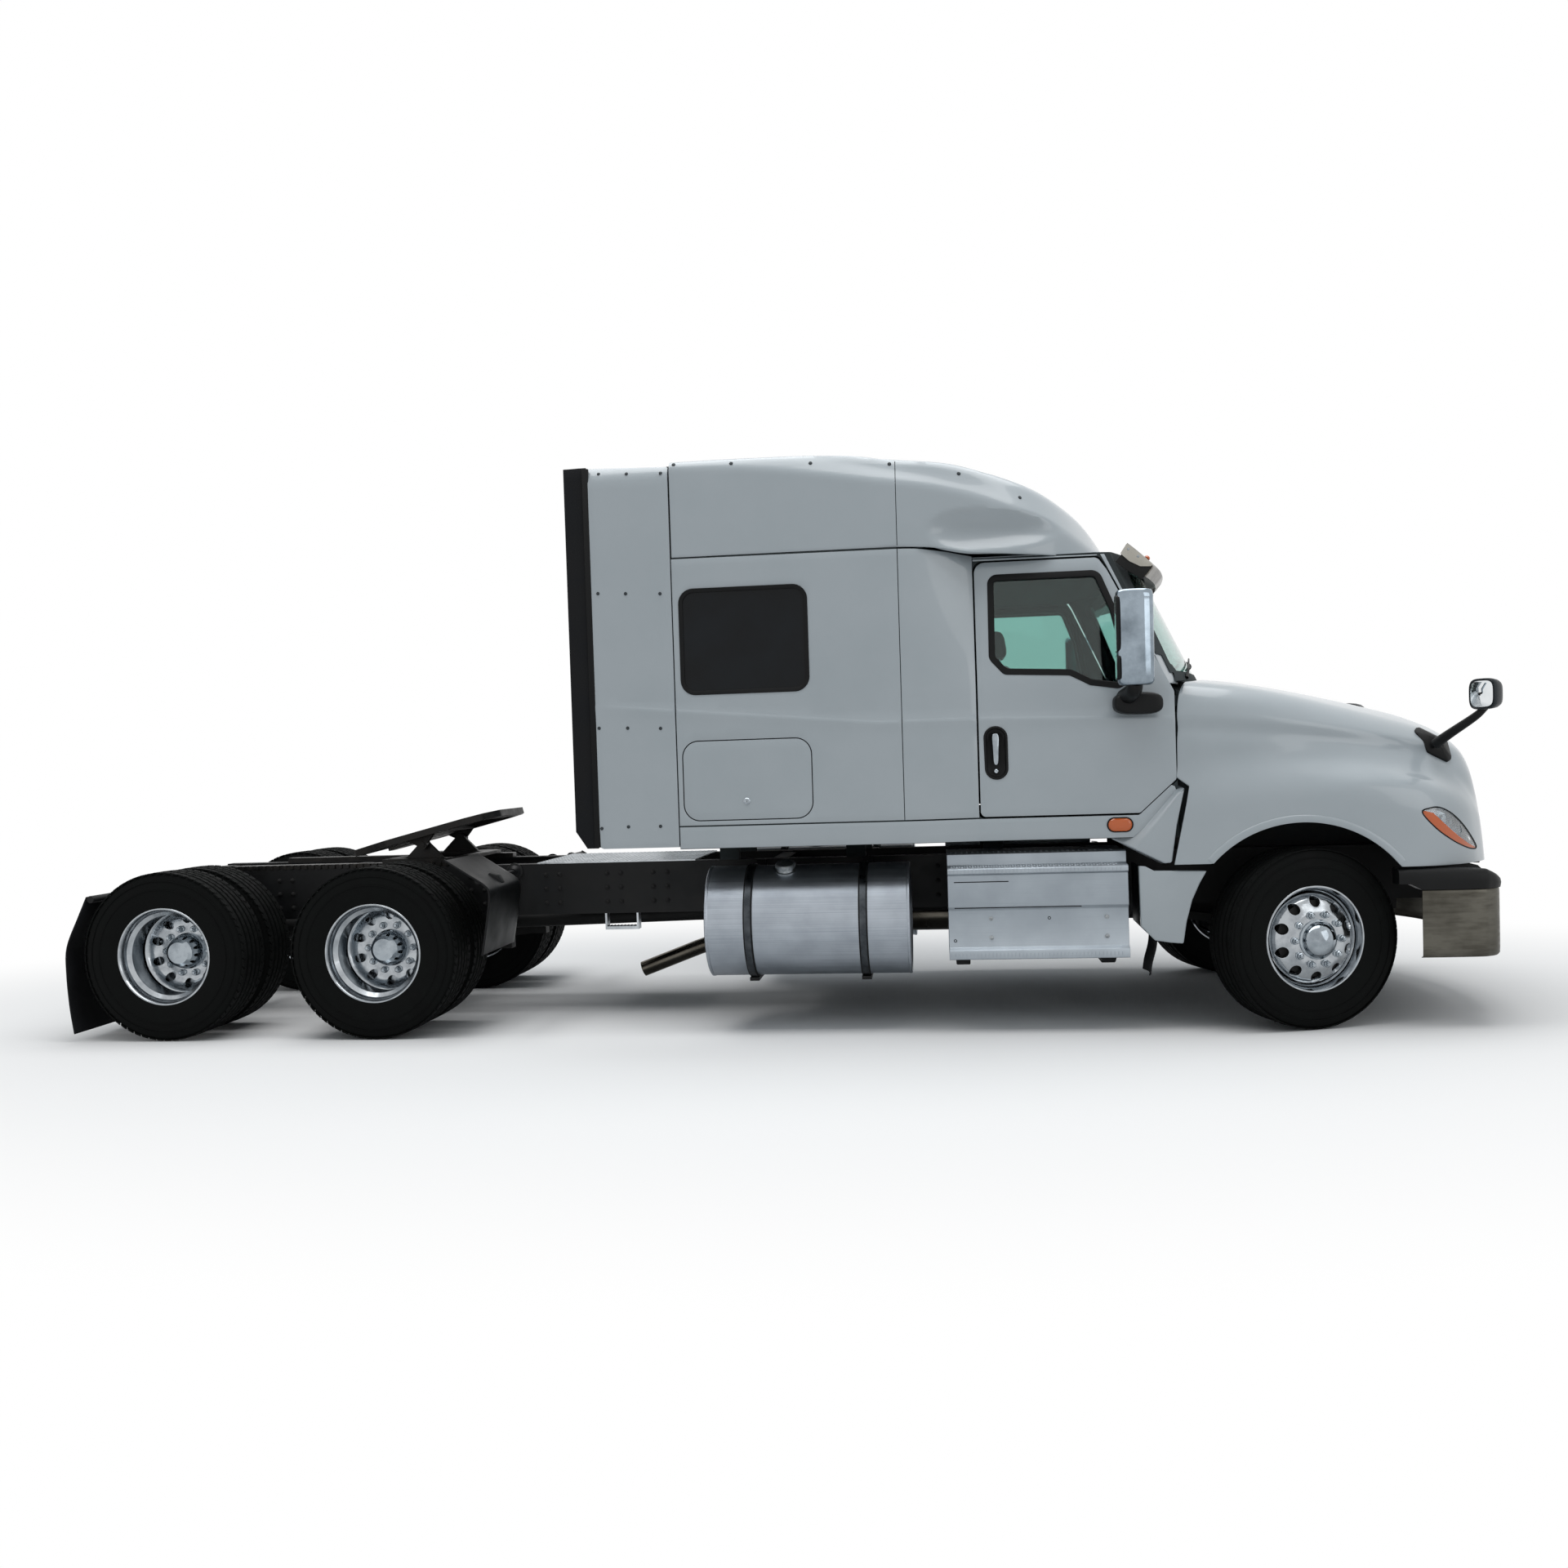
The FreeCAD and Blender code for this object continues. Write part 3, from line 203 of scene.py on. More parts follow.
def sheetOf(rows, closeRows=False, closeColumns=False):
    # a grid of points as faces; closeColumns joins each row's last point to its first
    n, m = len(rows), len(rows[0])
    verts = [tuple(p) for row in rows for p in row]
    faces = []
    for i in range(n if closeRows else n - 1):
        for j in range(m if closeColumns else m - 1):
            a, b = i * m + j, i * m + (j + 1) % m
            c, d = ((i + 1) % n) * m + (j + 1) % m, ((i + 1) % n) * m + j
            faces.append([a, b, c, d])
    return verts, faces


def capped(rows):
    # a closed tube of rings with both ends filled
    verts, faces = sheetOf(rows, closeColumns=True)
    m = len(rows[0])
    return verts, faces + [list(range(m))[::-1], list(range(len(verts) - m, len(verts)))]


def box(x0, x1, y0, y1, z0, z1):
    return capped([[(x, y0, z0), (x, y1, z0), (x, y1, z1), (x, y0, z1)] for x in (x0, x1)])


def roundCorners(points, radii, steps=6):
    # a closed flat outline with its corners rounded
    out = []
    n = len(points)
    for i in range(n):
        a, p, b = (Vector(points[k % n]) for k in (i - 1, i, i + 1))
        r = radii[i] if isinstance(radii, (list, tuple)) else radii
        if not r:
            out.append(tuple(p))
            continue
        u, v = (a - p).normalized(), (b - p).normalized()
        half = math.acos(max(-1, min(1, u.dot(v)))) / 2
        reach = min(r / math.tan(half), (a - p).length * 0.49, (b - p).length * 0.49)
        weight = math.sin(half)
        start, end = p + u * reach, p + v * reach
        for k in range(steps + 1):
            t = k / steps
            q = (1 - t) ** 2 * start + 2 * t * (1 - t) * weight * p + t * t * end
            out.append(tuple(q / ((1 - t) ** 2 + 2 * t * (1 - t) * weight + t * t)))
    return out


def smoothPath(points, steps=6, closed=False):
    # a smooth line through every point
    pts = [np.array(p, float) for p in points]
    n = len(pts)
    out = []
    for i in range(n if closed else n - 1):
        if closed:
            a, b, c, d = pts[i - 1], pts[i], pts[(i + 1) % n], pts[(i + 2) % n]
        else:
            b, c = pts[i], pts[i + 1]
            a = pts[i - 1] if i else 2 * b - c
            d = pts[i + 2] if i + 2 < n else 2 * c - b
        for k in range(steps):
            t = k / steps
            out.append(tuple(0.5 * (2 * b + (c - a) * t + (2 * a - 5 * b + 4 * c - d) * t ** 2
                                    + (3 * b - a - 3 * c + d) * t ** 3)))
    return out if closed else out + [tuple(pts[-1])]


def prism(outline, low, high, plane="xz"):
    # a flat outline, drawn in the plane named, pushed from low to high along the third axis
    put = {"xz": lambda a, b, h: (a, h, b), "yz": lambda a, b, h: (h, a, b)}[plane]
    return capped([[put(a, b, h) for a, b in outline] for h in (low, high)])


def ringOf(radius, height=0.0, count=24):
    # a circle of points about the origin
    turns = (2 * math.pi * k / count for k in range(count))
    return [(radius * math.cos(a), radius * math.sin(a), height) for a in turns]


def acrossOf(axis):
    # the axis with a length of one, and two directions square to it and to each other
    axis = Vector(axis).normalized()
    side = axis.cross(Vector((0, 0, 1))) if abs(axis.z) < 0.9 else Vector((1, 0, 0))
    side = side.normalized()
    return axis, side, axis.cross(side)


def bisect(beyond, near, far, steps):
    # the last place before beyond(place) turns true
    for _ in range(steps):
        middle = (near + far) / 2
        near, far = (near, middle) if beyond(middle) else (middle, far)
    return near


def pipe(points, radius, ring=12, closed=False):
    # a round tube along a line of points; radius may be one number or one for each point
    pts = [Vector(p) for p in points]
    n = len(pts)
    radii = radius if isinstance(radius, (list, tuple)) else [radius] * n
    rows = []
    side = None
    for i, p in enumerate(pts):
        ahead = pts[(i + 1) % n] if closed or i + 1 < n else p
        behind = pts[i - 1] if closed or i else p
        along = (ahead - behind).normalized()
        if side is None:
            side = along.orthogonal().normalized()
        side = (side - along * side.dot(along)).normalized()
        up = along.cross(side)
        rows.append([tuple(p + (side * math.cos(a) + up * math.sin(a)) * radii[i])
                     for a in (2 * math.pi * k / ring for k in range(ring))])
    return sheetOf(rows, closeRows=True, closeColumns=True) if closed else capped(rows)


def lathe(profile, centre, axis=(0, 1, 0), steps=64, closed=True):
    # a profile of (along the axis, radius) turned about the axis through the centre
    axis, side, up = acrossOf(axis)
    c = Vector(centre)
    rows = []
    for k in range(steps):
        a = 2 * math.pi * k / steps
        rows.append([tuple(c + axis * h + (side * math.cos(a) + up * math.sin(a)) * max(r, 0.0002))
                     for h, r in profile])
    return sheetOf(rows, closeRows=True, closeColumns=closed)


def inside(points, polygon):
    # which of the flat points lie inside the closed polygon
    x, y = points[:, 0], points[:, 1]
    poly = np.array(polygon)
    result = np.zeros(len(points), bool)
    for (x0, y0), (x1, y1) in zip(poly, np.roll(poly, -1, axis=0)):
        if y0 == y1:
            continue
        cross = (y0 > y) != (y1 > y)
        result ^= cross & (x < (x1 - x0) * (y - y0) / (y1 - y0) + x0)
    return result


def evenly(loop, step):
    # a closed loop with no edge longer than step
    out = []
    for a, b in zip(loop, loop[1:] + loop[:1]):
        n = max(1, math.ceil(math.dist(a, b) / step))
        out += [(a[0] + (b[0] - a[0]) * k / n, a[1] + (b[1] - a[1]) * k / n) for k in range(n)]
    return out


def between(points, loops):
    # which of the flat points lie inside the first loop and outside the others
    keep = inside(points, loops[0])
    for loop in loops[1:]:
        keep &= ~inside(points, loop)
    return keep


def clearOf(points, others, gap):
    # the flat points further than the gap from all the others
    return points[np.array([np.min(np.hypot(*(others - p).T)) > gap for p in points], bool)]


def filled(outline, holes, surface, step=0.05, extra=()):
    # a flat outline with holes, filled with small triangles and laid on surface(a, b); extra points go in too
    loops = [evenly([tuple(p) for p in loop], step) for loop in [outline] + list(holes)]
    edge = np.array([p for loop in loops for p in loop])
    low, high = edge.min(0), edge.max(0)
    na, nb = (max(2, int(round((high[k] - low[k]) / step))) for k in (0, 1))
    grid = np.array([(low[0] + (high[0] - low[0]) * i / na, low[1] + (high[1] - low[1]) * j / nb)
                     for i in range(na + 1) for j in range(nb + 1)])
    fixed = edge
    if len(extra):
        more = np.array(extra)
        fixed = np.concatenate([edge, clearOf(more[between(more, loops)], edge, 0.006)])
    grid = clearOf(grid[between(grid, loops)], fixed, step * 0.55)
    points = [Vector(p) for p in np.concatenate([fixed, grid])]
    edges, start = [], 0
    for loop in loops:
        n = len(loop)
        edges += [(start + i, start + (i + 1) % n) for i in range(n)]
        start += n
    found = geometry.delaunay_2d_cdt(points, edges, [], 1, 1e-6)
    flat, triangles = [tuple(v) for v in found[0]], found[2]
    middles = np.array([np.mean([flat[i] for i in t], axis=0) for t in triangles])
    keep = between(middles, loops)
    return [surface(a, b) for a, b in flat], [list(t) for t, k in zip(triangles, keep) if k]


def blendTo(low, high, value):
    # 0 below low, 1 above high, smooth between
    t = max(0.0, min(1.0, (value - low) / (high - low)))
    return t * t * (3 - 2 * t)


def steady(table, value):
    # a value read from a table of (place, value) pairs, straight between them
    return float(np.interp(value, [t[0] for t in table], [t[1] for t in table]))


# one Geometry Nodes tree for everything that repeats
def scatterTree():
    tree = bpy.data.node_groups.new("repeat on places", "GeometryNodeTree")
    sockets = (("Places", "Geometry", None), ("Pattern piece", "Object", None), ("Size", "Float", 1.0),
               ("Turn spread", "Float", None), ("Seed", "Int", 4), ("Finish", "Material", None))
    for name, kind, value in sockets:
        socket = tree.interface.new_socket(name, in_out="INPUT", socket_type="NodeSocket" + kind)
        if value is not None:
            socket.default_value = value
    tree.interface.new_socket("Geometry", in_out="OUTPUT", socket_type="NodeSocketGeometry")
    start = addNode(tree, "NodeGroupInput")
    out, along = (addNode(tree, "GeometryNodeInputNamedAttribute", {"data_type": "FLOAT_VECTOR", "Name": name})
                  for name in ("out", "along"))
    stand = addNode(tree, "FunctionNodeAlignRotationToVector", {"axis": "Z"}, {"Vector": (out, "Attribute")})
    aim = addNode(tree, "FunctionNodeAlignRotationToVector", {"axis": "X", "pivot_axis": "Z"},
                  {"Rotation": (stand, "Rotation"), "Vector": (along, "Attribute")})
    least = addNode(tree, "ShaderNodeMath", {"operation": "MULTIPLY", 1: -1.0}, {0: (start, "Turn spread")})
    chance = addNode(tree, "FunctionNodeRandomValue", {"data_type": "FLOAT"},
                     {2: (least, "Value"), 3: (start, "Turn spread"), "Seed": (start, "Seed")})
    angle = addNode(tree, "ShaderNodeCombineXYZ", {}, {"Z": (chance, 1)})
    local = addNode(tree, "FunctionNodeEulerToRotation", {}, {0: (angle, "Vector")})
    spin = addNode(tree, "FunctionNodeRotateRotation", {"rotation_space": "LOCAL"},
                   {"Rotation": (aim, "Rotation"), "Rotate By": (local, "Rotation")})
    thing = addNode(tree, "GeometryNodeObjectInfo", {"transform_space": "ORIGINAL"},
                    {"Object": (start, "Pattern piece")})
    copies = addNode(tree, "GeometryNodeInstanceOnPoints", {},
                     {"Points": (start, "Places"), "Instance": (thing, "Geometry"), "Rotation": (spin, "Rotation"),
                      "Scale": (start, "Size")})
    real = addNode(tree, "GeometryNodeRealizeInstances", {}, {"Geometry": (copies, "Instances")})
    coat = addNode(tree, "GeometryNodeSetMaterial", {},
                   {"Geometry": (real, "Geometry"), "Material": (start, "Finish")})
    addNode(tree, "NodeGroupOutput", {}, {"Geometry": (coat, "Geometry")})
    return tree


repeatTree = scatterTree()


def repeated(name, places, shape, body, slot, material, size=1.0, spread=0.0):
    # copies of a small shape, drawn about its own origin with +Z out, at each (point, outwards[, along]) place
    pattern = bpy.data.objects.new(name + "Pattern", bpy.data.meshes.new(name + "Pattern"))
    pattern.data.from_pydata(shape[0], [], shape[1])
    tidyMesh(pattern, None, 0.00001)
    scene.collection.objects.link(pattern)
    obj = placed(name, [p[0] for p in places], [])
    ways = {"out": [p[1] for p in places], "along": [p[2] if len(p) > 2 else (1.0, 0.0, 0.0) for p in places]}
    for key, way in ways.items():
        attribute = obj.data.attributes.new(key, "FLOAT_VECTOR", "POINT")
        attribute.data.foreach_set("vector", [c for p in way for c in p])
    nodes = obj.modifiers.new("repeat", "NODES")
    values = {"Pattern piece": pattern, "Size": float(size), "Turn spread": float(spread), "Finish": material}
    nodes.node_group = repeatTree
    for item in repeatTree.interface.items_tree:
        if item.name in values:
            nodes[item.identifier] = values[item.name]
    bake(obj)
    bpy.data.objects.remove(pattern)
    if not obj.data.materials:
        obj.data.materials.append(material)
    return settle(obj, body, slot)


# materials
def finish(name, settings, patterns, colours=None, rough=None, bump=None):
    # a material from patterns in object coordinates: the first one mixes colours = (low, high, span) and
    # rough = (low, high), the last one is raised by bump metres
    material, tree, shader, place = newMaterial(name, settings)
    drawn = [(addNode(tree, kind, inputs, {"Vector": (place, "Object")}), output) for kind, inputs, output in patterns]
    if colours:
        tone(tree, shader, drawn[0], linear(colours[0]), linear(colours[1]), span=colours[2])
    if rough:
        tone(tree, shader, drawn[0], grey(rough[0]), grey(rough[1]), "Roughness")
    if bump is not None:
        relief(tree, shader, drawn[-1], bump)
    return material


def noise(scale, detail, roughness=0.5):
    return "ShaderNodeTexNoise", {"Scale": scale, "Detail": detail, "Roughness": roughness}, "Fac"


def coachPaint():
    # white coach enamel under clear coat, sprayed on: an even cool white, faint orange peel, road film low down
    look = {"clean": "A1A9AE", "dusty": "9AA3A8", "rough": 0.34, "peel": 0.00006}
    return finish("coachEnamelWhite", {"Base Color": linear(look["clean"]), "Roughness": look["rough"], "IOR": 1.5,
                                       "Coat Weight": 0.55, "Coat Roughness": 0.08},
                  [noise(1.7, 5.0, 0.62), noise(110.0, 1.0)], (look["dusty"], look["clean"], (0.2, 0.6)),
                  bump=look["peel"])


def paintedSteel(name, dark, pale, rough, grime=3.0):
    # satin chassis enamel on rolled steel: near black, dulled in patches by road dust
    return finish(name, {"Base Color": linear(dark), "IOR": 1.5, "Specular IOR Level": 0.25},
                  [noise(grime, 8.0, 0.7), noise(320.0, 2.0)], (dark, pale, (0.42, 0.78)), (rough, rough + 0.25),
                  0.0002)


def mouldedBlack(name, dark, pale, rough, grain=420.0, depth=0.00015):
    # injection-moulded black plastic or rubber: fine leathery grain, soft sheen, slight fading
    return finish(name, {"IOR": 1.46, "Specular IOR Level": 0.2},
                  [noise(4.0, 6.0), ("ShaderNodeTexVoronoi", {"Scale": grain}, "Distance")],
                  (dark, pale, (0.35, 0.75)), (rough - 0.06, rough + 0.1), depth)


def tyreRubber():
    # cured tyre rubber: matt charcoal, dusty on the tread, with mould lines too fine to see
    return finish("curedTyreRubber", {"IOR": 1.5, "Specular IOR Level": 0.08},
                  [noise(9.0, 7.0, 0.65), noise(260.0, 3.0)], ("070808", "151716", (0.4, 0.8)), (0.62, 0.86), 0.0003)


def polishedMetal(name, bright, dull, rough, haze, scale=14.0):
    # a bare or plated metal, polished: a mirror with a haze of fine wear
    return finish(name, {"Metallic": 1.0}, [noise(scale, 8.0, 0.6)], (bright, dull, (0.4, 0.72)), (rough, haze))


def brushedMetal(name, bright, dull, rough, stretch, depth=0.00008):
    # sheet metal brushed one way: long fine scratches along the grain, drawn coarser than real to show
    material, tree, shader, place = newMaterial(name, {"Metallic": 1.0})
    grain = addNode(tree, "ShaderNodeMapping", {"Scale": stretch}, {"Vector": (place, "Object")})
    hairs = addNode(tree, "ShaderNodeTexNoise", {"Scale": 1.0, "Detail": 4.0}, {"Vector": (grain, "Vector")})
    cloud = addNode(tree, "ShaderNodeTexNoise", {"Scale": 5.0, "Detail": 5.0}, {"Vector": (place, "Object")})
    mixed = addNode(tree, "ShaderNodeMath", {"operation": "MULTIPLY"}, {0: (hairs, "Fac"), 1: (cloud, "Fac")})
    tone(tree, shader, (mixed, "Value"), linear(dull), linear(bright), span=(0.12, 0.36))
    tone(tree, shader, (hairs, "Fac"), grey(rough - 0.07), grey(rough + 0.12), "Roughness")
    relief(tree, shader, (hairs, "Fac"), depth)
    return material


def tintedGlass(name, colour, density):
    # laminated safety glass: clear, tinted in the mass, smooth, with a faint smear of density
    rough = 0.02
    return finish(name, {"Base Color": linear(colour), "Roughness": rough, "IOR": 1.5, "Transmission Weight": 1.0},
                  [noise(3.0, 4.0)], rough=(rough, rough + density))


def lens(name, colour, rough, share):
    # moulded acrylic or polycarbonate lens: coloured, glossy, with fine flutes behind its face
    material, tree, shader, place = newMaterial(name, {
        "Base Color": linear(colour), "Roughness": rough, "IOR": 1.49, "Transmission Weight": share,
        "Coat Weight": 0.3})
    flutes = addNode(tree, "ShaderNodeTexWave", {"Scale": 40.0, "Distortion": 0.0}, {"Vector": (place, "Object")})
    relief(tree, shader, (flutes, "Fac"), 0.0001, 0.3)
    return material


def cloth(name, dark, pale, thread):
    # woven polyester cloth: two tones of yarn over and under, matt with a little fuzz
    material, tree, shader, place = newMaterial(name, {
        "Roughness": 0.9, "IOR": 1.45, "Sheen Weight": 0.35, "Sheen Roughness": 0.5})
    warp = addNode(tree, "ShaderNodeTexChecker", {"Scale": 1.0 / thread}, {"Vector": (place, "Object")})
    slub = addNode(tree, "ShaderNodeTexNoise", {"Scale": 40.0, "Detail": 4.0}, {"Vector": (place, "Object")})
    mixed = addNode(tree, "ShaderNodeMath", {"operation": "MULTIPLY_ADD", 1: 0.15},
                    {0: (warp, "Fac"), 2: (slub, "Fac")})
    tone(tree, shader, (mixed, "Value"), linear(dark), linear(pale), span=(0.3, 0.95))
    relief(tree, shader, (mixed, "Value"), 0.0002)
    return material


paint = coachPaint()
chassisBlack = paintedSteel("chassisEnamelBlack", "08090A", "17191B", 0.42)
castBlack = paintedSteel("castIronPainted", "0A0B0B", "1E1E1E", 0.5, 6.0)
engineGrey = paintedSteel("castIronEngine", "202326", "3B3A38", 0.5, 6.0)
greased = paintedSteel("greasedCastSteel", "0B0B0B", "2C2824", 0.3, 9.0)
hoodMirrorShell = mouldedBlack("mouldedAbsMirror", "1D2124", "2B3034", 0.3, 300.0, 0.00005)
blackPlastic = mouldedBlack("mouldedPolypropylene", "08090A", "101213", 0.42)
blackRubber = mouldedBlack("mouldedEpdmRubber", "08090A", "141516", 0.62, 300.0)
flapRubber = mouldedBlack("sheetRubberFlap", "0A0B0D", "15171A", 0.7, 160.0, 0.0004)
dashPlastic = mouldedBlack("mouldedAbsGrey", "2A2D2F", "3A3D3F", 0.55, 260.0)
linerPlastic = mouldedBlack("headlinerVinyl", "303536", "3C4244", 0.8, 200.0)
trimVinyl = mouldedBlack("trimVinylPale", "9FB0AE", "AEBDBB", 0.7, 200.0)
headVinyl = mouldedBlack("headliningVinyl", "2C3032", "363A3C", 0.85, 200.0)
seam = mouldedBlack("seamSealer", "1C2022", "2A2F31", 0.8, 200.0)
tyre = tyreRubber()
wheelAluminium = polishedMetal("forgedAluminiumPolished", "AFB4B8", "8C9196", 0.1, 0.24)
chrome = polishedMetal("chromePlate", "A2AAB0", "7E868D", 0.05, 0.16)
mirrorChrome = polishedMetal("chromePlatedShell", "98A4AE", "66717A", 0.06, 0.16, 5.0)
stainless = polishedMetal("stainlessSteelPolished", "66625A", "3C3932", 0.16, 0.34, 2.5)
visorPlate = polishedMetal("aluminiumPlatePolished", "A6A49D", "8E8B82", 0.22, 0.36, 3.0)
zincSteel = polishedMetal("zincPlatedSteel", "9BA0A3", "6E7376", 0.3, 0.5, 60.0)
dullScrew = paintedSteel("oxideCoatedScrew", "2E3336", "4A5054", 0.5, 80.0)
tankAluminium = brushedMetal("spunAluminiumTank", "A9B0B8", "8F969E", 0.38, (1.2, 300.0, 300.0), 0.00003)
stepAluminium = brushedMetal("rolledAluminiumSheet", "A3ABB2", "949CA3", 0.5, (2.0, 260.0, 260.0), 0.00003)
bumperAluminium = brushedMetal("weatheredAluminiumWrap", "605E57", "44423C", 0.4, (7.0, 9.0, 40.0), 0.00004)
deckPlateMetal = brushedMetal("treadPlateAluminium", "C9CED2", "A0A6AA", 0.34, (30.0, 90.0, 1.0))
strapSteel = polishedMetal("stainlessStrap", "3A3E42", "55595D", 0.25, 0.4)
sideGlass = tintedGlass("laminatedGlassGreen", "A9CFC8", 0.01)
frontGlass = tintedGlass("laminatedGlassWindshield", "B9DAD4", 0.01)
darkGlass = mouldedBlack("privacyGlassBlack", "0A0D10", "12161A", 0.1, 2.0, 0.0)
mirrorGlass = polishedMetal("silveredMirror", "E3E6E8", "D8DCDE", 0.02, 0.03)
amberLens = lens("acrylicLensAmber", "D8641E", 0.12, 0.25)
clearLens = lens("polycarbonateLensClear", "E6EAEC", 0.05, 0.85)
seatCloth = cloth("wovenSeatCloth", "26282B", "3A3D41", 0.006)
mattressCloth = cloth("quiltedTicking", "7C8084", "A6A9AC", 0.005)
# slot and material together, where several pieces share both
white, plastic, rubber = ("cab_paint", paint), ("black_plastic", blackPlastic), ("black_rubber", blackRubber)
flapSheet, chassisSteel = ("black_rubber", flapRubber), ("chassis_black", chassisBlack)
dashShell, stepSheet = ("black_plastic", dashPlastic), ("brushed_aluminium", stepAluminium)
tyreSkin, seatPad = ("tyre_rubber", tyre), ("seat_fabric", seatCloth)
wheelPolish, wheelChrome = (("polished_aluminium", metal) for metal in (wheelAluminium, chrome))
chromed, zincPlate, screws, silvered, polishedSheet = (
    ("steel_bright", metal) for metal in (chrome, zincSteel, dullScrew, mirrorGlass, stainless))
lampChrome, grilleBlack = ("lamp_lens", chrome), ("grille_plastic", blackPlastic)
capZinc = ("brushed_aluminium", zincSteel)
print("materials ready:", len(bpy.data.materials))


# CAD nodes that stay, with their finishes
def coatNode(node, material):
    data = frame["nodes"][node].data
    data.materials.clear()
    data.materials.append(material)


keptNodes = {
    "frame": chassisBlack, "front_axle": castBlack, "knuckle_left": castBlack, "knuckle_right": castBlack,
    "tie_rod": castBlack, "drive_axles": castBlack, "springs_and_arms": castBlack, "air_springs": blackRubber,
    "tank_brackets": chassisBlack, "engine_and_radiator": engineGrey, "exhaust": stainless,
    "slide_track": greased, "fifth_wheel_base": greased, "fifth_wheel_plate": greased,
}
for node, material in keptNodes.items():
    coatNode(node, material)
print("kept nodes finished:", len(keptNodes))


# wheels and tyres
wheelSet = {
    "steer": 17.0, "kingpinY": 0.93, "frontRadius": 0.505, "frontY": 1.03, "driveRadius": 0.515,
    "outerY": 1.078, "innerY": 0.741, "tyreHalf": 0.14, "bead": 0.2885, "lip": 0.2985, "nutCircle": 0.1425,
    # front wheels first, drive wheels second
    "handHoles": 10, "handHole": (0.031, 0.0265), "handCircle": (0.2095, 0.199), "treadBlocks": 64,
}


def tyreProfile(outer, half):
    # section of a tyre from one bead over the tread to the other: (along the axle, radius)
    bead = wheelSet["bead"]
    one = [(-0.122, bead - 0.004), (-0.128, bead + 0.008), (-0.131, bead + 0.022), (-half + 0.004, bead + 0.062),
           (-half, bead + 0.115), (-half + 0.003, outer - 0.075), (-half + 0.01, outer - 0.043),
           (-half + 0.013, outer - 0.026), (-half + 0.02, outer - 0.012), (-half + 0.034, outer - 0.005)]
    crown = []
    groove = {"half": 0.0055, "depth": 0.013, "slant": 0.002}
    for middle in (-0.072, -0.024, 0.024, 0.072):
        w, deep = groove["half"], outer - groove["depth"]
        crown += [(middle - w - groove["slant"], outer), (middle - w, deep), (middle + w, deep),
                  (middle + w + groove["slant"], outer)]
    other = [(-h, r) for h, r in reversed(one)]
    inner = [(0.112, bead - 0.01), (0.08, bead + 0.004), (-0.08, bead + 0.004), (-0.112, bead - 0.01)]
    return one + crown + other + inner


def sidewallRings(outer, half):
    # raised rings on the sidewall, as mould lines run
    out = []
    for radius, h in ((outer - 0.052, half - 0.0055), (outer - 0.105, half + 0.0005), (0.328, half - 0.0095)):
        out.append([(h - 0.006, radius - 0.003), (h + 0.0016, radius - 0.0015), (h + 0.0016, radius + 0.0015),
                    (h - 0.006, radius + 0.003)])
    return out


def treadBlock(width, length, height):
    # one tread block, leaning across its rib so that the sipes make a zig-zag
    w, l, k = width / 2, length / 2, length * 0.22
    low = [(-w, -l - k, -0.004), (0, -l + k, -0.004), (w, -l - k, -0.004), (w, l - k, -0.004), (0, l + k, -0.004),
           (-w, l - k, -0.004)]
    return capped([low, [(x * 0.94, y * 0.95, height) for x, y, _ in low]])


def addTyre(name, centre, axis, outer, half, body, node, drive):
    outer -= 0.0035                     # the tread's blocks stand proud of the carcass
    rings = [lathe(tyreProfile(outer, half), centre, axis, 96)]
    for ring in sidewallRings(outer, half):
        rings += [lathe(ring, centre, axis, 96), lathe([(-h, r) for h, r in ring], centre, axis, 96)]
    axis, side, up = acrossOf(axis)
    c = Vector(centre)
    places, shoulders = [], []
    n = wheelSet["treadBlocks"]
    for k in range(n):
        for i, h in enumerate((-0.048, 0.0, 0.048)):
            turn = 2 * math.pi * k / n + (i % 2) * math.pi / n
            out = side * math.cos(turn) + up * math.sin(turn)
            places.append((tuple(c + axis * h + out * (outer - 0.001)), tuple(out), tuple(axis)))
        out = side * math.cos(2 * math.pi * k / n) + up * math.sin(2 * math.pi * k / n)
        for s in (-1, 1):
            at = c + axis * s * (half - 0.031) + out * (outer - 0.0045)
            shoulders.append((tuple(at), tuple(out), tuple(axis)))
    pitch = 2 * math.pi * outer / n
    height, fill = (0.0035, 0.8) if drive else (0.002, 0.93)
    piece(name, *joined(rings), body, *tyreSkin, sharp=32, replaced=(node,))
    repeated(name + "Tread", places, treadBlock(0.034, pitch * max(0.78, fill), height * 0.5), body, *tyreSkin)
    repeated(name + "Shoulder", shoulders, treadBlock(0.04, pitch * fill, height), body, *tyreSkin)


def rimProfile():
    # drop-centre rim
    w, t = wheelSet["bead"] - 0.004, 0.009
    lip = wheelSet["lip"]
    half = [(0.055, w - 0.03), (0.075, w - 0.004), (0.108, w), (0.113, lip - 0.008), (0.118, lip), (0.125, lip)]
    back = [(0.129, lip - 0.004), (0.129, lip - 0.012), (0.116, w - 0.008), (0.078, w - 0.016), (0.058, w - 0.03 - t)]
    return [(-h, r) for h, r in reversed(half)] + half + back + [(-h, r) for h, r in reversed(back)]


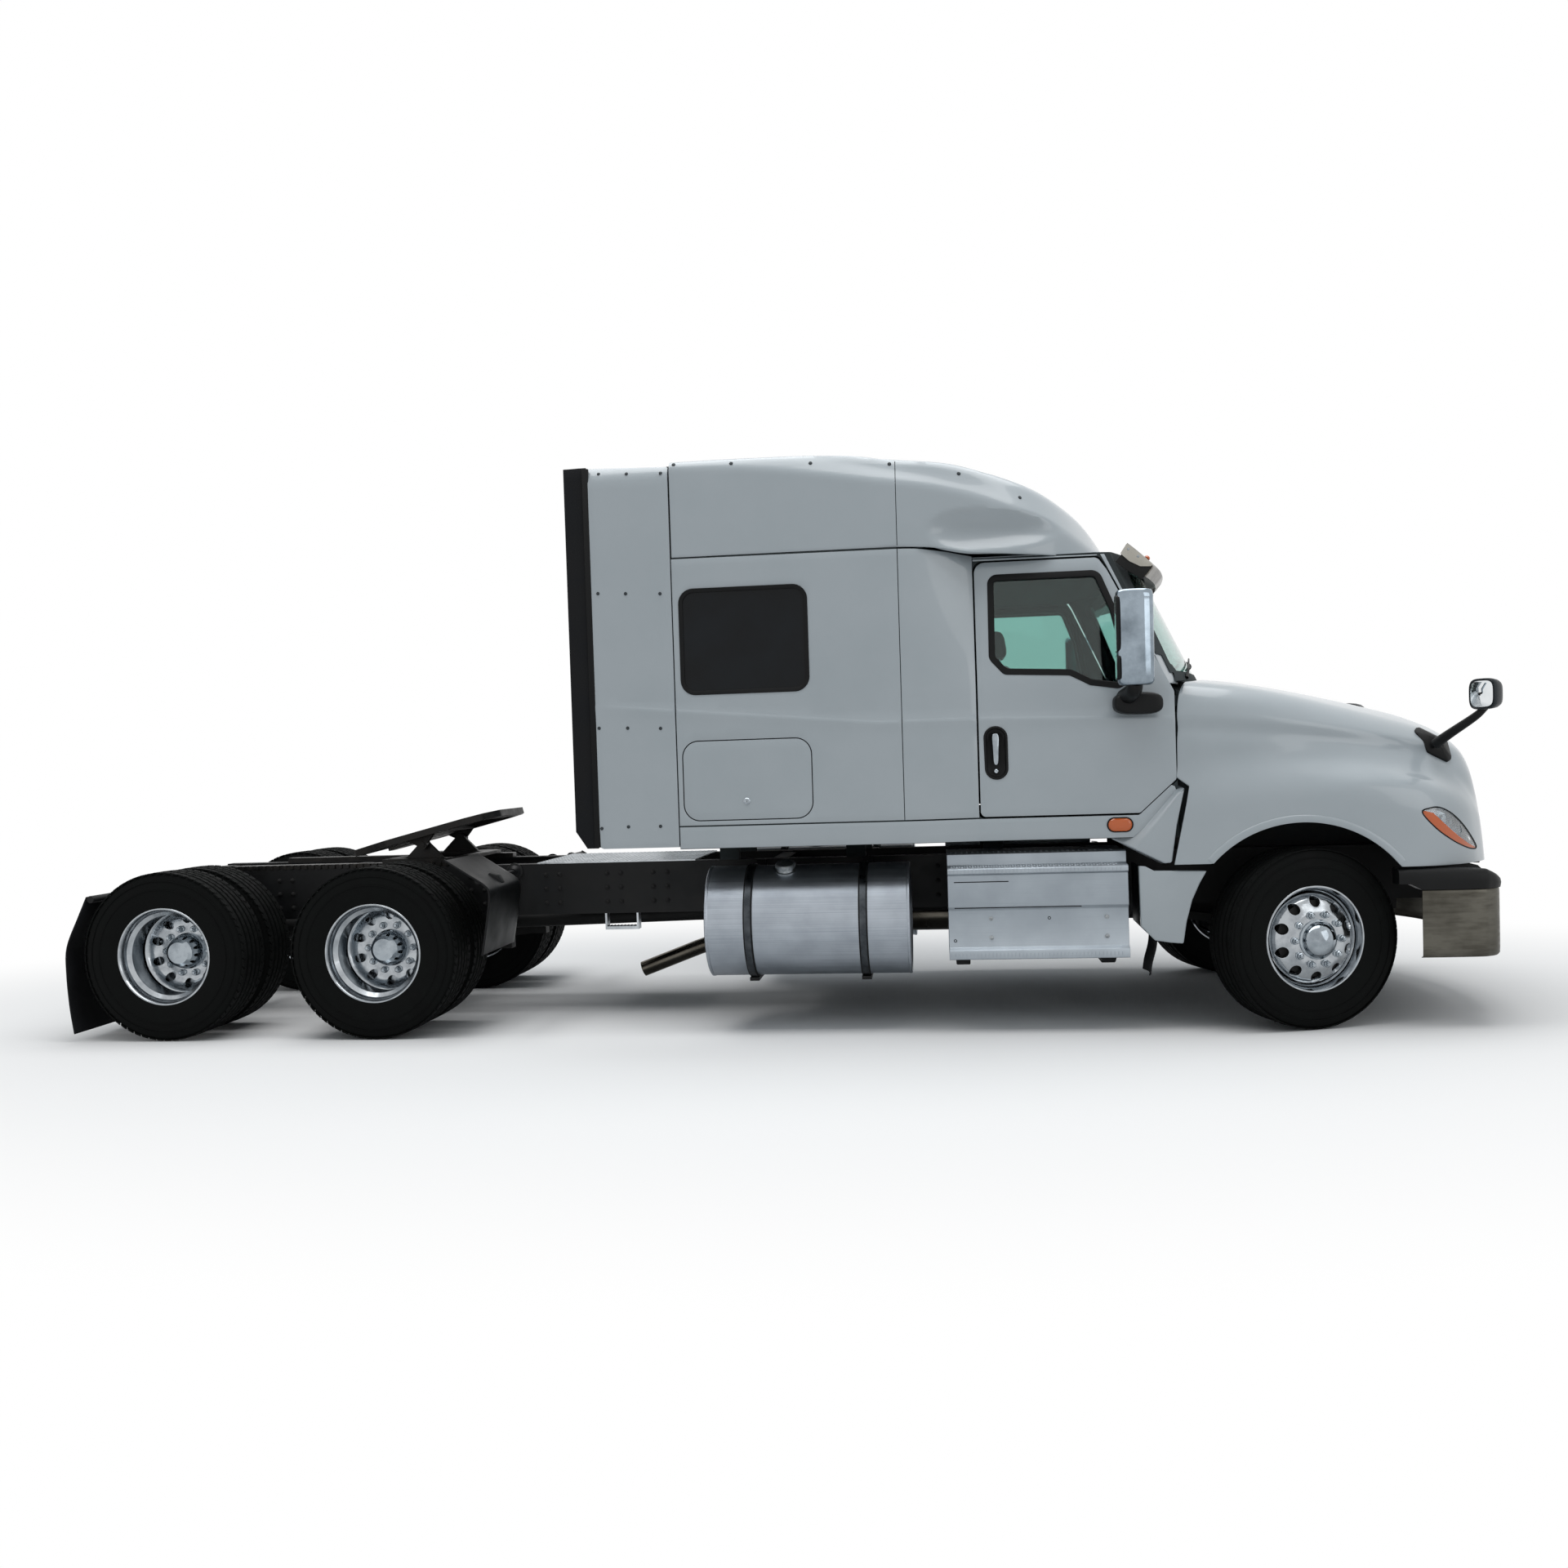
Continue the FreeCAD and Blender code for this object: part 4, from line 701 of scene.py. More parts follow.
def discSheet(centre, axis, heights, holeCount, holeRadius, holeCircle, inner, outer):
    # a dished disc with round hand holes: rings of points between the hub and the rim, pulled clear of the holes
    axis, side, up = acrossOf(axis)
    c = Vector(centre)
    ring = lambda radius, n: [p[:2] for p in ringOf(radius, 0, n)]
    surface = lambda a, b: tuple(c + axis * steady(heights, math.hypot(a, b)) + side * a + up * b)
    holes = [ring(inner, 40)]
    for k in range(holeCount):
        t = 2 * math.pi * (k + 0.5) / holeCount
        holes.append([(x + holeCircle * math.cos(t), y + holeCircle * math.sin(t)) for x, y in ring(holeRadius, 20)])
    return filled(ring(outer, 120), holes, surface, 0.014)


def nutShape(across, height, stud):
    # a hexagon nut with a flange, its stud's end showing
    corner = across / 2 / math.cos(math.pi / 6)
    hexagon = [(corner * math.cos(k * math.pi / 3), corner * math.sin(k * math.pi / 3)) for k in range(6)]
    ring = lambda radius, z: ringOf(radius, z, 12)
    flange = capped([ring(across * 0.66, 0), ring(across * 0.66, height * 0.12), ring(across * 0.52, height * 0.24)])
    body = capped([[(x * f, y * f, z) for x, y in hexagon] for z, f in
                   ((height * 0.2, 1), (height * 0.86, 1), (height, 0.82))])
    end = capped([ring(stud, 0), ring(stud, height * 1.3), ring(stud * 0.8, height * 1.4)])
    return joined([flange, body, end])


def addWheelFace(name, centre, axis, dished, body):
    # disc, nuts and hub cover; axis points out of the vehicle; dished is True where the disc stands far in
    s = wheelSet
    axis, side, up = acrossOf(axis)
    c = Vector(centre)
    discRadius = s["bead"] - 0.038
    if dished:
        heights = [(0.0, -0.15), (0.165, -0.15), (0.19, -0.146), (0.215, -0.128), (0.245, -0.088), (0.3, -0.07)]
    else:
        heights = [(0.0, 0.148), (0.158, 0.148), (0.168, 0.143), (0.225, 0.118), (0.236, 0.105), (0.246, 0.078),
                   (0.3, 0.06)]
    disc = discSheet(c, axis, heights, s["handHoles"], s["handHole"][dished], s["handCircle"][dished], 0.105,
                     discRadius)
    piece(name + "Disc", *disc, body, *wheelPolish, outwards=axis, wall=0.022, bevel=0.004,
          segments=3, sharp=40)
    face = heights[0][1]
    places = []
    for k in range(10):
        a = 2 * math.pi * k / 10
        out = side * math.cos(a) + up * math.sin(a)
        places.append((tuple(c + axis * face + out * s["nutCircle"]), tuple(axis), tuple(out)))
    repeated(name + "Nuts", places, nutShape(0.033, 0.026, 0.011), body, *wheelChrome, spread=0.5)
    if dished:
        cover = [(face - 0.02, 0.112), (face + 0.012, 0.112), (face + 0.016, 0.106), (face + 0.03, 0.103),
                 (face + 0.07, 0.098), (face + 0.105, 0.084), (face + 0.118, 0.066), (face + 0.121, 0.0)]
    else:
        cover = [(face - 0.02, 0.11), (face + 0.006, 0.11), (face + 0.011, 0.1), (face + 0.028, 0.095),
                 (face + 0.045, 0.088), (face + 0.06, 0.07), (face + 0.074, 0.04), (face + 0.082, 0.0)]
    piece(name + "Cover", *lathe(cover, c, axis, 64, closed=False), body, *wheelChrome, sharp=30)


def addHub(name, centre, axis, low, high, body):
    # brake drum and hub behind the disc
    profile = [(low, 0.045), (low, 0.205), (low + 0.012, 0.212), (high - 0.03, 0.212), (high - 0.02, 0.16),
               (high, 0.125), (high, 0.045)]
    piece(name, *lathe(profile, centre, axis, 72), body, "cast_axle", castBlack, sharp=30)


def addWheels():
    s = wheelSet
    turn = math.radians(s["steer"])
    for side, k in sides.items():
        axis = Vector((-math.sin(turn) * k, math.cos(turn) * k, 0))
        kingpin = Vector((0, s["kingpinY"] * k, s["frontRadius"]))
        centre = kingpin + axis * (s["frontY"] - s["kingpinY"])
        body = "front_wheel_" + side
        name = "frontWheel" + side.capitalize()
        piece(name + "Rim", *lathe(rimProfile(), centre, axis, 96), body, *wheelPolish,
              sharp=30, replaced=("front_wheel_" + side,))
        addWheelFace(name, centre, axis, False, body)
        addHub(name + "Hub", centre, axis, -0.03, 0.126, body)
        addTyre("frontTyre" + side.capitalize(), centre, axis, s["frontRadius"], s["tyreHalf"], body,
                "front_tyre_" + side, False)
        for x, place in zip(rearAxles, ("forward", "rearward")):
            body = "drive_wheels_%s_%s" % (place, side)
            title = "driveWheel" + place.capitalize() + side.capitalize()
            axis = Vector((0, k, 0))
            for label, y in (("Outer", s["outerY"]), ("Inner", s["innerY"])):
                centre = Vector((x, y * k, s["driveRadius"]))
                tyreNode = "drive_tyres_%s_%s" % (place, side)
                node = body if label == "Outer" else tyreNode
                piece(title + label + "Rim", *lathe(rimProfile(), centre, axis, 96), body, *wheelPolish, sharp=30,
                      replaced=(node,))
                addTyre(title.replace("Wheel", "Tyre") + label, centre, axis, s["driveRadius"], s["tyreHalf"], body,
                        tyreNode, True)
            addWheelFace(title, (x, s["outerY"] * k, s["driveRadius"]), axis, True, body)
            inward = (x, s["innerY"] * k, s["driveRadius"])
            addHub(title + "Drum", inward, axis, -0.09, 0.155, body)
            plate = [(0.158, 0.05), (0.158, 0.24), (0.168, 0.244), (0.15, 0.247), (0.12, 0.252), (0.12, 0.242),
                     (0.146, 0.228), (0.146, 0.05)]
            piece(title + "InnerDisc", *lathe(plate, inward, axis, 72), body, *wheelPolish,
                  sharp=30)


addWheels()
print("wheels ready")


# smooth shells: the skin of a solid given as a signed distance, found along rays from a spine
def rounder(a, b, soft):
    # the larger of two distances, its crease rounded
    h = np.clip(0.5 + 0.5 * (a - b) / soft, 0, 1)
    return b + (a - b) * h + soft * h * (1 - h)


def softly(a, b, soft):
    # the smaller of two distances, its corner filled
    return -rounder(-a, -b, soft)


def curve(*points):
    # a smooth function through (place, value) points
    line = np.array(smoothPath([(float(a), float(b)) for a, b in points], 12))
    return lambda x: np.interp(x, line[:, 0], line[:, 1])


def slope(function, x):
    step = 0.01
    return (function(x + step) - function(x - step)) / (2 * step)


def cast(solid, x, azimuth, tilt, height):
    # where rays from the spine at (x, 0, height) leave the solid, halving in on it
    ahead, aside, up = np.cos(azimuth) * np.cos(tilt), np.sin(azimuth) * np.cos(tilt), np.sin(tilt)
    near, far = np.zeros(tilt.shape), np.full(tilt.shape, 2.2)      # no ray is longer
    for _ in range(34):
        r = (near + far) / 2
        out = solid(x + ahead * r, aside * r, height + up * r) > 0
        far, near = np.where(out, r, far), np.where(out, near, r)
    return x + ahead * far, aside * far, height + up * far


def shellGrid(solid, edge, turnX, height, low, straight, fan, rows, lowest=-35.0):
    # half the skin (left side): columns run from the rear edge to turnX, then fan round the nose
    fine = np.radians(np.linspace(lowest, 90, 500))
    rear = np.full(fine.shape, float(edge(np.array(1.1), np.array(1.6))))
    for _ in range(5):
        _, y, z = cast(solid, rear, np.full(fine.shape, math.pi / 2), fine, height)
        rear = edge(y, z)
    share = np.concatenate([np.linspace(0, 1, straight + 1)[:-1], np.ones(fan + 1)])[:, None]
    azimuth = np.concatenate([np.full(straight, 90.0), np.linspace(90, 0, fan + 1)])[:, None] * math.pi / 180
    tilt = np.broadcast_to(fine, (len(share), len(fine)))
    x, y, z = cast(solid, rear * (1 - share) + turnX * share, np.broadcast_to(azimuth, tilt.shape), tilt, height)
    over = z - low(x)
    start = []
    for row in over:
        under = np.nonzero(row < 0)[0]
        i = under[-1] if len(under) else 0
        t = -row[i] / (row[i + 1] - row[i]) if len(under) else 0.0
        start.append(fine[i] + (fine[i + 1] - fine[i]) * t)
    start = np.array(start)[:, None]
    tilt = start + (math.pi / 2 - start) * np.linspace(0, 1, rows + 1)[None, :]
    base = np.interp(tilt, fine, rear) * (1 - share) + turnX * share
    return cast(solid, base, np.broadcast_to(azimuth, tilt.shape), tilt, height)


def shellMesh(grid):
    # both sides of a half skin, joined along the middle
    x, y, z = grid
    y = y.copy()
    y[:, -1] = 0.0
    left = [[(x[i, j], y[i, j], z[i, j]) for j in range(x.shape[1])] for i in range(x.shape[0])]
    right = [[(a, -b, c) for a, b, c in row] for row in left]
    return sheetOf(left + right[::-1][1:])


roofShape = {
    "wall": 0.022, "joint": -2.17, "rear": -3.457, "crown": 0.072, "crownHalf": 1.07,
    "rake": 0.12, "rakeFrom": 2.7,                     # how far the front leans back, and from what height up
    # hollow ahead of each side: its middle, its reach up, rearwards and forwards, its depth and its falling off
    "scoop": {"x": -1.76, "z": 2.838, "up": 0.118, "rear": 0.24, "front": 0.52, "depth": 0.115, "power": 1.35},
    "soft": {"side": 0.012, "chamfer": 0.016, "top": 0.04},
}
roofTop = curve((-3.9, 3.394), (-2.9, 3.398), (-2.5, 3.386), (-2.34, 3.368), (-2.2, 3.346), (-1.9, 3.312),
                (-1.65, 3.243), (-1.4, 3.15), (-1.2, 3.037), (-1.05, 2.93), (-0.94, 2.825), (-0.86, 2.715),
                (-0.8, 2.58), (-0.76, 2.4))
roofPlan = curve((0, -0.83), (0.3, -0.865), (0.6, -0.955), (0.8, -1.06), (0.96, -1.19), (1.07, -1.345), (1.14, -1.555),
                 (1.185, -1.9), (1.212, -2.3), (1.25, -3.2), (1.4, -6.5))
roofRidge = curve((-3.9, 3.235), (-3.2, 3.234), (-2.75, 3.205), (-2.34, 3.152), (-1.93, 3.088), (-1.47, 2.945),
                  (-1.1, 2.77), (-0.9, 2.66))
roofChamfer = curve((-3.9, 1.2), (-3.1, 1.12), (-2.4, 0.82), (-1.9, 0.64), (-1.4, 0.58), (-0.8, 0.55))
roofLow = curve((-3.9, 2.76), (-2.5, 2.76), (-2.06, 2.757), (-1.9, 2.742), (-1.74, 2.716), (-1.5, 2.702),
                (-1.2, 2.694), (-0.85, 2.692), (0, 2.69))


def roofSolid(x, y, z):
    r, s = roofShape, roofShape["scoop"]
    a = np.abs(y)
    plan = (x + r["rake"] * (z - r["rakeFrom"]) - roofPlan(a)) / np.sqrt(1 + slope(roofPlan, a) ** 2)
    along, up = (x - s["x"]) / np.where(x < s["x"], s["rear"], s["front"]), (z - s["z"]) / s["up"]
    spot = np.clip(1 - along ** 2 - up ** 2, 0, 1)
    lean = 0.75 + 0.25 * np.clip(up, -1, 1)
    plan = plan + s["depth"] * lean * spot ** s["power"]
    side = rounder(plan, a - sleeperHalf, r["soft"]["side"])
    k = roofChamfer(x)
    chamfer = (plan + k * (z - roofRidge(x))) / np.sqrt(1 + k * k)
    top = (z - roofTop(x) + r["crown"] * (a / r["crownHalf"]) ** 2) / np.sqrt(1 + slope(roofTop, x) ** 2)
    return rounder(rounder(side, chamfer, r["soft"]["chamfer"]), top, r["soft"]["top"])


hoodShape = {
    "wall": 0.014, "arch": 0.65, "archZ": 0.505, "rearLow": 0.938, "frontLow": 0.897,
    "tuck": 0.03, "groove": {"depth": 0.012, "below": 0.06, "width": 0.045},
    "fender": {"half": 1.194, "fall": 0.5, "inner": 0.88, "outer": 1.1},
    "soft": {"crease": 0.007, "crown": 0.13, "nose": 0.09},
}
hoodCrown = curve((-0.8, 2.036), (-0.34, 2.0), (-0.1, 1.966), (0.11, 1.926), (0.35, 1.872), (0.55, 1.822),
                  (0.78, 1.757), (0.98, 1.672), (1.15, 1.572), (1.32, 1.47))
hoodDrop = curve((-0.8, 0.052), (-0.1, 0.09), (0.5, 0.16), (0.95, 0.23), (1.35, 0.3))
creaseHalf = curve((-0.8, 1.14), (-0.5, 1.128), (-0.1, 1.088), (0.25, 1.015), (0.6, 0.925), (0.95, 0.83), (1.3, 0.72))
hoodCrease = curve((-0.8, 1.766), (-0.4, 1.738), (0.07, 1.688), (0.4, 1.638), (0.68, 1.588), (0.95, 1.53), (1.3, 1.44))
leanAbove = curve((-0.8, 0.16), (-0.3, 0.24), (0.3, 0.42), (0.8, 0.6), (1.3, 0.7))
fenderTop = curve((-0.8, 1.36), (-0.5, 1.41), (-0.2, 1.445), (0.1, 1.455), (0.4, 1.425), (0.65, 1.355), (0.85, 1.26),
                  (1.0, 1.16), (1.2, 0.98))
nosePlan = curve((0, 1.232), (0.38, 1.2), (0.76, 1.108), (0.92, 1.02), (1.02, 0.93), (1.1, 0.82), (1.16, 0.7),
                 (1.197, 0.55), (1.23, 0.3), (1.3, -0.4))
noseLean = curve((0.6, 1.235), (0.85, 1.23), (1.1, 1.209), (1.3, 1.18), (1.48, 1.137), (1.62, 1.07), (1.8, 0.93),
                 (2.2, 0.5))


def hoodSolid(x, y, z):
    h, f, g, soft = hoodShape, hoodShape["fender"], hoodShape["groove"], hoodShape["soft"]
    a = np.abs(y)
    rise = z - hoodCrease(x)
    groove = g["depth"] * np.exp(-((rise + g["below"]) / g["width"]) ** 2)
    below = a - creaseHalf(x) + h["tuck"] * rise + groove
    above = a - creaseHalf(x) + leanAbove(x) * rise
    side = rounder(below, above, soft["crease"])
    drop = hoodDrop(x)
    top = (z - hoodCrown(x) + drop * a ** 2) / np.sqrt(1 + slope(hoodCrown, x) ** 2 + (2 * drop * a) ** 2)
    body = rounder(side, top, soft["crown"])
    roofing = (z - fenderTop(x) + f["fall"] * (np.maximum(a, f["inner"]) - f["outer"])) / 1.12
    fender = rounder(a - f["half"], roofing, soft["crown"])
    whole = softly(body, fender, soft["crown"])
    front = (x - nosePlan(a) + nosePlan(np.zeros(1))[0] - noseLean(z)) / np.sqrt(1 + slope(nosePlan, a) ** 2)
    return rounder(whole, front, soft["nose"])


def hoodLow(x):
    h = hoodShape
    arch = h["archZ"] + np.sqrt(np.clip(h["arch"] ** 2 - x ** 2, 0, None))
    return np.where(x < 0, np.maximum(arch, h["rearLow"]), np.maximum(arch, h["frontLow"]))


def hoodRear(y, z):
    # the rear edge: leaning low down, upright beside the door, then a curve round the windshield's foot
    h = {"foot": -0.692, "lean": 0.2166, "step": 1.372, "blend": 0.05, "front": -0.322, "bow": 0.32, "half": 1.123}
    low = h["foot"] + (z - hoodShape["rearLow"]) * h["lean"]
    high = h["front"] - h["bow"] * (np.abs(y) / h["half"]) ** 2
    t = np.clip((z - h["step"]) / h["blend"], 0, 1)
    return np.where(z < h["step"], low, low * (1 - t) + np.minimum(high, h["front"]) * t)


def cutBy(obj, shape):
    # a solid taken out of obj
    tool = placed("tool", *shape)
    tidyMesh(tool, None)
    modify(obj, "BOOLEAN", operation="DIFFERENCE", solver="EXACT", object=tool)
    bake(obj)
    bpy.data.objects.remove(tool)


def shellPiece(name, grid, wall, material):
    obj = placed(name, *shellMesh(grid))
    tidyMesh(obj, (0, 0, 1), 0.0004)
    obj.data.materials.append(material)
    modify(obj, "SOLIDIFY", thickness=wall, offset=-1)
    bake(obj)
    return obj


def addRoof():
    r = roofShape
    edge = lambda y, z: np.full(np.shape(z), r["rear"])
    grid = shellGrid(roofSolid, edge, -1.25, 2.72, roofLow, 84, 44, 96, -20.0)
    obj = shellPiece("roofCap", grid, r["wall"], paint)
    roundEdges(obj, 0.004)
    settle(obj, "chassis", "cab_paint", 34, ("roof_cap",))
    # rear wall that closes the cap
    across = np.linspace(-1.19, 1.19, 81)
    under = lambda y: bisect(lambda z: roofSolid(np.array(-3.45), np.array(y), np.array(z)) > -0.012, 2.75, 3.6, 24)
    rows = [[(-3.4555, y, 2.752) for y in across], [(-3.4555, y, under(y)) for y in across]]
    piece("roofBack", *sheetOf(rows), "chassis", *white, outwards=(-1, 0, 0), wall=0.003)
    # sealed joint in the cap's side, in line with the sleeper's
    for side, s in sides.items():
        rows = []
        for z in np.linspace(2.768, 3.31, 28):
            at, out = onSolid(roofSolid, roofShape["joint"], 0.9, z, s)
            rows.append([tuple(Vector(at) + Vector(out) * h + Vector((dx, 0, 0)))
                         for dx, h in ((-0.002, -0.003), (-0.002, 0.0005), (0.002, 0.0005), (0.002, -0.003))])
        piece("roofSeam" + side.capitalize(), *capped(rows), "chassis", "black_rubber", seam)
    places = [onSolid(roofSolid, x, 0.9, z, s) for x, z in ((-3.428, 3.29), (-3.096, 3.279), (-2.645, 3.258),
              (-2.201, 3.235), (-1.814, 3.165), (-1.474, 3.025)) for s in (-1, 1)]
    repeated("roofScrews", places, screwHead(0.011, 0.005), "chassis", *screws)


def onSolid(solid, x, y, z, s):
    # the solid's surface at (x, z) on one side, with the way out there
    near = bisect(lambda y: solid(np.array(x), np.array(y), np.array(z)) > 0, y, 1.3, 30)
    d = 0.004
    rise = []
    for i in range(3):
        ahead, behind = ([np.array(c + (h if k == i else 0)) for k, c in enumerate((x, near, z))] for h in (d, -d))
        rise.append(float(solid(*ahead) - solid(*behind)))
    return (x, s * near, z), tuple(Vector((rise[0], s * rise[1], rise[2])).normalized())


def screwHead(radius, height):
    # a low round head with a washer
    return capped([ringOf(radius * f, z, 14) for f, z in
                   ((1, -0.002), (1, height * 0.3), (0.72, height * 0.42), (0.66, height * 0.85), (0.35, height))])


lampOutline = [p[:2] for p in smoothPath([(x, z, 0.0) for x, z in (
    (0.636, 1.188), (0.68, 1.211), (0.738, 1.213), (0.806, 1.183), (0.873, 1.13), (0.938, 1.06), (0.993, 0.982),
    (0.952, 0.974), (0.88, 0.997), (0.8, 1.038), (0.712, 1.101))], 5, True)]


def hoodSkinAt(x, z):
    # half width of the hood's skin there
    return bisect(lambda y: hoodSolid(np.array(x), np.array(y), np.array(z)) > 0, 0.5, 1.3, 24)


def addHood():
    h = hoodShape
    grid = shellGrid(hoodSolid, hoodRear, 0.56, 1.02, hoodLow, 66, 56, 110)
    obj = shellPiece("hoodShell", grid, h["wall"], paint)
    for s in (-1, 1):
        cutBy(obj, prism(lampOutline, *sorted((s * 0.6, s * 1.3))))
    mouth = roundCorners([(-0.56, 0.84), (0.56, 0.84), (0.56, 1.3), (0.5, 1.41), (-0.5, 1.41), (-0.56, 1.3)], 0.05)
    cutBy(obj, prism(mouth, 0.95, 1.4, "yz"))
    roundEdges(obj, 0.003, 2, 50)
    settle(obj, "hood", "cab_paint", 34, ("hood",))
    # lip round each wheel arch, standing a little proud
    for side, s in sides.items():
        rows = []
        for t in np.linspace(math.radians(38.5), math.radians(138.0), 70):
            ring = []
            for r, out in ((-0.001, -0.006), (-0.001, 0.003), (0.004, 0.0055), (0.03, 0.0055), (0.037, 0.003),
                           (0.041, -0.002), (0.03, -0.006)):
                x, z = (h["arch"] + r) * math.cos(t), h["archZ"] + (h["arch"] + r) * math.sin(t)
                ring.append((x, s * (hoodSkinAt(x, max(z, 0.945)) + out), z))
            rows.append(ring)
        piece("archLip" + side.capitalize(), *capped(rows), "hood", *white, sharp=40)


addRoof()
addHood()
print("shells ready")


# cab and sleeper panels
cabShape = {
    "side": ((0.8, 1.1692), (1.09, 1.16), (1.9, 1.1344), (1.975, 1.1315), (2.05, 1.1215), (2.7, 1.03), (3.4, 0.93)),
    "joint": -2.17, "flare": -1.752, "lift": 0.003, "sheet": 0.0026, "seam": 0.0045, "sill": 1.219,
    "top": ((-3.6, 2.756), (-2.06, 2.752), (-1.9, 2.737), (-1.7, 2.708), (-1.5, 2.693), (-0.8, 2.688)),
    "belt": ((-4.0, 1.935), (-2.306, 1.779), (-1.734, 1.783), (-0.6, 1.752)),
    "crease": {"height": 0.006, "below": -0.07, "above": 0.014, "fade": (-4.0, -3.6)}, "tuck": 0.012,
    "fold": {"x": -3.45, "z": 3.236, "slope": 0.62},
}
doorOutline = [(-1.742, 1.228), (-0.864, 1.228), (-0.661, 1.412), (-0.661, 1.9), (-0.7007, 1.975), (-1.0013, 2.6),
               (-1.0505, 2.672), (-1.742, 2.672)]
doorRadii = [0.03, 0.025, 0.025, 0.06, 0, 0.06, 0.04, 0.06]
windowOutline = [(-1.668, 2.12), (-1.59, 2.032), (-1.227, 2.014), (-1.116, 1.954), (-0.96, 1.93), (-0.88, 1.975),
                 (-0.965, 2.378), (-1.05, 2.595), (-1.663, 2.595)]
windowRadii = [0.06, 0.04, 0.06, 0.05, 0.04, 0.03, 0.06, 0.06, 0.05]
lidOutline = [(-3.427, 1.254), (-2.689, 1.254), (-2.689, 1.706), (-3.427, 1.706)]
bunkOutline = [(-3.42, 1.977), (-2.69, 1.977), (-2.69, 2.574), (-3.42, 2.574)]


def grown(loop, d):
    # a closed flat outline pushed out by d, or in where d is negative
    pts = [Vector(p) for p in loop]
    n = len(pts)
    area = sum(pts[i - 1].x * pts[i].y - pts[i].x * pts[i - 1].y for i in range(n))
    k = d if area > 0 else -d
    out = []
    for i in range(n):
        a, b = (pts[i] - pts[i - 1]).normalized(), (pts[(i + 1) % n] - pts[i]).normalized()
        na, nb = Vector((a.y, -a.x)), Vector((b.y, -b.x))
        mid = (na + nb).normalized()
        out.append(tuple(pts[i] + mid * k / max(0.5, mid.dot(na))))
    return out


def sideY(x, z):
    # half width of the cab's side, with the belt crease, the tucked sill and the extender's folds
    c = cabShape
    crease, fold = c["crease"], c["fold"]
    share = max(0.0, min(1.0, (x - c["joint"]) / (c["flare"] - c["joint"])))
    y = sleeperHalf + (steady(c["side"], z) - sleeperHalf) * share ** 1.5
    d = z - steady(c["belt"], x)
    y += (crease["height"] * blendTo(crease["below"], 0.0, d) * (1 - blendTo(0.0, crease["above"], d))
          * blendTo(*crease["fade"], x))
    y -= c["tuck"] * max(0.0, c["sill"] - z)
    if x < fold["x"]:
        y -= fold["slope"] * max(0.0, z - fold["z"])
    return y


def onSide(s, lift=0.0):
    # a point of the side surface, lifted off it
    return lambda x, z: (x, s * (sideY(x, z) + lift), z)


def flatSide(s, lift=0.0):
    # a point of the sleeper's flat side, h off it
    return lambda x, z, h: (x, s * (sleeperHalf + lift + h), z)


def beltLines(low, high):
    # points along the belt crease, so that the skin's triangles follow it
    n = max(2, int((high - low) / 0.03))
    places = [low + (high - low) * k / n for k in range(n + 1)]
    return [(x, steady(cabShape["belt"], x) + d) for d in (-0.07, -0.035, -0.012, 0.0, 0.007, 0.014) for x in places]


def band(outline, section, surface):
    # a closed strip along an outline; section is (outwards from the outline, height) points, in order round it
    loops = [(grown(outline, d), h) for d, h in section]
    rows = [[surface(*loop[i], h) for loop, h in loops] for i in range(len(outline))]
    return sheetOf(rows, closeRows=True, closeColumns=True)


def skin(name, outline, holes, s, extra=()):
    # a painted sheet of the cab's side
    shape = filled(outline, holes, onSide(s, cabShape["lift"]), 0.045, extra)
    piece(name, *shape, "chassis", *white, outwards=(0, s, 0), wall=cabShape["sheet"], bevel=0.0012, sharp=34)


def topAt(x):
    return steady(cabShape["top"], x) - 0.0045


def addSides(s, label):
    c = cabShape
    g = c["seam"]
    bunk = roundCorners(bunkOutline, 0.08, 8)
    lid = grown(roundCorners(lidOutline, 0.09, 8), 0.0055)
    low = c["sill"] + g * 1.3
    x0, x1, x2 = -3.461 + g / 2, c["joint"], c["flare"]
    rear, front = x1 - g / 2, x1 + g / 2
    skin("sleeperSide" + label, [(x0, low), (rear, low), (rear, topAt(x1)), (x0, topAt(x0))], [bunk, lid], s,
         beltLines(-3.45, -2.19))
    skin("flarePanel" + label, [(front, low), (x2, low), (x2, topAt(x2)), (-1.9, topAt(-1.9)), (-2.06, topAt(-2.06)),
                                (front, topAt(x1))], [], s, beltLines(-2.16, -1.76))
    skin("sillPanel" + label, [(x0, 1.093), (-0.905, 1.093), (-0.842, 1.147), (-0.666, 1.347), (-0.672, 1.37),
                               (-0.6905, 1.3785), (-0.8606, 1.2243), (-0.872, 1.2165), (x0, 1.2165)], [], s)
    skin("doorHeader" + label, [(x2 + 0.004, 2.6835), (-1.052, 2.6835), (-1.052, 2.69), (x2 + 0.004, 2.695)], [], s)
    # bunk window: a dark pane in a black seal
    pane = filled(grown(bunk, -0.004), [], lambda x, z: (x, s * (sleeperHalf - 0.004), z), 0.08)
    piece("bunkGlass" + label, *pane, "chassis", "glass", darkGlass, outwards=(0, s, 0), wall=0.005,
          replaced=("fixed_glass",))
    section = [(-0.018, -0.012), (-0.018, 0.001), (-0.014, 0.0035), (0.004, 0.0045), (0.0055, 0.003), (0.0055, -0.004),
               (-0.004, -0.012)]
    piece("bunkSeal" + label, *band(bunk, section, flatSide(s, 0.002)), "chassis", *rubber)


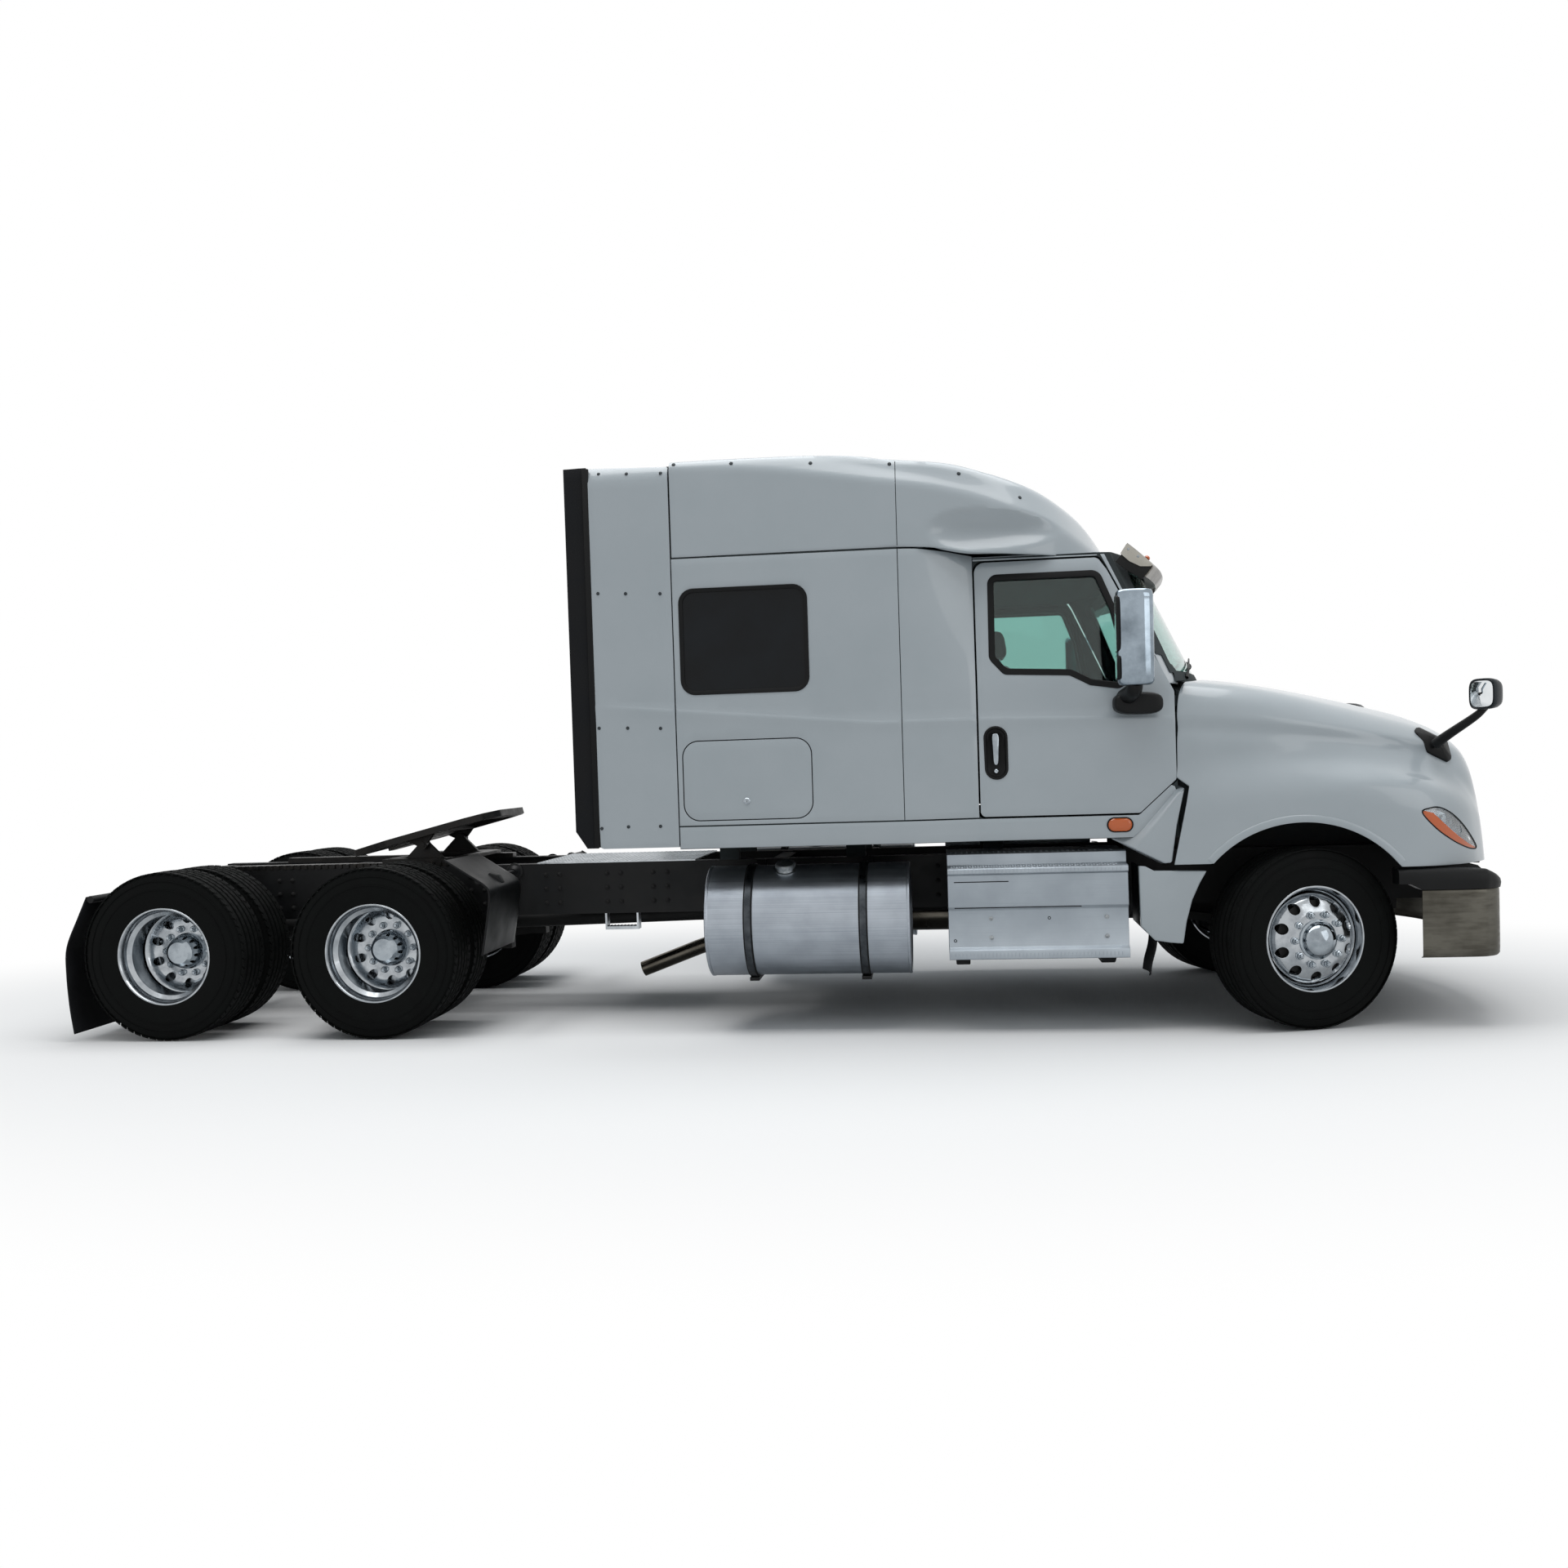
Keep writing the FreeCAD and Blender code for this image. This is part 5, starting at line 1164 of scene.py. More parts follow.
def addLid(s, side):
    label = side.capitalize()
    outline = roundCorners(lidOutline, 0.09, 8)
    body = "luggage_door_" + side
    lid = filled(outline, [], onSide(s, cabShape["lift"]), 0.06)
    piece("luggageLid" + label, *lid, body, *white, outwards=(0, s, 0), wall=0.018, bevel=0.003,
          replaced=("luggage_door_" + side,))
    insets = ((0.05, 0.05), (-0.05, 0.05), (-0.05, -0.08), (0.05, -0.08))
    pan = roundCorners([(x + dx, z + dz) for (x, z), (dx, dz) in zip(lidOutline, insets)], 0.07, 6)
    inner = filled(pan, [], lambda x, z: (x, s * (sleeperHalf - 0.0155), z), 0.08)
    piece("luggageLidLiner" + label, *inner, body, "black_plastic", linerPlastic, outwards=(0, -s, 0), wall=0.014,
          bevel=0.003)
    y = sleeperHalf + 0.003
    lock = capped([[(-3.065 + a, s * (y + h), 1.357 + b) for a, b, _ in ringOf(r, 0, 28)] for r, h in
                   ((0.019, -0.004), (0.019, 0.003), (0.016, 0.0055), (0.013, 0.0045), (0.012, 0.002))])
    piece("luggageLock" + label, *lock, body, *chromed)
    # the key slot is a black block on the lock's face, not an opening: the shade inside the keyhole is painted
    slot = box(-3.066, -3.064, s * (y + 0.001), s * (y + 0.0035), 1.35, 1.364)
    piece("luggageKeySlot" + label, *slot, body, *plastic)
    groove = [(0.0065, -0.004), (0.0065, 0.0004), (0.0015, 0.0004), (0.0015, -0.004)]
    piece("luggageSeal" + label, *band(outline, groove, flatSide(s)), "chassis", *rubber)


handleShape = {"centre": (-1.65, 1.587), "half": (0.06, 0.143)}


def addDoor(s, side):
    label = side.capitalize()
    body = "door_" + side
    outline = roundCorners(doorOutline, doorRadii, 7)
    hx, hz = handleShape["half"]
    cx, cz = handleShape["centre"]
    grip = roundCorners([(cx - hx + 0.006, cz - hz), (cx + hx, cz - hz), (cx + hx, cz + hz), (cx - hx, cz + hz)],
                        hx * 0.98, 8)
    glassHole = roundCorners(windowOutline, windowRadii, 7)
    # outer sheet, then the inner trim panel, with the edge between them
    lift = cabShape["lift"]
    sheet = filled(outline, [glassHole, grip], onSide(s, lift), 0.04, beltLines(-1.73, -0.68))
    obj = placed("doorSkin" + label, *sheet)
    tidyMesh(obj, (0, s, 0))
    obj.data.materials.append(paint)
    obj.data.materials.append(linerPlastic)
    modify(obj, "SOLIDIFY", thickness=0.046, offset=-1, material_offset=1, use_even_offset=False)
    bake(obj)
    roundEdges(obj, 0.004, 2, 50)
    settle(obj, body, "cab_paint", 34, ("door_" + side,))
    # black frame and glass
    surface = lambda x, z, h: (x, s * (sideY(x, z) + lift + h), z)
    section = [(-0.03, -0.02), (-0.03, -0.002), (-0.026, 0.002), (0.004, 0.003), (0.006, 0.0015), (0.006, -0.004),
               (-0.012, -0.02)]
    piece("doorSeal" + label, *band(glassHole, section, surface), body, *rubber)
    pane = filled(grown(glassHole, -0.006), [], lambda x, z: surface(x, z, -0.013), 0.06)
    piece("doorGlass" + label, *pane, body, "glass", sideGlass, outwards=(0, s, 0), wall=0.004,
          replaced=("door_glass_" + side,))
    inner = grown(glassHole, 0.012)
    trim = [(-0.026, -0.052), (-0.03, -0.038), (-0.01, -0.036), (0.012, -0.0435), (0.014, -0.052), (0.004, -0.056)]
    piece("doorInnerFrame" + label, *band(inner, trim, surface), body, *plastic)
    # arm rest on the inside
    pad = ((-0.04, 1.66), (-0.105, 1.68), (-0.11, 1.72), (-0.085, 1.735), (-0.04, 1.735))
    rest = [[(x, s * (sideY(x, 1.7) + dy), z) for dy, z in pad] for x in (-1.62, -1.58, -1.1, -0.98)]
    piece("doorArmRest" + label, *capped(rest), body, *dashShell, bevel=0.008, segments=3)
    # handle: a black cup sunk in the skin, a bright paddle that tapers down, and a lock
    rim = [(0.007, -0.002), (0.008, 0.002), (0.004, 0.0045), (-0.004, 0.003), (-0.008, -0.01), (-0.004, -0.014)]
    piece("handleRim" + label, *band(grip, rim, surface), body, *plastic)
    depth = lambda x, z: 0.012 + 0.016 * max(0.0, 1 - ((x - cx) / hx) ** 2 - ((z - cz) / hz) ** 2) ** 0.5
    cup = filled(grown(grip, -0.002), [], lambda x, z: surface(x, z, -depth(x, z)), 0.01)
    piece("handleCup" + label, *cup, body, *plastic, outwards=(0, s, 0), wall=0.003)
    rows = []
    for k in range(9):
        t = k / 8
        z = cz + hz * 0.78 - t * hz * 1.26
        w = 0.021 * (1 - 0.42 * t) * (0.72 if k in (0, 8) else 1)
        h = 0.004 + 0.009 * math.sin(math.pi * min(1, t * 1.15)) + (0.003 if k < 2 else 0)
        ring = [(cx + w * a, 0.55 * h * b + 0.4 * h) for a, b, _ in ringOf(1, 0, 16)]
        rows.append([(x, s * (sideY(x, z) + lift + y), z) for x, y in ring])
    piece("handlePaddle" + label, *capped(rows), body, *chromed, levels=1)
    lock = capped([[(cx + a, s * (sideY(cx, cz) + lift + h), cz - hz * 0.72 + b) for a, b, _ in ringOf(r, 0, 20)]
                   for r, h in ((0.011, -0.018), (0.011, -0.002), (0.008, 0.0), (0.004, -0.003))])
    piece("handleLock" + label, *lock, body, *chromed)


def frontX(y, z):
    # the raked, bowed front above the cowl
    return -0.345 - 0.2736 * y * y - 0.481 * (z - 1.957)


shieldShape = {"low": 2.019, "high": 2.61, "lowHalf": 1.01, "highHalf": 0.915}


def addFront():
    w = shieldShape
    outline = roundCorners([(-w["lowHalf"], w["low"]), (w["lowHalf"], w["low"]), (w["highHalf"], w["high"]),
                            (-w["highHalf"], w["high"])], 0.06, 8)
    surface = lambda y, z, h: (frontX(y, z) + h * 0.9, y, z + h * 0.43)
    pane = filled(grown(outline, -0.008), [], lambda y, z: surface(y, z, -0.004), 0.06)
    piece("windshield", *pane, "chassis", "glass", frontGlass, outwards=(1, 0, 0), wall=0.006)
    frit = [(0.01, -0.01), (0.012, 0.004), (0.004, 0.0055), (-0.04, -0.002), (-0.044, -0.0045), (-0.04, -0.01)]
    piece("windshieldSeal", *band(outline, frit, surface), "chassis", *rubber)
    # painted pillars and header, and a black plastic cowl, round the glass
    c = cabShape
    sheet, lift = c["sheet"], c["lift"]
    for side, s in sides.items():
        rows = []
        for k in range(25):
            z = 1.945 + (2.69 - 1.945) * k / 24
            edge = steady(((1.9, 1.018), (w["low"], 1.018), (w["high"], 0.923), (2.7, 0.91)), z)
            y = sideY(-1.0, z) + lift
            corner = Vector((frontX(y, z) + lift, y))
            rear = Vector((min(corner.x - 0.004, -0.692 + 0.011 - 0.481 * (z - 1.957)), y))
            front = Vector((frontX(edge, z) + lift, edge))
            bend = min(0.045, (front - corner).length * 0.45)
            a = corner + (rear - corner).normalized() * min(bend, (rear - corner).length)
            b = corner + (front - corner).normalized() * bend
            line = [rear] + [(1 - t) ** 2 * a + 2 * t * (1 - t) * corner + t * t * b
                             for t in (0, 0.2, 0.4, 0.6, 0.8, 1)]
            line += [b + (front - b) * t for t in (0.33, 0.66, 1.0)]
            rows.append([(p.x, s * p.y, z) for p in line])
        piece("pillar" + side.capitalize(), *sheetOf(rows), "chassis", *white, outwards=(0.5, s, 0),
              wall=sheet, bevel=0.001)
    header = [(-0.935, w["high"] + 0.012), (0.935, w["high"] + 0.012), (0.93, 2.69), (-0.93, 2.69)]
    cowl = [(-1.03, 1.957), (1.03, 1.957), (1.02, w["low"] - 0.012), (-1.02, w["low"] - 0.012)]
    panel = lambda name, outline, finishing: piece(
        name, *filled(outline, [], lambda y, z: surface(y, z, lift), 0.05), "chassis", *finishing,
        outwards=(1, 0, 0), wall=sheet, bevel=0.001)
    panel("headerPanel", header, white)
    ends = [(-1.06, 1.0335), (-1.75, sideY(-1.75, 2.69) + 0.002)]
    ledge = [(x, -y) for x, y in reversed(ends)] + [(frontX(y, 2.69) + 0.002, y) for y in np.linspace(-1.0, 1.0, 21)]
    ledge += ends
    piece("cabTopLedge", *filled(ledge, [], lambda x, y: (x, y, 2.7035), 0.06), "chassis", *white,
          outwards=(0, 0, 1), wall=sheet)
    panel("cowlPanel", cowl, plastic)
    # wipers: an arm and a blade on each half, resting on the glass
    for side, s in sides.items():
        pivot = (frontX(0.86 * s, 1.985) + 0.018, 0.86 * s, 1.985)
        arm = pipe([pivot, surface(0.8 * s, 2.02, 0.03), surface(0.28 * s, 2.12, 0.022)], [0.011, 0.008, 0.005], 10)
        piece("wiperArm" + side.capitalize(), *arm, "chassis", *plastic)
        blade = [surface((0.62 - 0.72 * t) * s, 2.045 + 0.1 * t, 0.009) for t in np.linspace(0, 1, 9)]
        piece("wiperBlade" + side.capitalize(), *pipe(blade, 0.007, 8), "chassis", *rubber)


def addCorner(s, label):
    # panel between the door's lower corner and the hood, hollowed, with a dark groove and a marker lamp
    inner = [(-1.035, 1.096), (-0.868, 1.205), (-0.672, 1.388), (-0.626, 1.366), (-0.675, 1.156), (-0.707, 0.946),
             (-0.75, 0.938)]
    outer = [(-0.9, 1.03), (-0.83, 1.11), (-0.665, 1.32), (-0.629, 1.356), (-0.675, 1.156), (-0.706, 0.952),
             (-0.742, 0.95)]
    rows = []
    for t in np.linspace(0, 1, 12):
        y = 1.085 + 0.1125 * t
        loop = [(a[0] + (b[0] - a[0]) * t, a[1] + (b[1] - a[1]) * t) for a, b in zip(inner, outer)]
        rows.append([(x, s * (y + 0.001), z) for x, z in grown(loop, 0.003)])
    piece("cornerPanel" + label, *capped(rows), "chassis", *white, bevel=0.01, segments=3, sharp=40)
    lamp = (-0.9755, 1.1645)
    mark = roundCorners([(-1.042, 1.128), (-0.909, 1.128), (-0.909, 1.201), (-1.042, 1.201)], 0.036, 8)
    lie = lambda x, z, h: (x, s * (sideY(lamp[0], 1.165) + 0.001 + h), z)
    dome = [[lie(lamp[0] + (x - lamp[0]) * f, lamp[1] + (z - lamp[1]) * f, h) for x, z in mark]
            for f, h in ((1.0, 0.0), (1.0, 0.006), (0.93, 0.013), (0.75, 0.018), (0.4, 0.021))]
    piece("markerLamp" + label, *capped(dome), "chassis", "lamp_lens", amberLens, sharp=45)
    base = [(-0.004, -0.001), (0.006, -0.001), (0.006, 0.006), (0.002, 0.009), (-0.004, 0.008)]
    piece("markerRim" + label, *band(mark, base, lie), "chassis", *rubber)


def addExtender(s, label):
    x0, x1 = -3.941, -3.4655
    panel = [(x0, 1.118), (x0 + 0.03, 1.103), (x1, 1.103), (x1, 3.278), (x1 - 0.012, 3.284), (x0, 3.3)]
    c = cabShape
    shape = filled(panel, [], onSide(s, c["lift"]), 0.045, beltLines(-3.93, -3.48))
    piece("extender" + label, *shape, "chassis", *white, outwards=(0, s, 0), wall=0.022, bevel=0.002,
          replaced=("side_extenders",))
    flap = [(x0, 1.106), (x0, 3.3), (-4.078, 3.3), (-4.078, 1.205), (-4.011, 1.106)]
    fold = lambda x, z: (x, s * (sleeperHalf - 0.007 - 0.01 * blendTo(-3.96, -4.075, x)), z)
    piece("extenderFlap" + label, *filled(flap, [], fold, 0.06), "chassis", *flapSheet,
          outwards=(0, s, 0), wall=0.008, bevel=0.002, replaced=("extender_flaps",))
    # rubber between the extender and the sleeper and roof
    infill = []
    for z in np.linspace(1.112, 3.288, 30):
        y = s * (sideY(-3.47, z) - 0.008)
        infill.append([(-3.476, y, z), (-3.449, y, z), (-3.449, y - 0.03 * s, z), (-3.476, y - 0.03 * s, z)])
    piece("extenderSeal" + label, *capped(infill), "chassis", *rubber)
    section = ((0.014, -0.012), (0.014, 0.008), (0.004, 0.0115), (-0.02, 0.0105), (-0.024, 0.006), (-0.024, -0.012))
    strip = [[(x0 + dx, s * (sleeperHalf - 0.006 + h), z) for dx, h in section] for z in (1.112, 3.292)]
    piece("flapStrip" + label, *capped(strip), "chassis", *rubber, bevel=0.002)
    places = []
    d = 0.01
    for x, z in ((-3.868, 3.262), (-3.704, 3.254), (-3.504, 3.246), (-3.892, 2.576), (-3.73, 2.568), (-3.529, 2.559),
                 (-3.913, 1.802), (-3.745, 1.797), (-3.552, 1.789), (-3.918, 1.222), (-3.76, 1.228), (-3.572, 1.226)):
        rise = sideY(x + d, z) - sideY(x - d, z), sideY(x, z + d) - sideY(x, z - d)
        out = Vector((-rise[0] / (2 * d), s, -rise[1] / (2 * d)))
        places.append(((x, s * (sideY(x, z) + c["lift"]), z), tuple(out.normalized())))
    repeated("extenderScrews" + label, places, screwHead(0.01, 0.005), "chassis", *screws)


def addSleeperBack():
    # back wall in ribbed sheet
    rows = []
    x = -3.4605
    ys = np.linspace(-1.19, 1.19, 239)
    for z in (1.1, 2.75):
        rows.append([(x - 0.006 * blendTo(0.25, 0.6, abs((y * 6.0) % 1 - 0.5) * 2), y, z) for y in ys])
    piece("sleeperBack", *sheetOf(rows), "chassis", *white, outwards=(-1, 0, 0), wall=0.002)


for side, s in sides.items():
    addSides(s, side.capitalize())
    addLid(s, side)
    addDoor(s, side)
    addCorner(s, side.capitalize())
    addExtender(s, side.capitalize())
addFront()
addSleeperBack()
for node in ("cab_shell", "sleeper_shell"):
    coatNode(node, linerPlastic)
print("cab panels ready")


# tanks, steps, fenders, flaps and bumper
tankShape = {"x": (-3.345, -2.155), "y": 0.87, "z": 0.636, "radius": 0.3285, "straps": (-3.09, -2.425), "cap": -2.985}


def addTank(s, label):
    t = tankShape
    r = t["radius"]
    length = t["x"][1] - t["x"][0]
    head = [(0.034, 0.0), (0.032, 0.15), (0.024, 0.25), (0.012, 0.292), (0.006, 0.304), (0.001, 0.312),
            (0.001, r - 0.006), (0.005, r), (0.016, r), (0.021, r - 0.003), (0.026, r - 0.0025)]
    whole = head + [(length - a, b) for a, b in reversed(head)]
    shape = lathe(whole, (t["x"][0], s * t["y"], t["z"]), (1, 0, 0), 120, closed=False)
    piece("fuelTank" + label, *shape, "chassis", "brushed_aluminium", tankAluminium, sharp=30, replaced=("fuel_tanks",))
    steel = [(-0.0185, r + 0.0068), (-0.0175, r + 0.0082), (0.0175, r + 0.0082), (0.0185, r + 0.0068)]
    pad = [(-0.026, r - 0.002), (-0.026, r + 0.003), (-0.0225, r + 0.0046), (0.0225, r + 0.0046), (0.026, r + 0.003),
           (0.026, r - 0.002)]
    for k, x in enumerate(t["straps"]):
        for name, section, finish in (("tankStrap", steel, ("steel_bright", strapSteel)), ("strapPad", pad, rubber)):
            hoop = lathe(section, (x, s * t["y"], t["z"]), (1, 0, 0), 120)
            piece("%s%s%d" % (name, label, k), *hoop, "chassis", *finish, sharp=30)
    # filler neck and its vented cap, leaning outwards
    out = Vector((0, s * 0.4, 0.92)).normalized()
    foot = Vector((t["cap"] + 0.105, s * (t["y"] + 0.128), t["z"] + 0.3))
    cap = [(-0.03, 0.06), (0.006, 0.06), (0.01, 0.052), (0.024, 0.05), (0.026, 0.056), (0.046, 0.056),
           (0.052, 0.05), (0.054, 0.0)]
    piece("fillerCap" + label, *lathe(cap, foot, out, 40, closed=False), "chassis", *capZinc, sharp=30)
    across = out.cross(Vector((1, 0, 0))).normalized()
    places = []
    for a, b, _ in ringOf(1, 0, 24):
        d = Vector((1, 0, 0)) * a + across * b
        places.append((tuple(foot + out * 0.036 + d * 0.0555), tuple(d), tuple(out)))
    rib = capped([[(x, y, z) for x, y in ((-0.008, -0.002), (0.008, -0.002), (0.008, 0.002), (-0.008, 0.002))]
                  for z in (-0.002, 0.003)])
    repeated("fillerRibs" + label, places, rib, "chassis", *capZinc)


stepShape = {
    "x": (-1.942, -0.939), "dimple": 0.03, "rib": 0.021,
    "face": [(0.7, 1.02), (1.104, 1.02), (1.115, 1.014), (1.115, 0.956), (1.121, 0.95), (1.19, 0.9435),
             (1.2, 0.934), (1.2, 0.912), (1.194, 0.905), (1.181, 0.902), (1.178, 0.895), (1.188, 0.726),
             (1.184, 0.718), (1.17, 0.706), (1.166, 0.696), (1.17, 0.496), (1.175, 0.489), (1.195, 0.48),
             (1.2, 0.473), (1.2, 0.428), (1.196, 0.425), (0.7, 0.425)],
    # rows of dimples on the treads: y, z, lean, share of a step along
    "treads": ((1.128, 0.949, 0.09, 0), (1.152, 0.9472, 0.09, 0.5), (1.176, 0.945, 0.09, 0),
               (1.02, 1.02, 0, 0), (1.05, 1.02, 0, 0), (1.08, 1.02, 0, 0)),
    "nose": {"y": 1.2, "z": (0.45, 0.923)}, "bolt": {"x": (-1.702, -1.06), "z": (0.652, 0.545)},
    "slots": ((-1.905, -1.6, 1.1805, 0.862), (-1.905, -1.2, 1.1835, 0.716)),      # from x, to x, y, z
    "drains": ((-1.378, 1.1667, 0.651), (-1.905, 1.1695, 0.53)),
    "foot": ((0.74, 0.4265), (1.13, 0.4265), (1.1, 0.395), (1.06, 0.378), (0.8, 0.378)),
    "feet": (-1.862, -1.046), "beam": {"y": (0.43, 0.702), "z": (0.69, 0.75)},
}


def addStep(s, label):
    p = stepShape
    x0, x1 = p["x"]
    rows = [[(x, s * y, z) for y, z in p["face"]] for x in (x0 + 0.002, x0 + 0.35, x1 - 0.35, x1 - 0.002)]
    piece("stepBox" + label, *capped(rows), "chassis", *stepSheet, bevel=0.0022, sharp=50, replaced=("step_boxes",))
    # dimples on the treads, every other row half a step along; ribs on the noses; bolts, and drain holes drawn as black
    # dished discs whose inner shade is painted
    count = int((x1 - x0 - 0.05) / p["dimple"])
    dimples = []
    for y, z, lean, shift in p["treads"]:
        dimples += [((x0 + 0.025 + (k + shift) * p["dimple"], s * y, z), (0, s * lean, 1)) for k in range(count)]
    cone = capped([ringOf(r, h, 10) for r, h in ((0.0085, -0.001), (0.007, 0.002), (0.0045, 0.0032), (0.0035, 0.001))])
    repeated("stepDimples" + label, dimples, cone, "chassis", *stepSheet)
    count = int((x1 - x0 - 0.02) / p["rib"])
    rib = capped([[(-0.0035, y, z), (0.0035, y, z), (0.002, y, z + 0.003), (-0.002, y, z + 0.003)] for y, z in
                  ((-0.019, -0.001), (0.019, -0.001))])
    places = [((x0 + 0.014 + k * p["rib"], s * p["nose"]["y"], z), (0, s, 0), (1, 0, 0)) for z in p["nose"]["z"]
              for k in range(count)]
    repeated("stepRibs" + label, places, rib, "chassis", *stepSheet, size=0.55)
    bolts = [((x, s * (1.1664 + (z - 0.6) * -0.02 + 0.001), z), (0, s, 0)) for x in p["bolt"]["x"]
             for z in p["bolt"]["z"]]
    repeated("stepBolts" + label, bolts, nutShape(0.02, 0.008, 0.006), "chassis", *zincPlate, spread=0.6)
    # each slot is a thin black strip on the closed face, not an opening: the shade inside the slot is painted
    lip = ((-0.004, -0.003), (0.0012, -0.0025), (0.0012, 0.0025), (-0.004, 0.003))
    for k, (a, b, y, z) in enumerate(p["slots"]):
        slot = prism([(s * (y + dy), z + dz) for dy, dz in lip], a, b, "yz")
        piece("stepSlot%s%d" % (label, k), *slot, "chassis", *plastic, bevel=0.0006)
    # each drain hole is a black dished disc on the closed face, not an opening: the shade inside the hole is painted
    hole = capped([ringOf(r, h, 18) for r, h in ((0.009, -0.002), (0.009, 0.0012), (0.006, 0.0016), (0.005, -0.001))])
    drains = [((x, s * y, z), (0, s, 0)) for x, y, z in p["drains"]]
    repeated("stepDrain" + label, drains, hole, "chassis", *rubber)
    for k, x in enumerate(p["feet"]):
        foot = prism([(s * y, z) for y, z in p["foot"]], x - 0.04, x + 0.04, "yz")
        beam = box(x - 0.03, x + 0.03, *(s * y for y in p["beam"]["y"]), *p["beam"]["z"])
        for name, shape in (("stepBracket", foot), ("stepBeam", beam)):
            piece("%s%s%d" % (name, label, k), *shape, "chassis", *chassisSteel, bevel=0.006)


def swept(line, s, y0, y1, name, body, slot, material, wall, node=None, bow=0.0, roll=0.0):
    # a sheet along a line of (x, z) points, from y0 to y1, with its outer edge rolled over
    rows = []
    for t in np.linspace(0, 1, 16):
        rows.append([(x + bow * math.sin(math.pi * t), s * (y0 + (y1 - y0) * t), z) for x, z in line])
    if roll:
        ways = [Vector((b[0] - a[0], b[1] - a[1])).normalized()
                for a, b in zip(line[:1] + line[:-1], line[1:] + line[-1:])]
        for a in (25, 55, 90):
            k = math.radians(a)
            drop, y = roll * (math.cos(k) - 1), s * (y1 + roll * math.sin(k) * 0.6)
            rows.append([(x + d.y * drop, y, z - d.x * drop) for (x, z), d in zip(line, ways)])
    return piece(name, *sheetOf(rows), body, slot, material, wall=wall, bevel=0.0015, sharp=40,
                 replaced=(node,) if node else (), offset=0)


fenderShape = {
    "inner": 0.6, "tube": (0.64, 0.925), "tubeY": (0.43, 1.15), "clampY": (0.86, 0.93), "leftTop": 0.945,
    "quarter": {"outer": 1.2085, "sheet": 0.007, "roll": 0.012},
    "flap": {"x": -7.2885, "outer": 1.2175, "sheet": 0.01, "bow": 0.004, "plateY": (0.605, 1.214),
             "bolts": (0.66, 0.78, 0.91, 1.04, 1.16)},
}


def addFenders(s, label):
    f, q, m = fenderShape, fenderShape["quarter"], fenderShape["flap"]
    x = rearAxles[0]
    tube = (x + f["tube"][0], f["tube"][1])
    line = smoothPath([(x + 0.462, 1.056), (x + 0.6, 0.968), (x + 0.7, 0.902), (x + 0.726, 0.852),
                       (x + 0.716, 0.75), (x + 0.692, 0.61), (x + 0.671, 0.494)], 6)
    line = [p for p in line if s < 0 or p[1] < f["leftTop"]]      # the left one starts lower, under the rail's top
    swept(line, s, f["inner"], q["outer"], "quarterFender" + label, "chassis", *plastic, q["sheet"],
          "quarter_fenders", roll=q["roll"])
    bar = pipe([(tube[0], s * y, tube[1]) for y in f["tubeY"]], 0.016, 20)
    piece("fenderTube" + label, *bar, "chassis", *chassisSteel)
    section = ((-0.035, 0.0), (0.0, 0.035), (0.05, 0.02), (0.075, -0.03), (0.06, -0.06), (-0.02, -0.03))
    clamp = prism([(tube[0] + dx, tube[1] + dz) for dx, dz in section], *(s * y for y in f["clampY"]))
    piece("fenderClamp" + label, *clamp, "chassis", *chassisSteel, bevel=0.006)
    foot = lathe([(-0.002, 0.055), (0.01, 0.055), (0.014, 0.045), (0.014, 0.024), (0.05, 0.022), (0.05, 0.012)],
                 (tube[0], s * f["tubeY"][0], tube[1]), (0, s, 0), 30)
    piece("fenderFlange" + label, *foot, "chassis", *chassisSteel)
    r = m["x"]
    flap = smoothPath([(r + 0.148, 0.868), (r + 0.095, 0.76), (r + 0.015, 0.583), (r + 0.005, 0.42), (r + 0.016, 0.22),
                       (r + 0.038, 0.052)], 5)
    swept(flap, s, f["inner"], m["outer"], "mudFlap" + label, "chassis", *flapSheet, m["sheet"], "mud_flaps",
          bow=m["bow"])
    section = ((0.008, 0.89), (-0.001, 0.888), (-0.022, 0.845), (-0.014, 0.842))
    plate = prism([(r + 0.15 + dx, z) for dx, z in section], *(s * y for y in m["plateY"]))
    piece("flapPlate" + label, *plate, "chassis", *chassisSteel, bevel=0.0015)
    bolts = [((r + 0.14, s * y, 0.868), (-0.9, 0, 0.42)) for y in m["bolts"]]
    repeated("flapBolts" + label, bolts, nutShape(0.022, 0.01, 0.007), "chassis", *zincPlate, size=0.8, spread=0.5)


def addSkirt(s, label):
    side = [(-0.883, 0.934), (-0.845, 0.93), (-0.8, 0.905), (-0.7, 0.9035), (-0.516, 0.899), (-0.556, 0.83),
            (-0.597, 0.74), (-0.63, 0.62), (-0.65, 0.497), (-0.72, 0.503), (-0.804, 0.517), (-0.878, 0.596)]
    piece("skirt" + label, *prism(side, s * 1.15, s * 1.1945), "chassis", *white, bevel=0.009, segments=3, sharp=50,
          replaced=("skirts",))
    brace = box(-0.8, -0.76, s * 0.43, s * 1.155, 0.7, 0.76)
    piece("skirtBrace" + label, *brace, "chassis", *chassisSteel, bevel=0.006)
    back = [(-0.88, 0.93), (-0.868, 0.93), (-0.862, 0.6), (-0.79, 0.525), (-0.8, 0.518), (-0.877, 0.597)]
    piece("skirtReturn" + label, *prism(back, s * 0.86, s * 1.149), "chassis", *plastic, bevel=0.003)
    flap = smoothPath([(-0.79, 0.54), (-0.8, 0.46), (-0.822, 0.38), (-0.832, 0.315)], 4)
    swept(flap, s, 0.9, 1.15, "skirtFlap" + label, "chassis", *flapSheet, 0.008, bow=0.02)


bumperShape = {"nose": 1.29, "bend": 0.219, "low": 0.395, "high": 0.775}


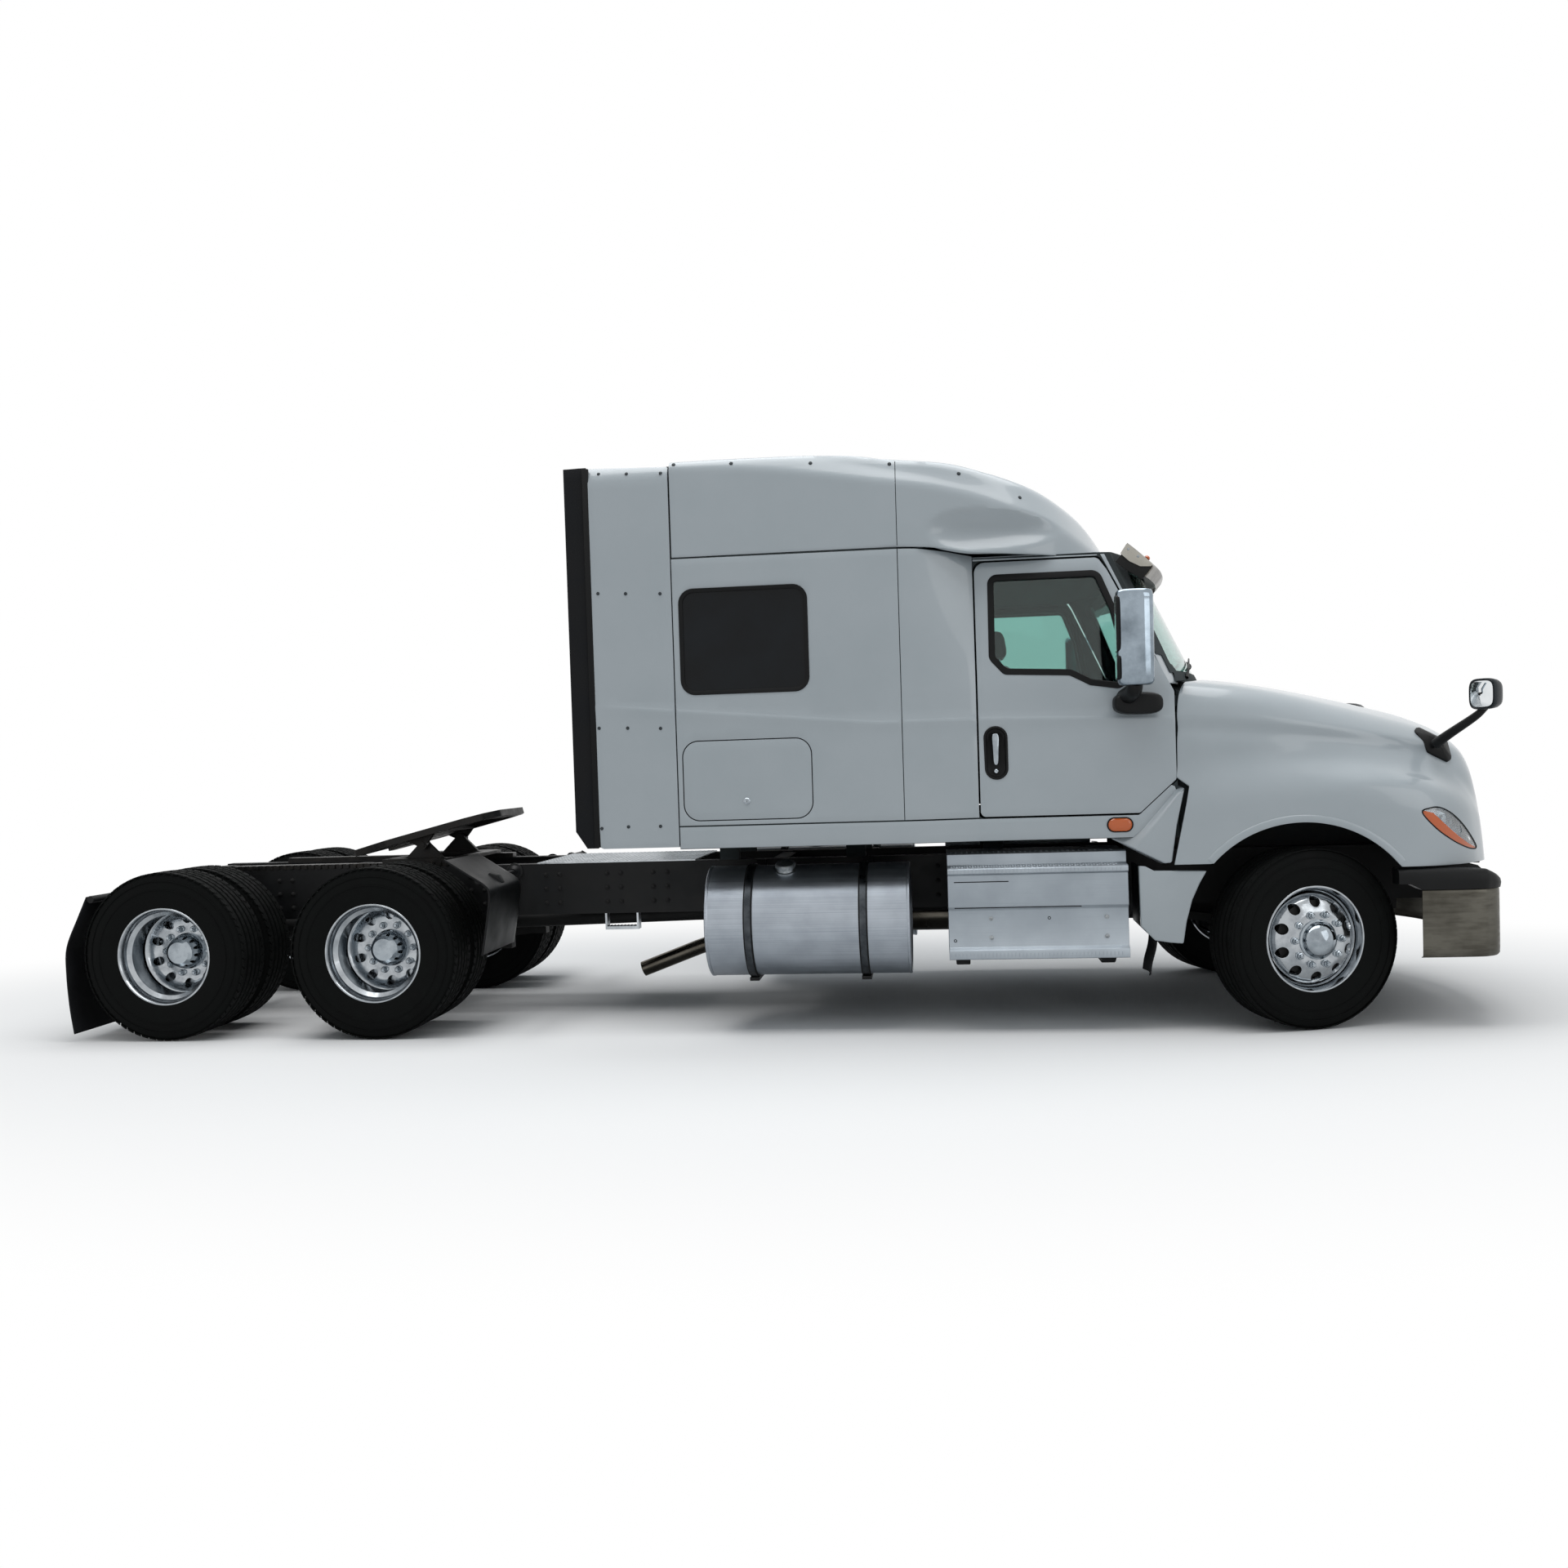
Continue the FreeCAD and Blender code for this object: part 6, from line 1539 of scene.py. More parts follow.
def bumperLine(inset=0.0):
    # plan curve of the bumper, from the left end round the nose to the right one
    b = bumperShape
    n = b["nose"] - inset
    half = [(0.62, 1.1845 - inset), (0.78, 1.1825 - inset), (0.93, 1.174 - inset), (0.988, 1.15 - inset * 0.9),
            (1.043 - inset * 0.7, 1.105 - inset * 0.7), (1.078 - inset * 0.8, 1.02),
            (n - b["bend"] * 0.88 ** 2 - 0.012, 0.88)]
    half += [(n - b["bend"] * y * y, y) for y in (0.66, 0.44, 0.22)]
    return smoothPath(half + [(n, 0.0)] + [(x, -y) for x, y in reversed(half)], 6)


def addBumper():
    low, high = bumperShape["low"], bumperShape["high"]
    levels = ((low, 0.03), (low + 0.002, 0.012), (low + 0.014, 0.002), (low + 0.05, 0.0), (0.52, 0.0), (0.6, 0.0),
              (0.68, 0.0), (high - 0.03, 0.0), (high - 0.01, 0.002), (high - 0.001, 0.01), (high - 0.001, 0.026))
    rows = [[(x, y, z) for x, y in bumperLine(inset)] for z, inset in levels]
    piece("bumper", *sheetOf(rows), "chassis", "steel_bright", bumperAluminium, outwards=(1, 0, 0),
          wall=0.004, sharp=40, replaced=("bumper",))
    for side, s in reversed(sides.items()):
        label = side.capitalize()
        # black cap along the end of the bumper, fading out ahead of the lamp
        path = [p for p in bumperLine(0.004) if p[1] * s > 0.8 and p[0] > 0.6]
        path = [(0.5, s * 1.175), (0.56, s * 1.178)] + sorted(path, key=lambda p: (p[0] - 0.62) - abs(p[1]) * 3)
        rows = []
        for x, y in path:
            t = blendTo(0.96, 1.1, x)
            top = 0.884 - 0.008 * blendTo(0.75, 0.96, x) - 0.055 * t
            deep = 0.1 - 0.04 * t
            nx, ny = Vector((0.0, s)) if x < 0.9 else Vector((x - 0.8, y - s * 0.8)).normalized()
            low = 0.768 if x > 0.6 else 0.8
            rows.append([(x + nx * a, y + ny * a, low + (top - low) * h) for a, h in
                         ((0.0, 0.0), (0.01, 0.008), (0.014, 0.4), (0.01, 0.72), (-0.002, 0.92), (-0.022, 1.0),
                          (-deep, 1.0), (-deep, 0.0))])
        piece("bumperCap" + label, *capped(rows), "chassis", *plastic, sharp=45)
        arm = box(0.95, 1.238, s * 0.345, s * 0.425, 0.655, 0.77)
        piece("bumperArm" + label, *arm, "chassis", *chassisSteel, bevel=0.006)


# lamps, grille, mirrors and visor
def addLamp(s, label):
    outline = lampOutline
    memory = {}

    def face(x, z, h):
        key = (round(x, 4), round(z, 4))
        if key not in memory:
            memory[key] = hoodSkinAt(min(x, 0.995), z)
        return (x, s * (memory[key] + h), z)
    inner = grown(outline, -0.0035)
    split = [(0.65, 1.198), (0.7, 1.184), (0.745, 1.143), (0.8, 1.094), (0.86, 1.048), (0.925, 1.006),
             (0.982, 0.98)]
    low = sorted([p for p in inner if p[1] < steady(split, p[0]) + 0.0005], key=lambda p: p[0])
    high = sorted([p for p in inner if p not in low], key=lambda p: p[0])
    for name, loop, material in (("lensClear", split + high[::-1], clearLens),
                                 ("lensAmber", low + split[::-1], amberLens)):
        shape = filled(loop, [], lambda x, z: face(x, z, -0.003), 0.02)
        piece(name + label, *shape, "hood", "lamp_lens", material, outwards=(0, s, 0), wall=0.004,
              replaced=("headlights",) if name == "lensClear" else ())
    bowed = lambda x, z: face(x, z, -0.055 + 0.03 * math.cos((x - 0.8) * 16))
    back = filled(grown(outline, 0.004), [], bowed, 0.02)
    piece("lampReflector" + label, *back, "hood", *lampChrome, outwards=(0, s, 0), wall=0.003)
    edge = [(0.003, -0.003), (0.003, -0.045), (-0.002, -0.045), (-0.002, -0.004)]
    piece("lampWall" + label, *band(outline, edge, face), "hood", *lampChrome)
    out = Vector((0.35, s * 0.9, 0.1)).normalized()
    for k, (x, z, r) in enumerate(((0.775, 1.145, 0.03), (0.845, 1.085, 0.036))):
        bowl = [(-0.045, 0.004), (-0.04, r * 0.55), (-0.022, r * 0.86), (0.0, r), (0.003, r * 0.97),
                (-0.018, r * 0.8), (-0.036, r * 0.48), (-0.041, 0.003)]
        piece("lampBowl%s%d" % (label, k), *lathe(bowl, face(x, z, -0.014), out, 36), "hood", *lampChrome, sharp=50)
    seal = [(0.0035, -0.006), (0.0035, 0.0008), (-0.0035, 0.0008), (-0.0035, -0.006)]
    piece("lampSeal" + label, *band(outline, seal, face), "hood", *rubber)


def addGrille():
    g = {"half": 0.552, "low": 0.85, "high": 1.402, "bars": 8, "inset": 0.012}
    at = lambda y, z, h=0.0: (float(noseLean(z)) - 0.219 * y * y - g["inset"] + h, y, z)
    rim = [(-g["half"], g["low"]), (g["half"], g["low"]), (g["half"], 1.3), (0.495, g["high"]), (-0.495, g["high"]),
           (-g["half"], 1.3)]
    section = [(-0.004, -0.02), (-0.004, 0.008), (-0.012, 0.013), (-0.03, 0.012), (-0.04, 0.002), (-0.04, -0.02)]
    piece("grilleFrame", *band(roundCorners(rim, 0.05, 6), section, at), "hood", "grille_plastic", chrome,
          replaced=("grille",))
    blade = ((-0.03, -0.012), (-0.002, -0.006), (0.004, 0.0), (-0.001, 0.007), (-0.03, 0.012))
    for k in range(g["bars"]):
        z = g["low"] + 0.06 + k * (g["high"] - g["low"] - 0.115) / (g["bars"] - 1)
        half = 0.525 if z < 1.3 else 0.525 - (z - 1.3) * 0.55
        rows = [[at(y, z + dz, dx) for dx, dz in blade] for y in np.linspace(-half, half, 25)]
        piece("grilleBar%d" % k, *capped(rows), "hood", *grilleBlack, bevel=0.0012)
    screen = [[at(y, z, -0.045) for y in np.linspace(-0.55, 0.55, 25)]
              for z in np.linspace(g["low"] + 0.01, g["high"] - 0.01, 20)]
    piece("grilleScreen", *sheetOf(screen), "hood", *grilleBlack, outwards=(1, 0, 0), wall=0.003)


def headRing(w, h, power=4.0, n=40):
    # a rounded rectangle as a ring of (a, b)
    out = []
    for k in range(n):
        t = 2 * math.pi * k / n
        c, d = math.cos(t), math.sin(t)
        r = (abs(c) ** power + abs(d) ** power) ** (-1 / power)
        out.append((w * r * c, h * r * d))
    return out


def addHoodMirror(s, label):
    drop = 0.035 if s > 0 else 0.0
    centre = Vector((0.96, s * 1.19, 1.8205 - drop))
    back = Vector((0.8, -s * 0.6, 0.0)).normalized()      # from the glass to the back of the shell
    side = Vector((0.6, s * 0.8, 0.0)).normalized()
    up = Vector((0, 0, 1))
    place = lambda d, a, b: tuple(centre + back * (d - 0.03) + side * a + up * b)
    shell = ((0.0, 0.93, 0.93), (-0.004, 0.97, 0.97), (0.0, 1.0, 1.0), (0.02, 1.0, 1.0), (0.055, 0.95, 0.95),
             (0.085, 0.82, 0.84), (0.105, 0.62, 0.66), (0.116, 0.36, 0.4))
    rows = [[place(d, a * f, b * g) for a, b in headRing(0.076, 0.083)] for d, f, g in shell]
    piece("hoodMirrorShell" + label, *capped(rows), "hood", "black_plastic", hoodMirrorShell, sharp=50,
          replaced=("hood_mirrors",))
    glass = [[place(d, a * f, b * f) for a, b in headRing(0.063, 0.07)]
             for d, f in ((-0.002, 1.0), (-0.006, 1.0), (-0.007, 0.96))]
    piece("hoodMirrorGlass" + label, *capped(glass), "hood", *silvered, sharp=40)
    arm = [(0.8, s * 0.905, 1.56), (0.84, s * 0.985, 1.61), (0.93, s * 1.115, 1.7 - drop * 0.6),
           (0.968, s * 1.165, 1.75 - drop)]
    tube = pipe(smoothPath(arm, 5), [0.03 - 0.0008 * k for k in range(16)], 16)
    piece("hoodMirrorArm" + label, *tube, "hood", *plastic)
    pad = roundCorners([(0.712, 1.636), (0.745, 1.652), (0.9, 1.566), (0.905, 1.47), (0.878, 1.452), (0.762, 1.512)],
                       0.02, 5)
    rows = []
    for f, h in ((1.0, -0.01), (1.0, 0.008), (0.94, 0.016), (0.6, 0.026), (0.28, 0.036)):
        spots = [onSolid(hoodSolid, 0.815 + (x - 0.815) * f, 0.5, 1.556 + (z - 1.556) * f, s) for x, z in pad]
        rows.append([tuple(Vector(at) + Vector(out) * h) for at, out in spots])
    piece("hoodMirrorPad" + label, *capped(rows), "hood", *plastic, sharp=40)


def addDoorMirror(s, side):
    label = side.capitalize()
    body = "door_" + side
    low, high = 1.925, 2.436
    x, y = -0.911, 1.4425
    levels = ((low, 0.72), (low + 0.004, 0.86), (low + 0.018, 0.96), (low + 0.05, 1.0), (2.05, 1.0), (2.18, 1.0),
              (2.31, 1.0), (high - 0.045, 1.0), (high - 0.04, 1.015), (high - 0.034, 1.0), (high - 0.014, 0.97),
              (high - 0.004, 0.9), (high, 0.74))
    squeeze = lambda a: 1.0 if a < 0 else 1 - 0.25 * (a / 0.0985) ** 2
    rows = [[(x + a * f, s * (y + b * f * squeeze(a)), z) for a, b in headRing(0.0985, 0.0565, 2.8, 48)]
            for z, f in levels]
    piece("mirrorShell" + label, *capped(rows), body, "steel_bright", mirrorChrome, sharp=50,
          replaced=("door_mirror_" + side,))
    for name, z0, z1 in (("Tall", 2.105, 2.405), ("Wide", 1.955, 2.085)):
        middle, half = (z0 + z1) / 2, (z1 - z0) / 2
        frame = ((-0.995, 1.0), (-1.0105, 1.0), (-1.0115, 0.96), (-1.008, 0.93))
        glass = ((-1.0, 1.0), (-1.0115, 1.0), (-1.0118, 0.98))
        for title, rings, w, h, finish in (("mirrorFrame", frame, 0.047, half, plastic),
                                           ("mirrorPane", glass, 0.0435, half - 0.004, silvered)):
            rows = [[(at, s * (y + a * f), middle + b * f) for a, b in headRing(w, h, 7.0)] for at, f in rings]
            piece(title + name + label, *capped(rows), body, *finish, sharp=50)
    rows = [[(-0.872 + a * f, s * y, 1.838 + b * f - 0.02 * (a + 0.13) * f) for a, b in headRing(0.134, 0.062, 3.2)]
            for y, f in ((1.128, 0.8), (1.14, 0.93), (1.17, 1.0), (1.25, 1.0), (1.278, 0.95), (1.288, 0.78))]
    piece("mirrorBase" + label, *capped(rows), body, *plastic, sharp=50, levels=1)
    arm = [(-0.935, s * 1.2, 1.868), (-0.925, s * 1.3, 1.885), (-0.915, s * 1.39, 1.905),
           (-0.911, s * 1.43, 1.945)]
    tube = pipe(smoothPath(arm, 5), [0.052 - 0.0008 * k for k in range(16)], 20)
    piece("mirrorArm" + label, *tube, body, *plastic)


def addVisor():
    # drawn full, then brought in towards its top edge
    near = lambda line: [(-0.884 + (x + 0.884) * 0.8, 2.744 + (z - 2.744) * 0.8) for x, z in line]
    half = 1.043
    bow = lambda y: 0.17 * (half ** 2 - y * y)
    fold = near([(-0.884, 2.744), (-0.852, 2.716), (-0.812, 2.68), (-0.77, 2.64), (-0.735, 2.606), (-0.719, 2.588),
                 (-0.714, 2.574), (-0.719, 2.56), (-0.742, 2.532), (-0.768, 2.503)])
    rows = [[(x + bow(y), y, z) for x, z in fold] for y in np.linspace(-half, half, 61)]
    piece("sunVisor", *sheetOf(rows), "chassis", *polishedSheet, outwards=(1, 0, 0), wall=0.0028, bevel=0.001,
          replaced=("sun_visor",))
    closing = near([(-0.925, 2.668), (-0.89, 2.735), (-0.718, 2.586), (-0.72, 2.562), (-0.788, 2.484),
                    (-0.9, 2.56), (-0.968, 2.616)])
    end = roundCorners(near([(-0.934, 2.672), (-0.886, 2.744), (-0.715, 2.59), (-0.722, 2.572), (-0.8, 2.576),
                             (-0.872, 2.614)]), 0.008, 4)
    for side, s in sides.items():
        for name, outline, low, high, metal in (("visorClosing", closing, 1.036, 1.04, castBlack),
                                                ("visorEnd", end, 1.0425, 1.046, visorPlate)):
            piece(name + side.capitalize(), *prism(outline, s * low, s * high), "chassis", "steel_bright", metal,
                  bevel=0.0008)
        places = [((x, s * 1.046, z), (0, s, 0)) for x, z in near([(-0.878, 2.7), (-0.812, 2.646)])]
        repeated("visorRivets" + side.capitalize(), places, screwHead(0.008, 0.004), "chassis", *zincPlate)
        strut = [(x, s * 0.7, z) for x, z in
                 ((-0.8 + bow(0.7), 2.66), (-0.82, 2.65), (frontX(0.7, 2.64) + 0.004, 2.64))]
        piece("visorStrut" + side.capitalize(), *pipe(smoothPath(strut, 4), 0.01, 12), "chassis", *polishedSheet)
    dome = [(0.0, 0.017), (0.004, 0.017), (0.007, 0.015), (0.012, 0.012), (0.014, 0.007), (0.015, 0.0)]
    for k, y in enumerate((-0.86, -0.43, 0.0, 0.43, 0.86)):
        (x, z), = near([(-0.79, 2.661)])
        lamp = lathe(dome, (x + bow(y), y, z), (0.69, 0, 0.72), 24, closed=False)
        piece("visorLamp%d" % k, *lamp, "chassis", "lamp_lens", amberLens)


def addDeck():
    # raised lozenges on the deck plate, alternate ones turned
    places = [((-4.535 + i * 0.03, -0.415 + j * 0.0305, 0.978), (0, 0, 1), (0.7, 0.7 if (i + j) % 2 else -0.7, 0))
              for i in range(34) for j in range(28)]
    bar = capped([[(x, -w, -0.001), (x, w, -0.001), (x, w * 0.5, h), (x, -w * 0.5, h)] for x, w, h in
                  ((-0.011, 0.001, 0.0004), (-0.006, 0.0026, 0.0016), (0.0, 0.0032, 0.002), (0.006, 0.0026, 0.0016),
                   (0.011, 0.001, 0.0004))])
    repeated("deckLozenges", places, bar, "chassis", "brushed_aluminium", deckPlateMetal)
    teeth = [((-6.59 + k * 0.048, s * 0.4255, 0.985), (0, s, 0), (1, 0, 0)) for k in range(34) for s in (-1, 1)]
    tooth = capped([[(-w, -d, z), (w, -d, z), (w, d, z), (-w, d, z)] for w, d, z in
                    ((0.013, 0.014, -0.002), (0.007, 0.012, 0.01))])
    repeated("trackTeeth", teeth, tooth, "chassis", "greased_steel", greased)
    stations = (-0.15, -0.55, -1.35, -1.95, -2.75, -3.25, -3.75, -4.05, -4.45, -4.95, -5.35, -5.85, -6.25, -6.65, -6.95)
    bolts = [((x + dx, s * 0.43, z), (0, s, 0)) for x in stations for dx in (-0.045, 0.045)
             for z in (0.72, 0.81, 0.9) for s in (-1, 1)]
    repeated("frameBolts", bolts, nutShape(0.024, 0.012, 0.008), "chassis", "chassis_black", castBlack, spread=0.5)
    rungs = [((-4.09 + 0.022 * k, -0.3925, 0.5605), (0, 0, 1), (0, 1, 0)) for k in range(9)]
    rib = prism([(-0.003, -0.001), (0.003, -0.001), (0.0018, 0.003), (-0.0018, 0.003)], -0.034, 0.034, "yz")
    repeated("stirrupRibs", rungs, rib, "chassis", *stepSheet)


for side, s in sides.items():
    for add in (addTank, addStep, addFenders, addSkirt, addLamp, addHoodMirror):
        add(s, side.capitalize())
    addDoorMirror(s, side)
addBumper()
addGrille()
addVisor()
addDeck()
coatNode("deck_plate_and_step", deckPlateMetal)
print("outfit ready")


# cab interior
def readPoints(obj, key):
    values = np.empty(len(obj.data.vertices) * 3)
    obj.data.vertices.foreach_get(key, values)
    return values.reshape(-1, 3)


def padded(name, shape, body, slot, material, voxel, fill, channels=None, cap=0.012, replaced=()):
    # a stuffed pad: voxel skin, blown up by a cloth simulation with its reach capped, then its sewn channels
    obj = placed(name, *shape)
    tidyMesh(obj, None)
    modify(obj, "REMESH", mode="VOXEL", voxel_size=voxel, use_smooth_shade=True)
    bake(obj)
    obj.data.name = name
    before = readPoints(obj, "co")
    sim = obj.modifiers.new("cloth", "CLOTH")
    sim.settings.quality = 4
    sim.settings.mass = 0.4
    sim.settings.use_pressure = True
    sim.settings.uniform_pressure_force = 4.0
    sim.settings.tension_stiffness = sim.settings.compression_stiffness = 25
    sim.settings.bending_stiffness = 1.0
    sim.settings.effector_weights.gravity = 0
    sim.point_cache.frame_start, sim.point_cache.frame_end = 1, 20
    for frameNumber in range(1, 21):
        scene.frame_set(frameNumber)
    bake(obj)
    scene.frame_set(1)
    move = readPoints(obj, "co") - before
    reach = np.linalg.norm(move, axis=1, keepdims=True)
    after = before + move * np.minimum(1, cap / np.maximum(reach, 1e-9))
    if channels:
        after = after - readPoints(obj, "normal") * channels(after - np.array([axleX, 0, 0]))[:, None]
    obj.data.vertices.foreach_set("co", after.ravel())
    obj.data.update()
    modify(obj, "SMOOTH", iterations=3)
    bake(obj)
    obj.data.materials.clear()
    obj.data.materials.append(material)
    settle(obj, body, slot, 180, replaced)
    return obj


def pillow(x0, x1, y0, y1, z0, z1, lean=None):
    # a closed pad: its sides drawn in between its corners; lean(z) shifts x with height
    pull = {"sides": 0.012, "ends": 0.16}

    def at(u, v, w):
        a, b, c = (np.sign(t) * abs(t) ** 0.92 for t in (u, v, w))
        x = (x0 + x1) / 2 + (x1 - x0) / 2 * a * (1 - pull["sides"] * (1 - v * v))
        y = (y0 + y1) / 2 + (y1 - y0) / 2 * b * (1 - pull["sides"] * (1 - u * u))
        z = (z0 + z1) / 2 + ((z1 - z0) / 2) * c * (1 - pull["ends"] * (u ** 4 + v ** 4) / 2)
        return (x + (lean(z) if lean else 0.0), y, z)
    steps = np.linspace(-1, 1, 9)
    sheets = []
    for axis in range(3):
        for k in (-1, 1):
            rows = []
            for p in steps:
                spots = [(k, p * k, q) for q in steps]
                rows.append([at(*(spot[(i - axis) % 3] for i in range(3))) for spot in spots])
            sheets.append(sheetOf(rows))
    return joined(sheets)


def lines(values, places, width, depth):
    # grooves of a seat cover at the places along one direction
    total = np.zeros(len(values))
    for p in places:
        total = np.maximum(total, depth * np.exp(-((values - p) / width) ** 2))
    return total


def addSeats():
    seat = {"x": (-1.548, -1.102), "half": 0.246, "z": (1.512, 1.622), "voxel": 0.01}
    frustum = ((1.152, 1.0), (1.2, 1.0), (1.24, 0.86), (1.4, 0.8), (1.46, 0.98), (1.503, 1.0))
    for side, s in sides.items():
        label = side.capitalize()
        y = 0.52 * s
        cushion = pillow(*seat["x"], y - seat["half"], y + seat["half"], *seat["z"])
        padded("seatCushion" + label, cushion, "chassis", *seatPad, seat["voxel"], 0.75,
               lambda p, y=y: lines(p[:, 1], (y - 0.15, y + 0.15), 0.01, 0.009)
               + lines(p[:, 0], (-1.42, -1.3, -1.18), 0.009, 0.005) * (abs(p[:, 1] - y) < 0.15),
               replaced=("seats",) if s > 0 else ())
        lean = lambda z: -0.157 * (z - 1.63)
        back = pillow(-1.558, -1.462, y - 0.236, y + 0.236, 1.655, 2.12, lean=lean)
        padded("seatBack" + label, back, "chassis", *seatPad, seat["voxel"], 0.75,
               lambda p, y=y: lines(p[:, 1], (y - 0.14, y + 0.14), 0.01, 0.009)
               + lines(p[:, 2], (1.78, 1.9, 2.02), 0.009, 0.005) * (abs(p[:, 1] - y) < 0.14))
        head = pillow(-1.555, -1.47, y - 0.15, y + 0.15, 2.15, 2.318, lean=lean)
        padded("headRest" + label, head, "chassis", *seatPad, seat["voxel"], 0.8)
        for k in (-1, 1):
            bar = [(-1.51 + lean(z), y + 0.06 * k, z) for z in (2.08, 2.19)]
            piece("headRestPost%s%d" % (label, k + 1), *pipe(bar, 0.008, 12), "chassis", *chromed)
        foot = ((-1.495, y - 0.175), (-1.155, y - 0.175), (-1.155, y + 0.175), (-1.495, y + 0.175))
        base = [[(x * f - 1.325 * (f - 1), y + (yy - y) * f, z) for x, yy in foot] for z, f in frustum]
        piece("seatBase" + label, *capped(base), "chassis", *plastic, bevel=0.012, segments=3)
        for k in (-1, 1):
            middle = y + k * 0.285
            rest = [[(x, middle + a, z + b + 0.02 * (x + 1.5)) for a, b in headRing(0.026, 0.022, 3.0, 16)]
                    for x, z in ((-1.56, 1.8), (-1.52, 1.812), (-1.3, 1.812), (-1.2, 1.806), (-1.18, 1.8))]
            if abs(middle) < 0.95:
                piece("armRest%s%d" % (label, k + 1), *capped(rest), "chassis", *dashShell, levels=1)
    mattress = pillow(-3.398, -2.612, -1.112, 1.112, 1.632, 1.775)
    padded("bunkMattress", mattress, "chassis", "mattress_fabric", mattressCloth, 0.02, 0.85,
           lambda p: lines(p[:, 1], tuple(np.arange(-0.95, 1.0, 0.19)), 0.012, 0.007)
           + lines(p[:, 0], (-3.2, -3.0, -2.8), 0.012, 0.007),
           cap=0.01, replaced=("bunk_mattress",))


dashShape = {
    "half": 1.028,
    "profile": [(-0.642, 1.152), (-0.642, 1.895), (-0.7, 1.9), (-0.765, 1.893), (-0.845, 1.828), (-0.915, 1.735),
                (-0.93, 1.695), (-0.925, 1.64), (-0.905, 1.54), (-0.885, 1.5), (-0.8, 1.458), (-0.775, 1.42),
                (-0.762, 1.152)],
    "driver": 0.52, "top": 1.895,
    "arches": ((-0.7, 0.2, 0.01), (-0.78, 0.225, 0.04), (-0.86, 0.235, 0.05), (-0.9, 0.23, 0.045)),  # x, half, rise
    "face": {"x": -0.765, "z": 1.893, "run": 0.15, "fall": 0.158, "out": (-0.73, 0, 0.68)},
    "wheel": {"x": -1.0, "z": 1.8, "tilt": 35, "radius": 0.215, "rim": 0.0155, "spokes": (25, 155, 205, 335)},
    "lining": {"x": (-2.15, -1.02), "half": 0.955, "z": 2.645, "crown": 0.012},
    "trim": {"outline": [(-2.55, 1.3), (-1.8, 1.3), (-1.8, 2.1), (-1.97, 2.5), (-2.55, 2.5)], "inwards": 0.056},
}


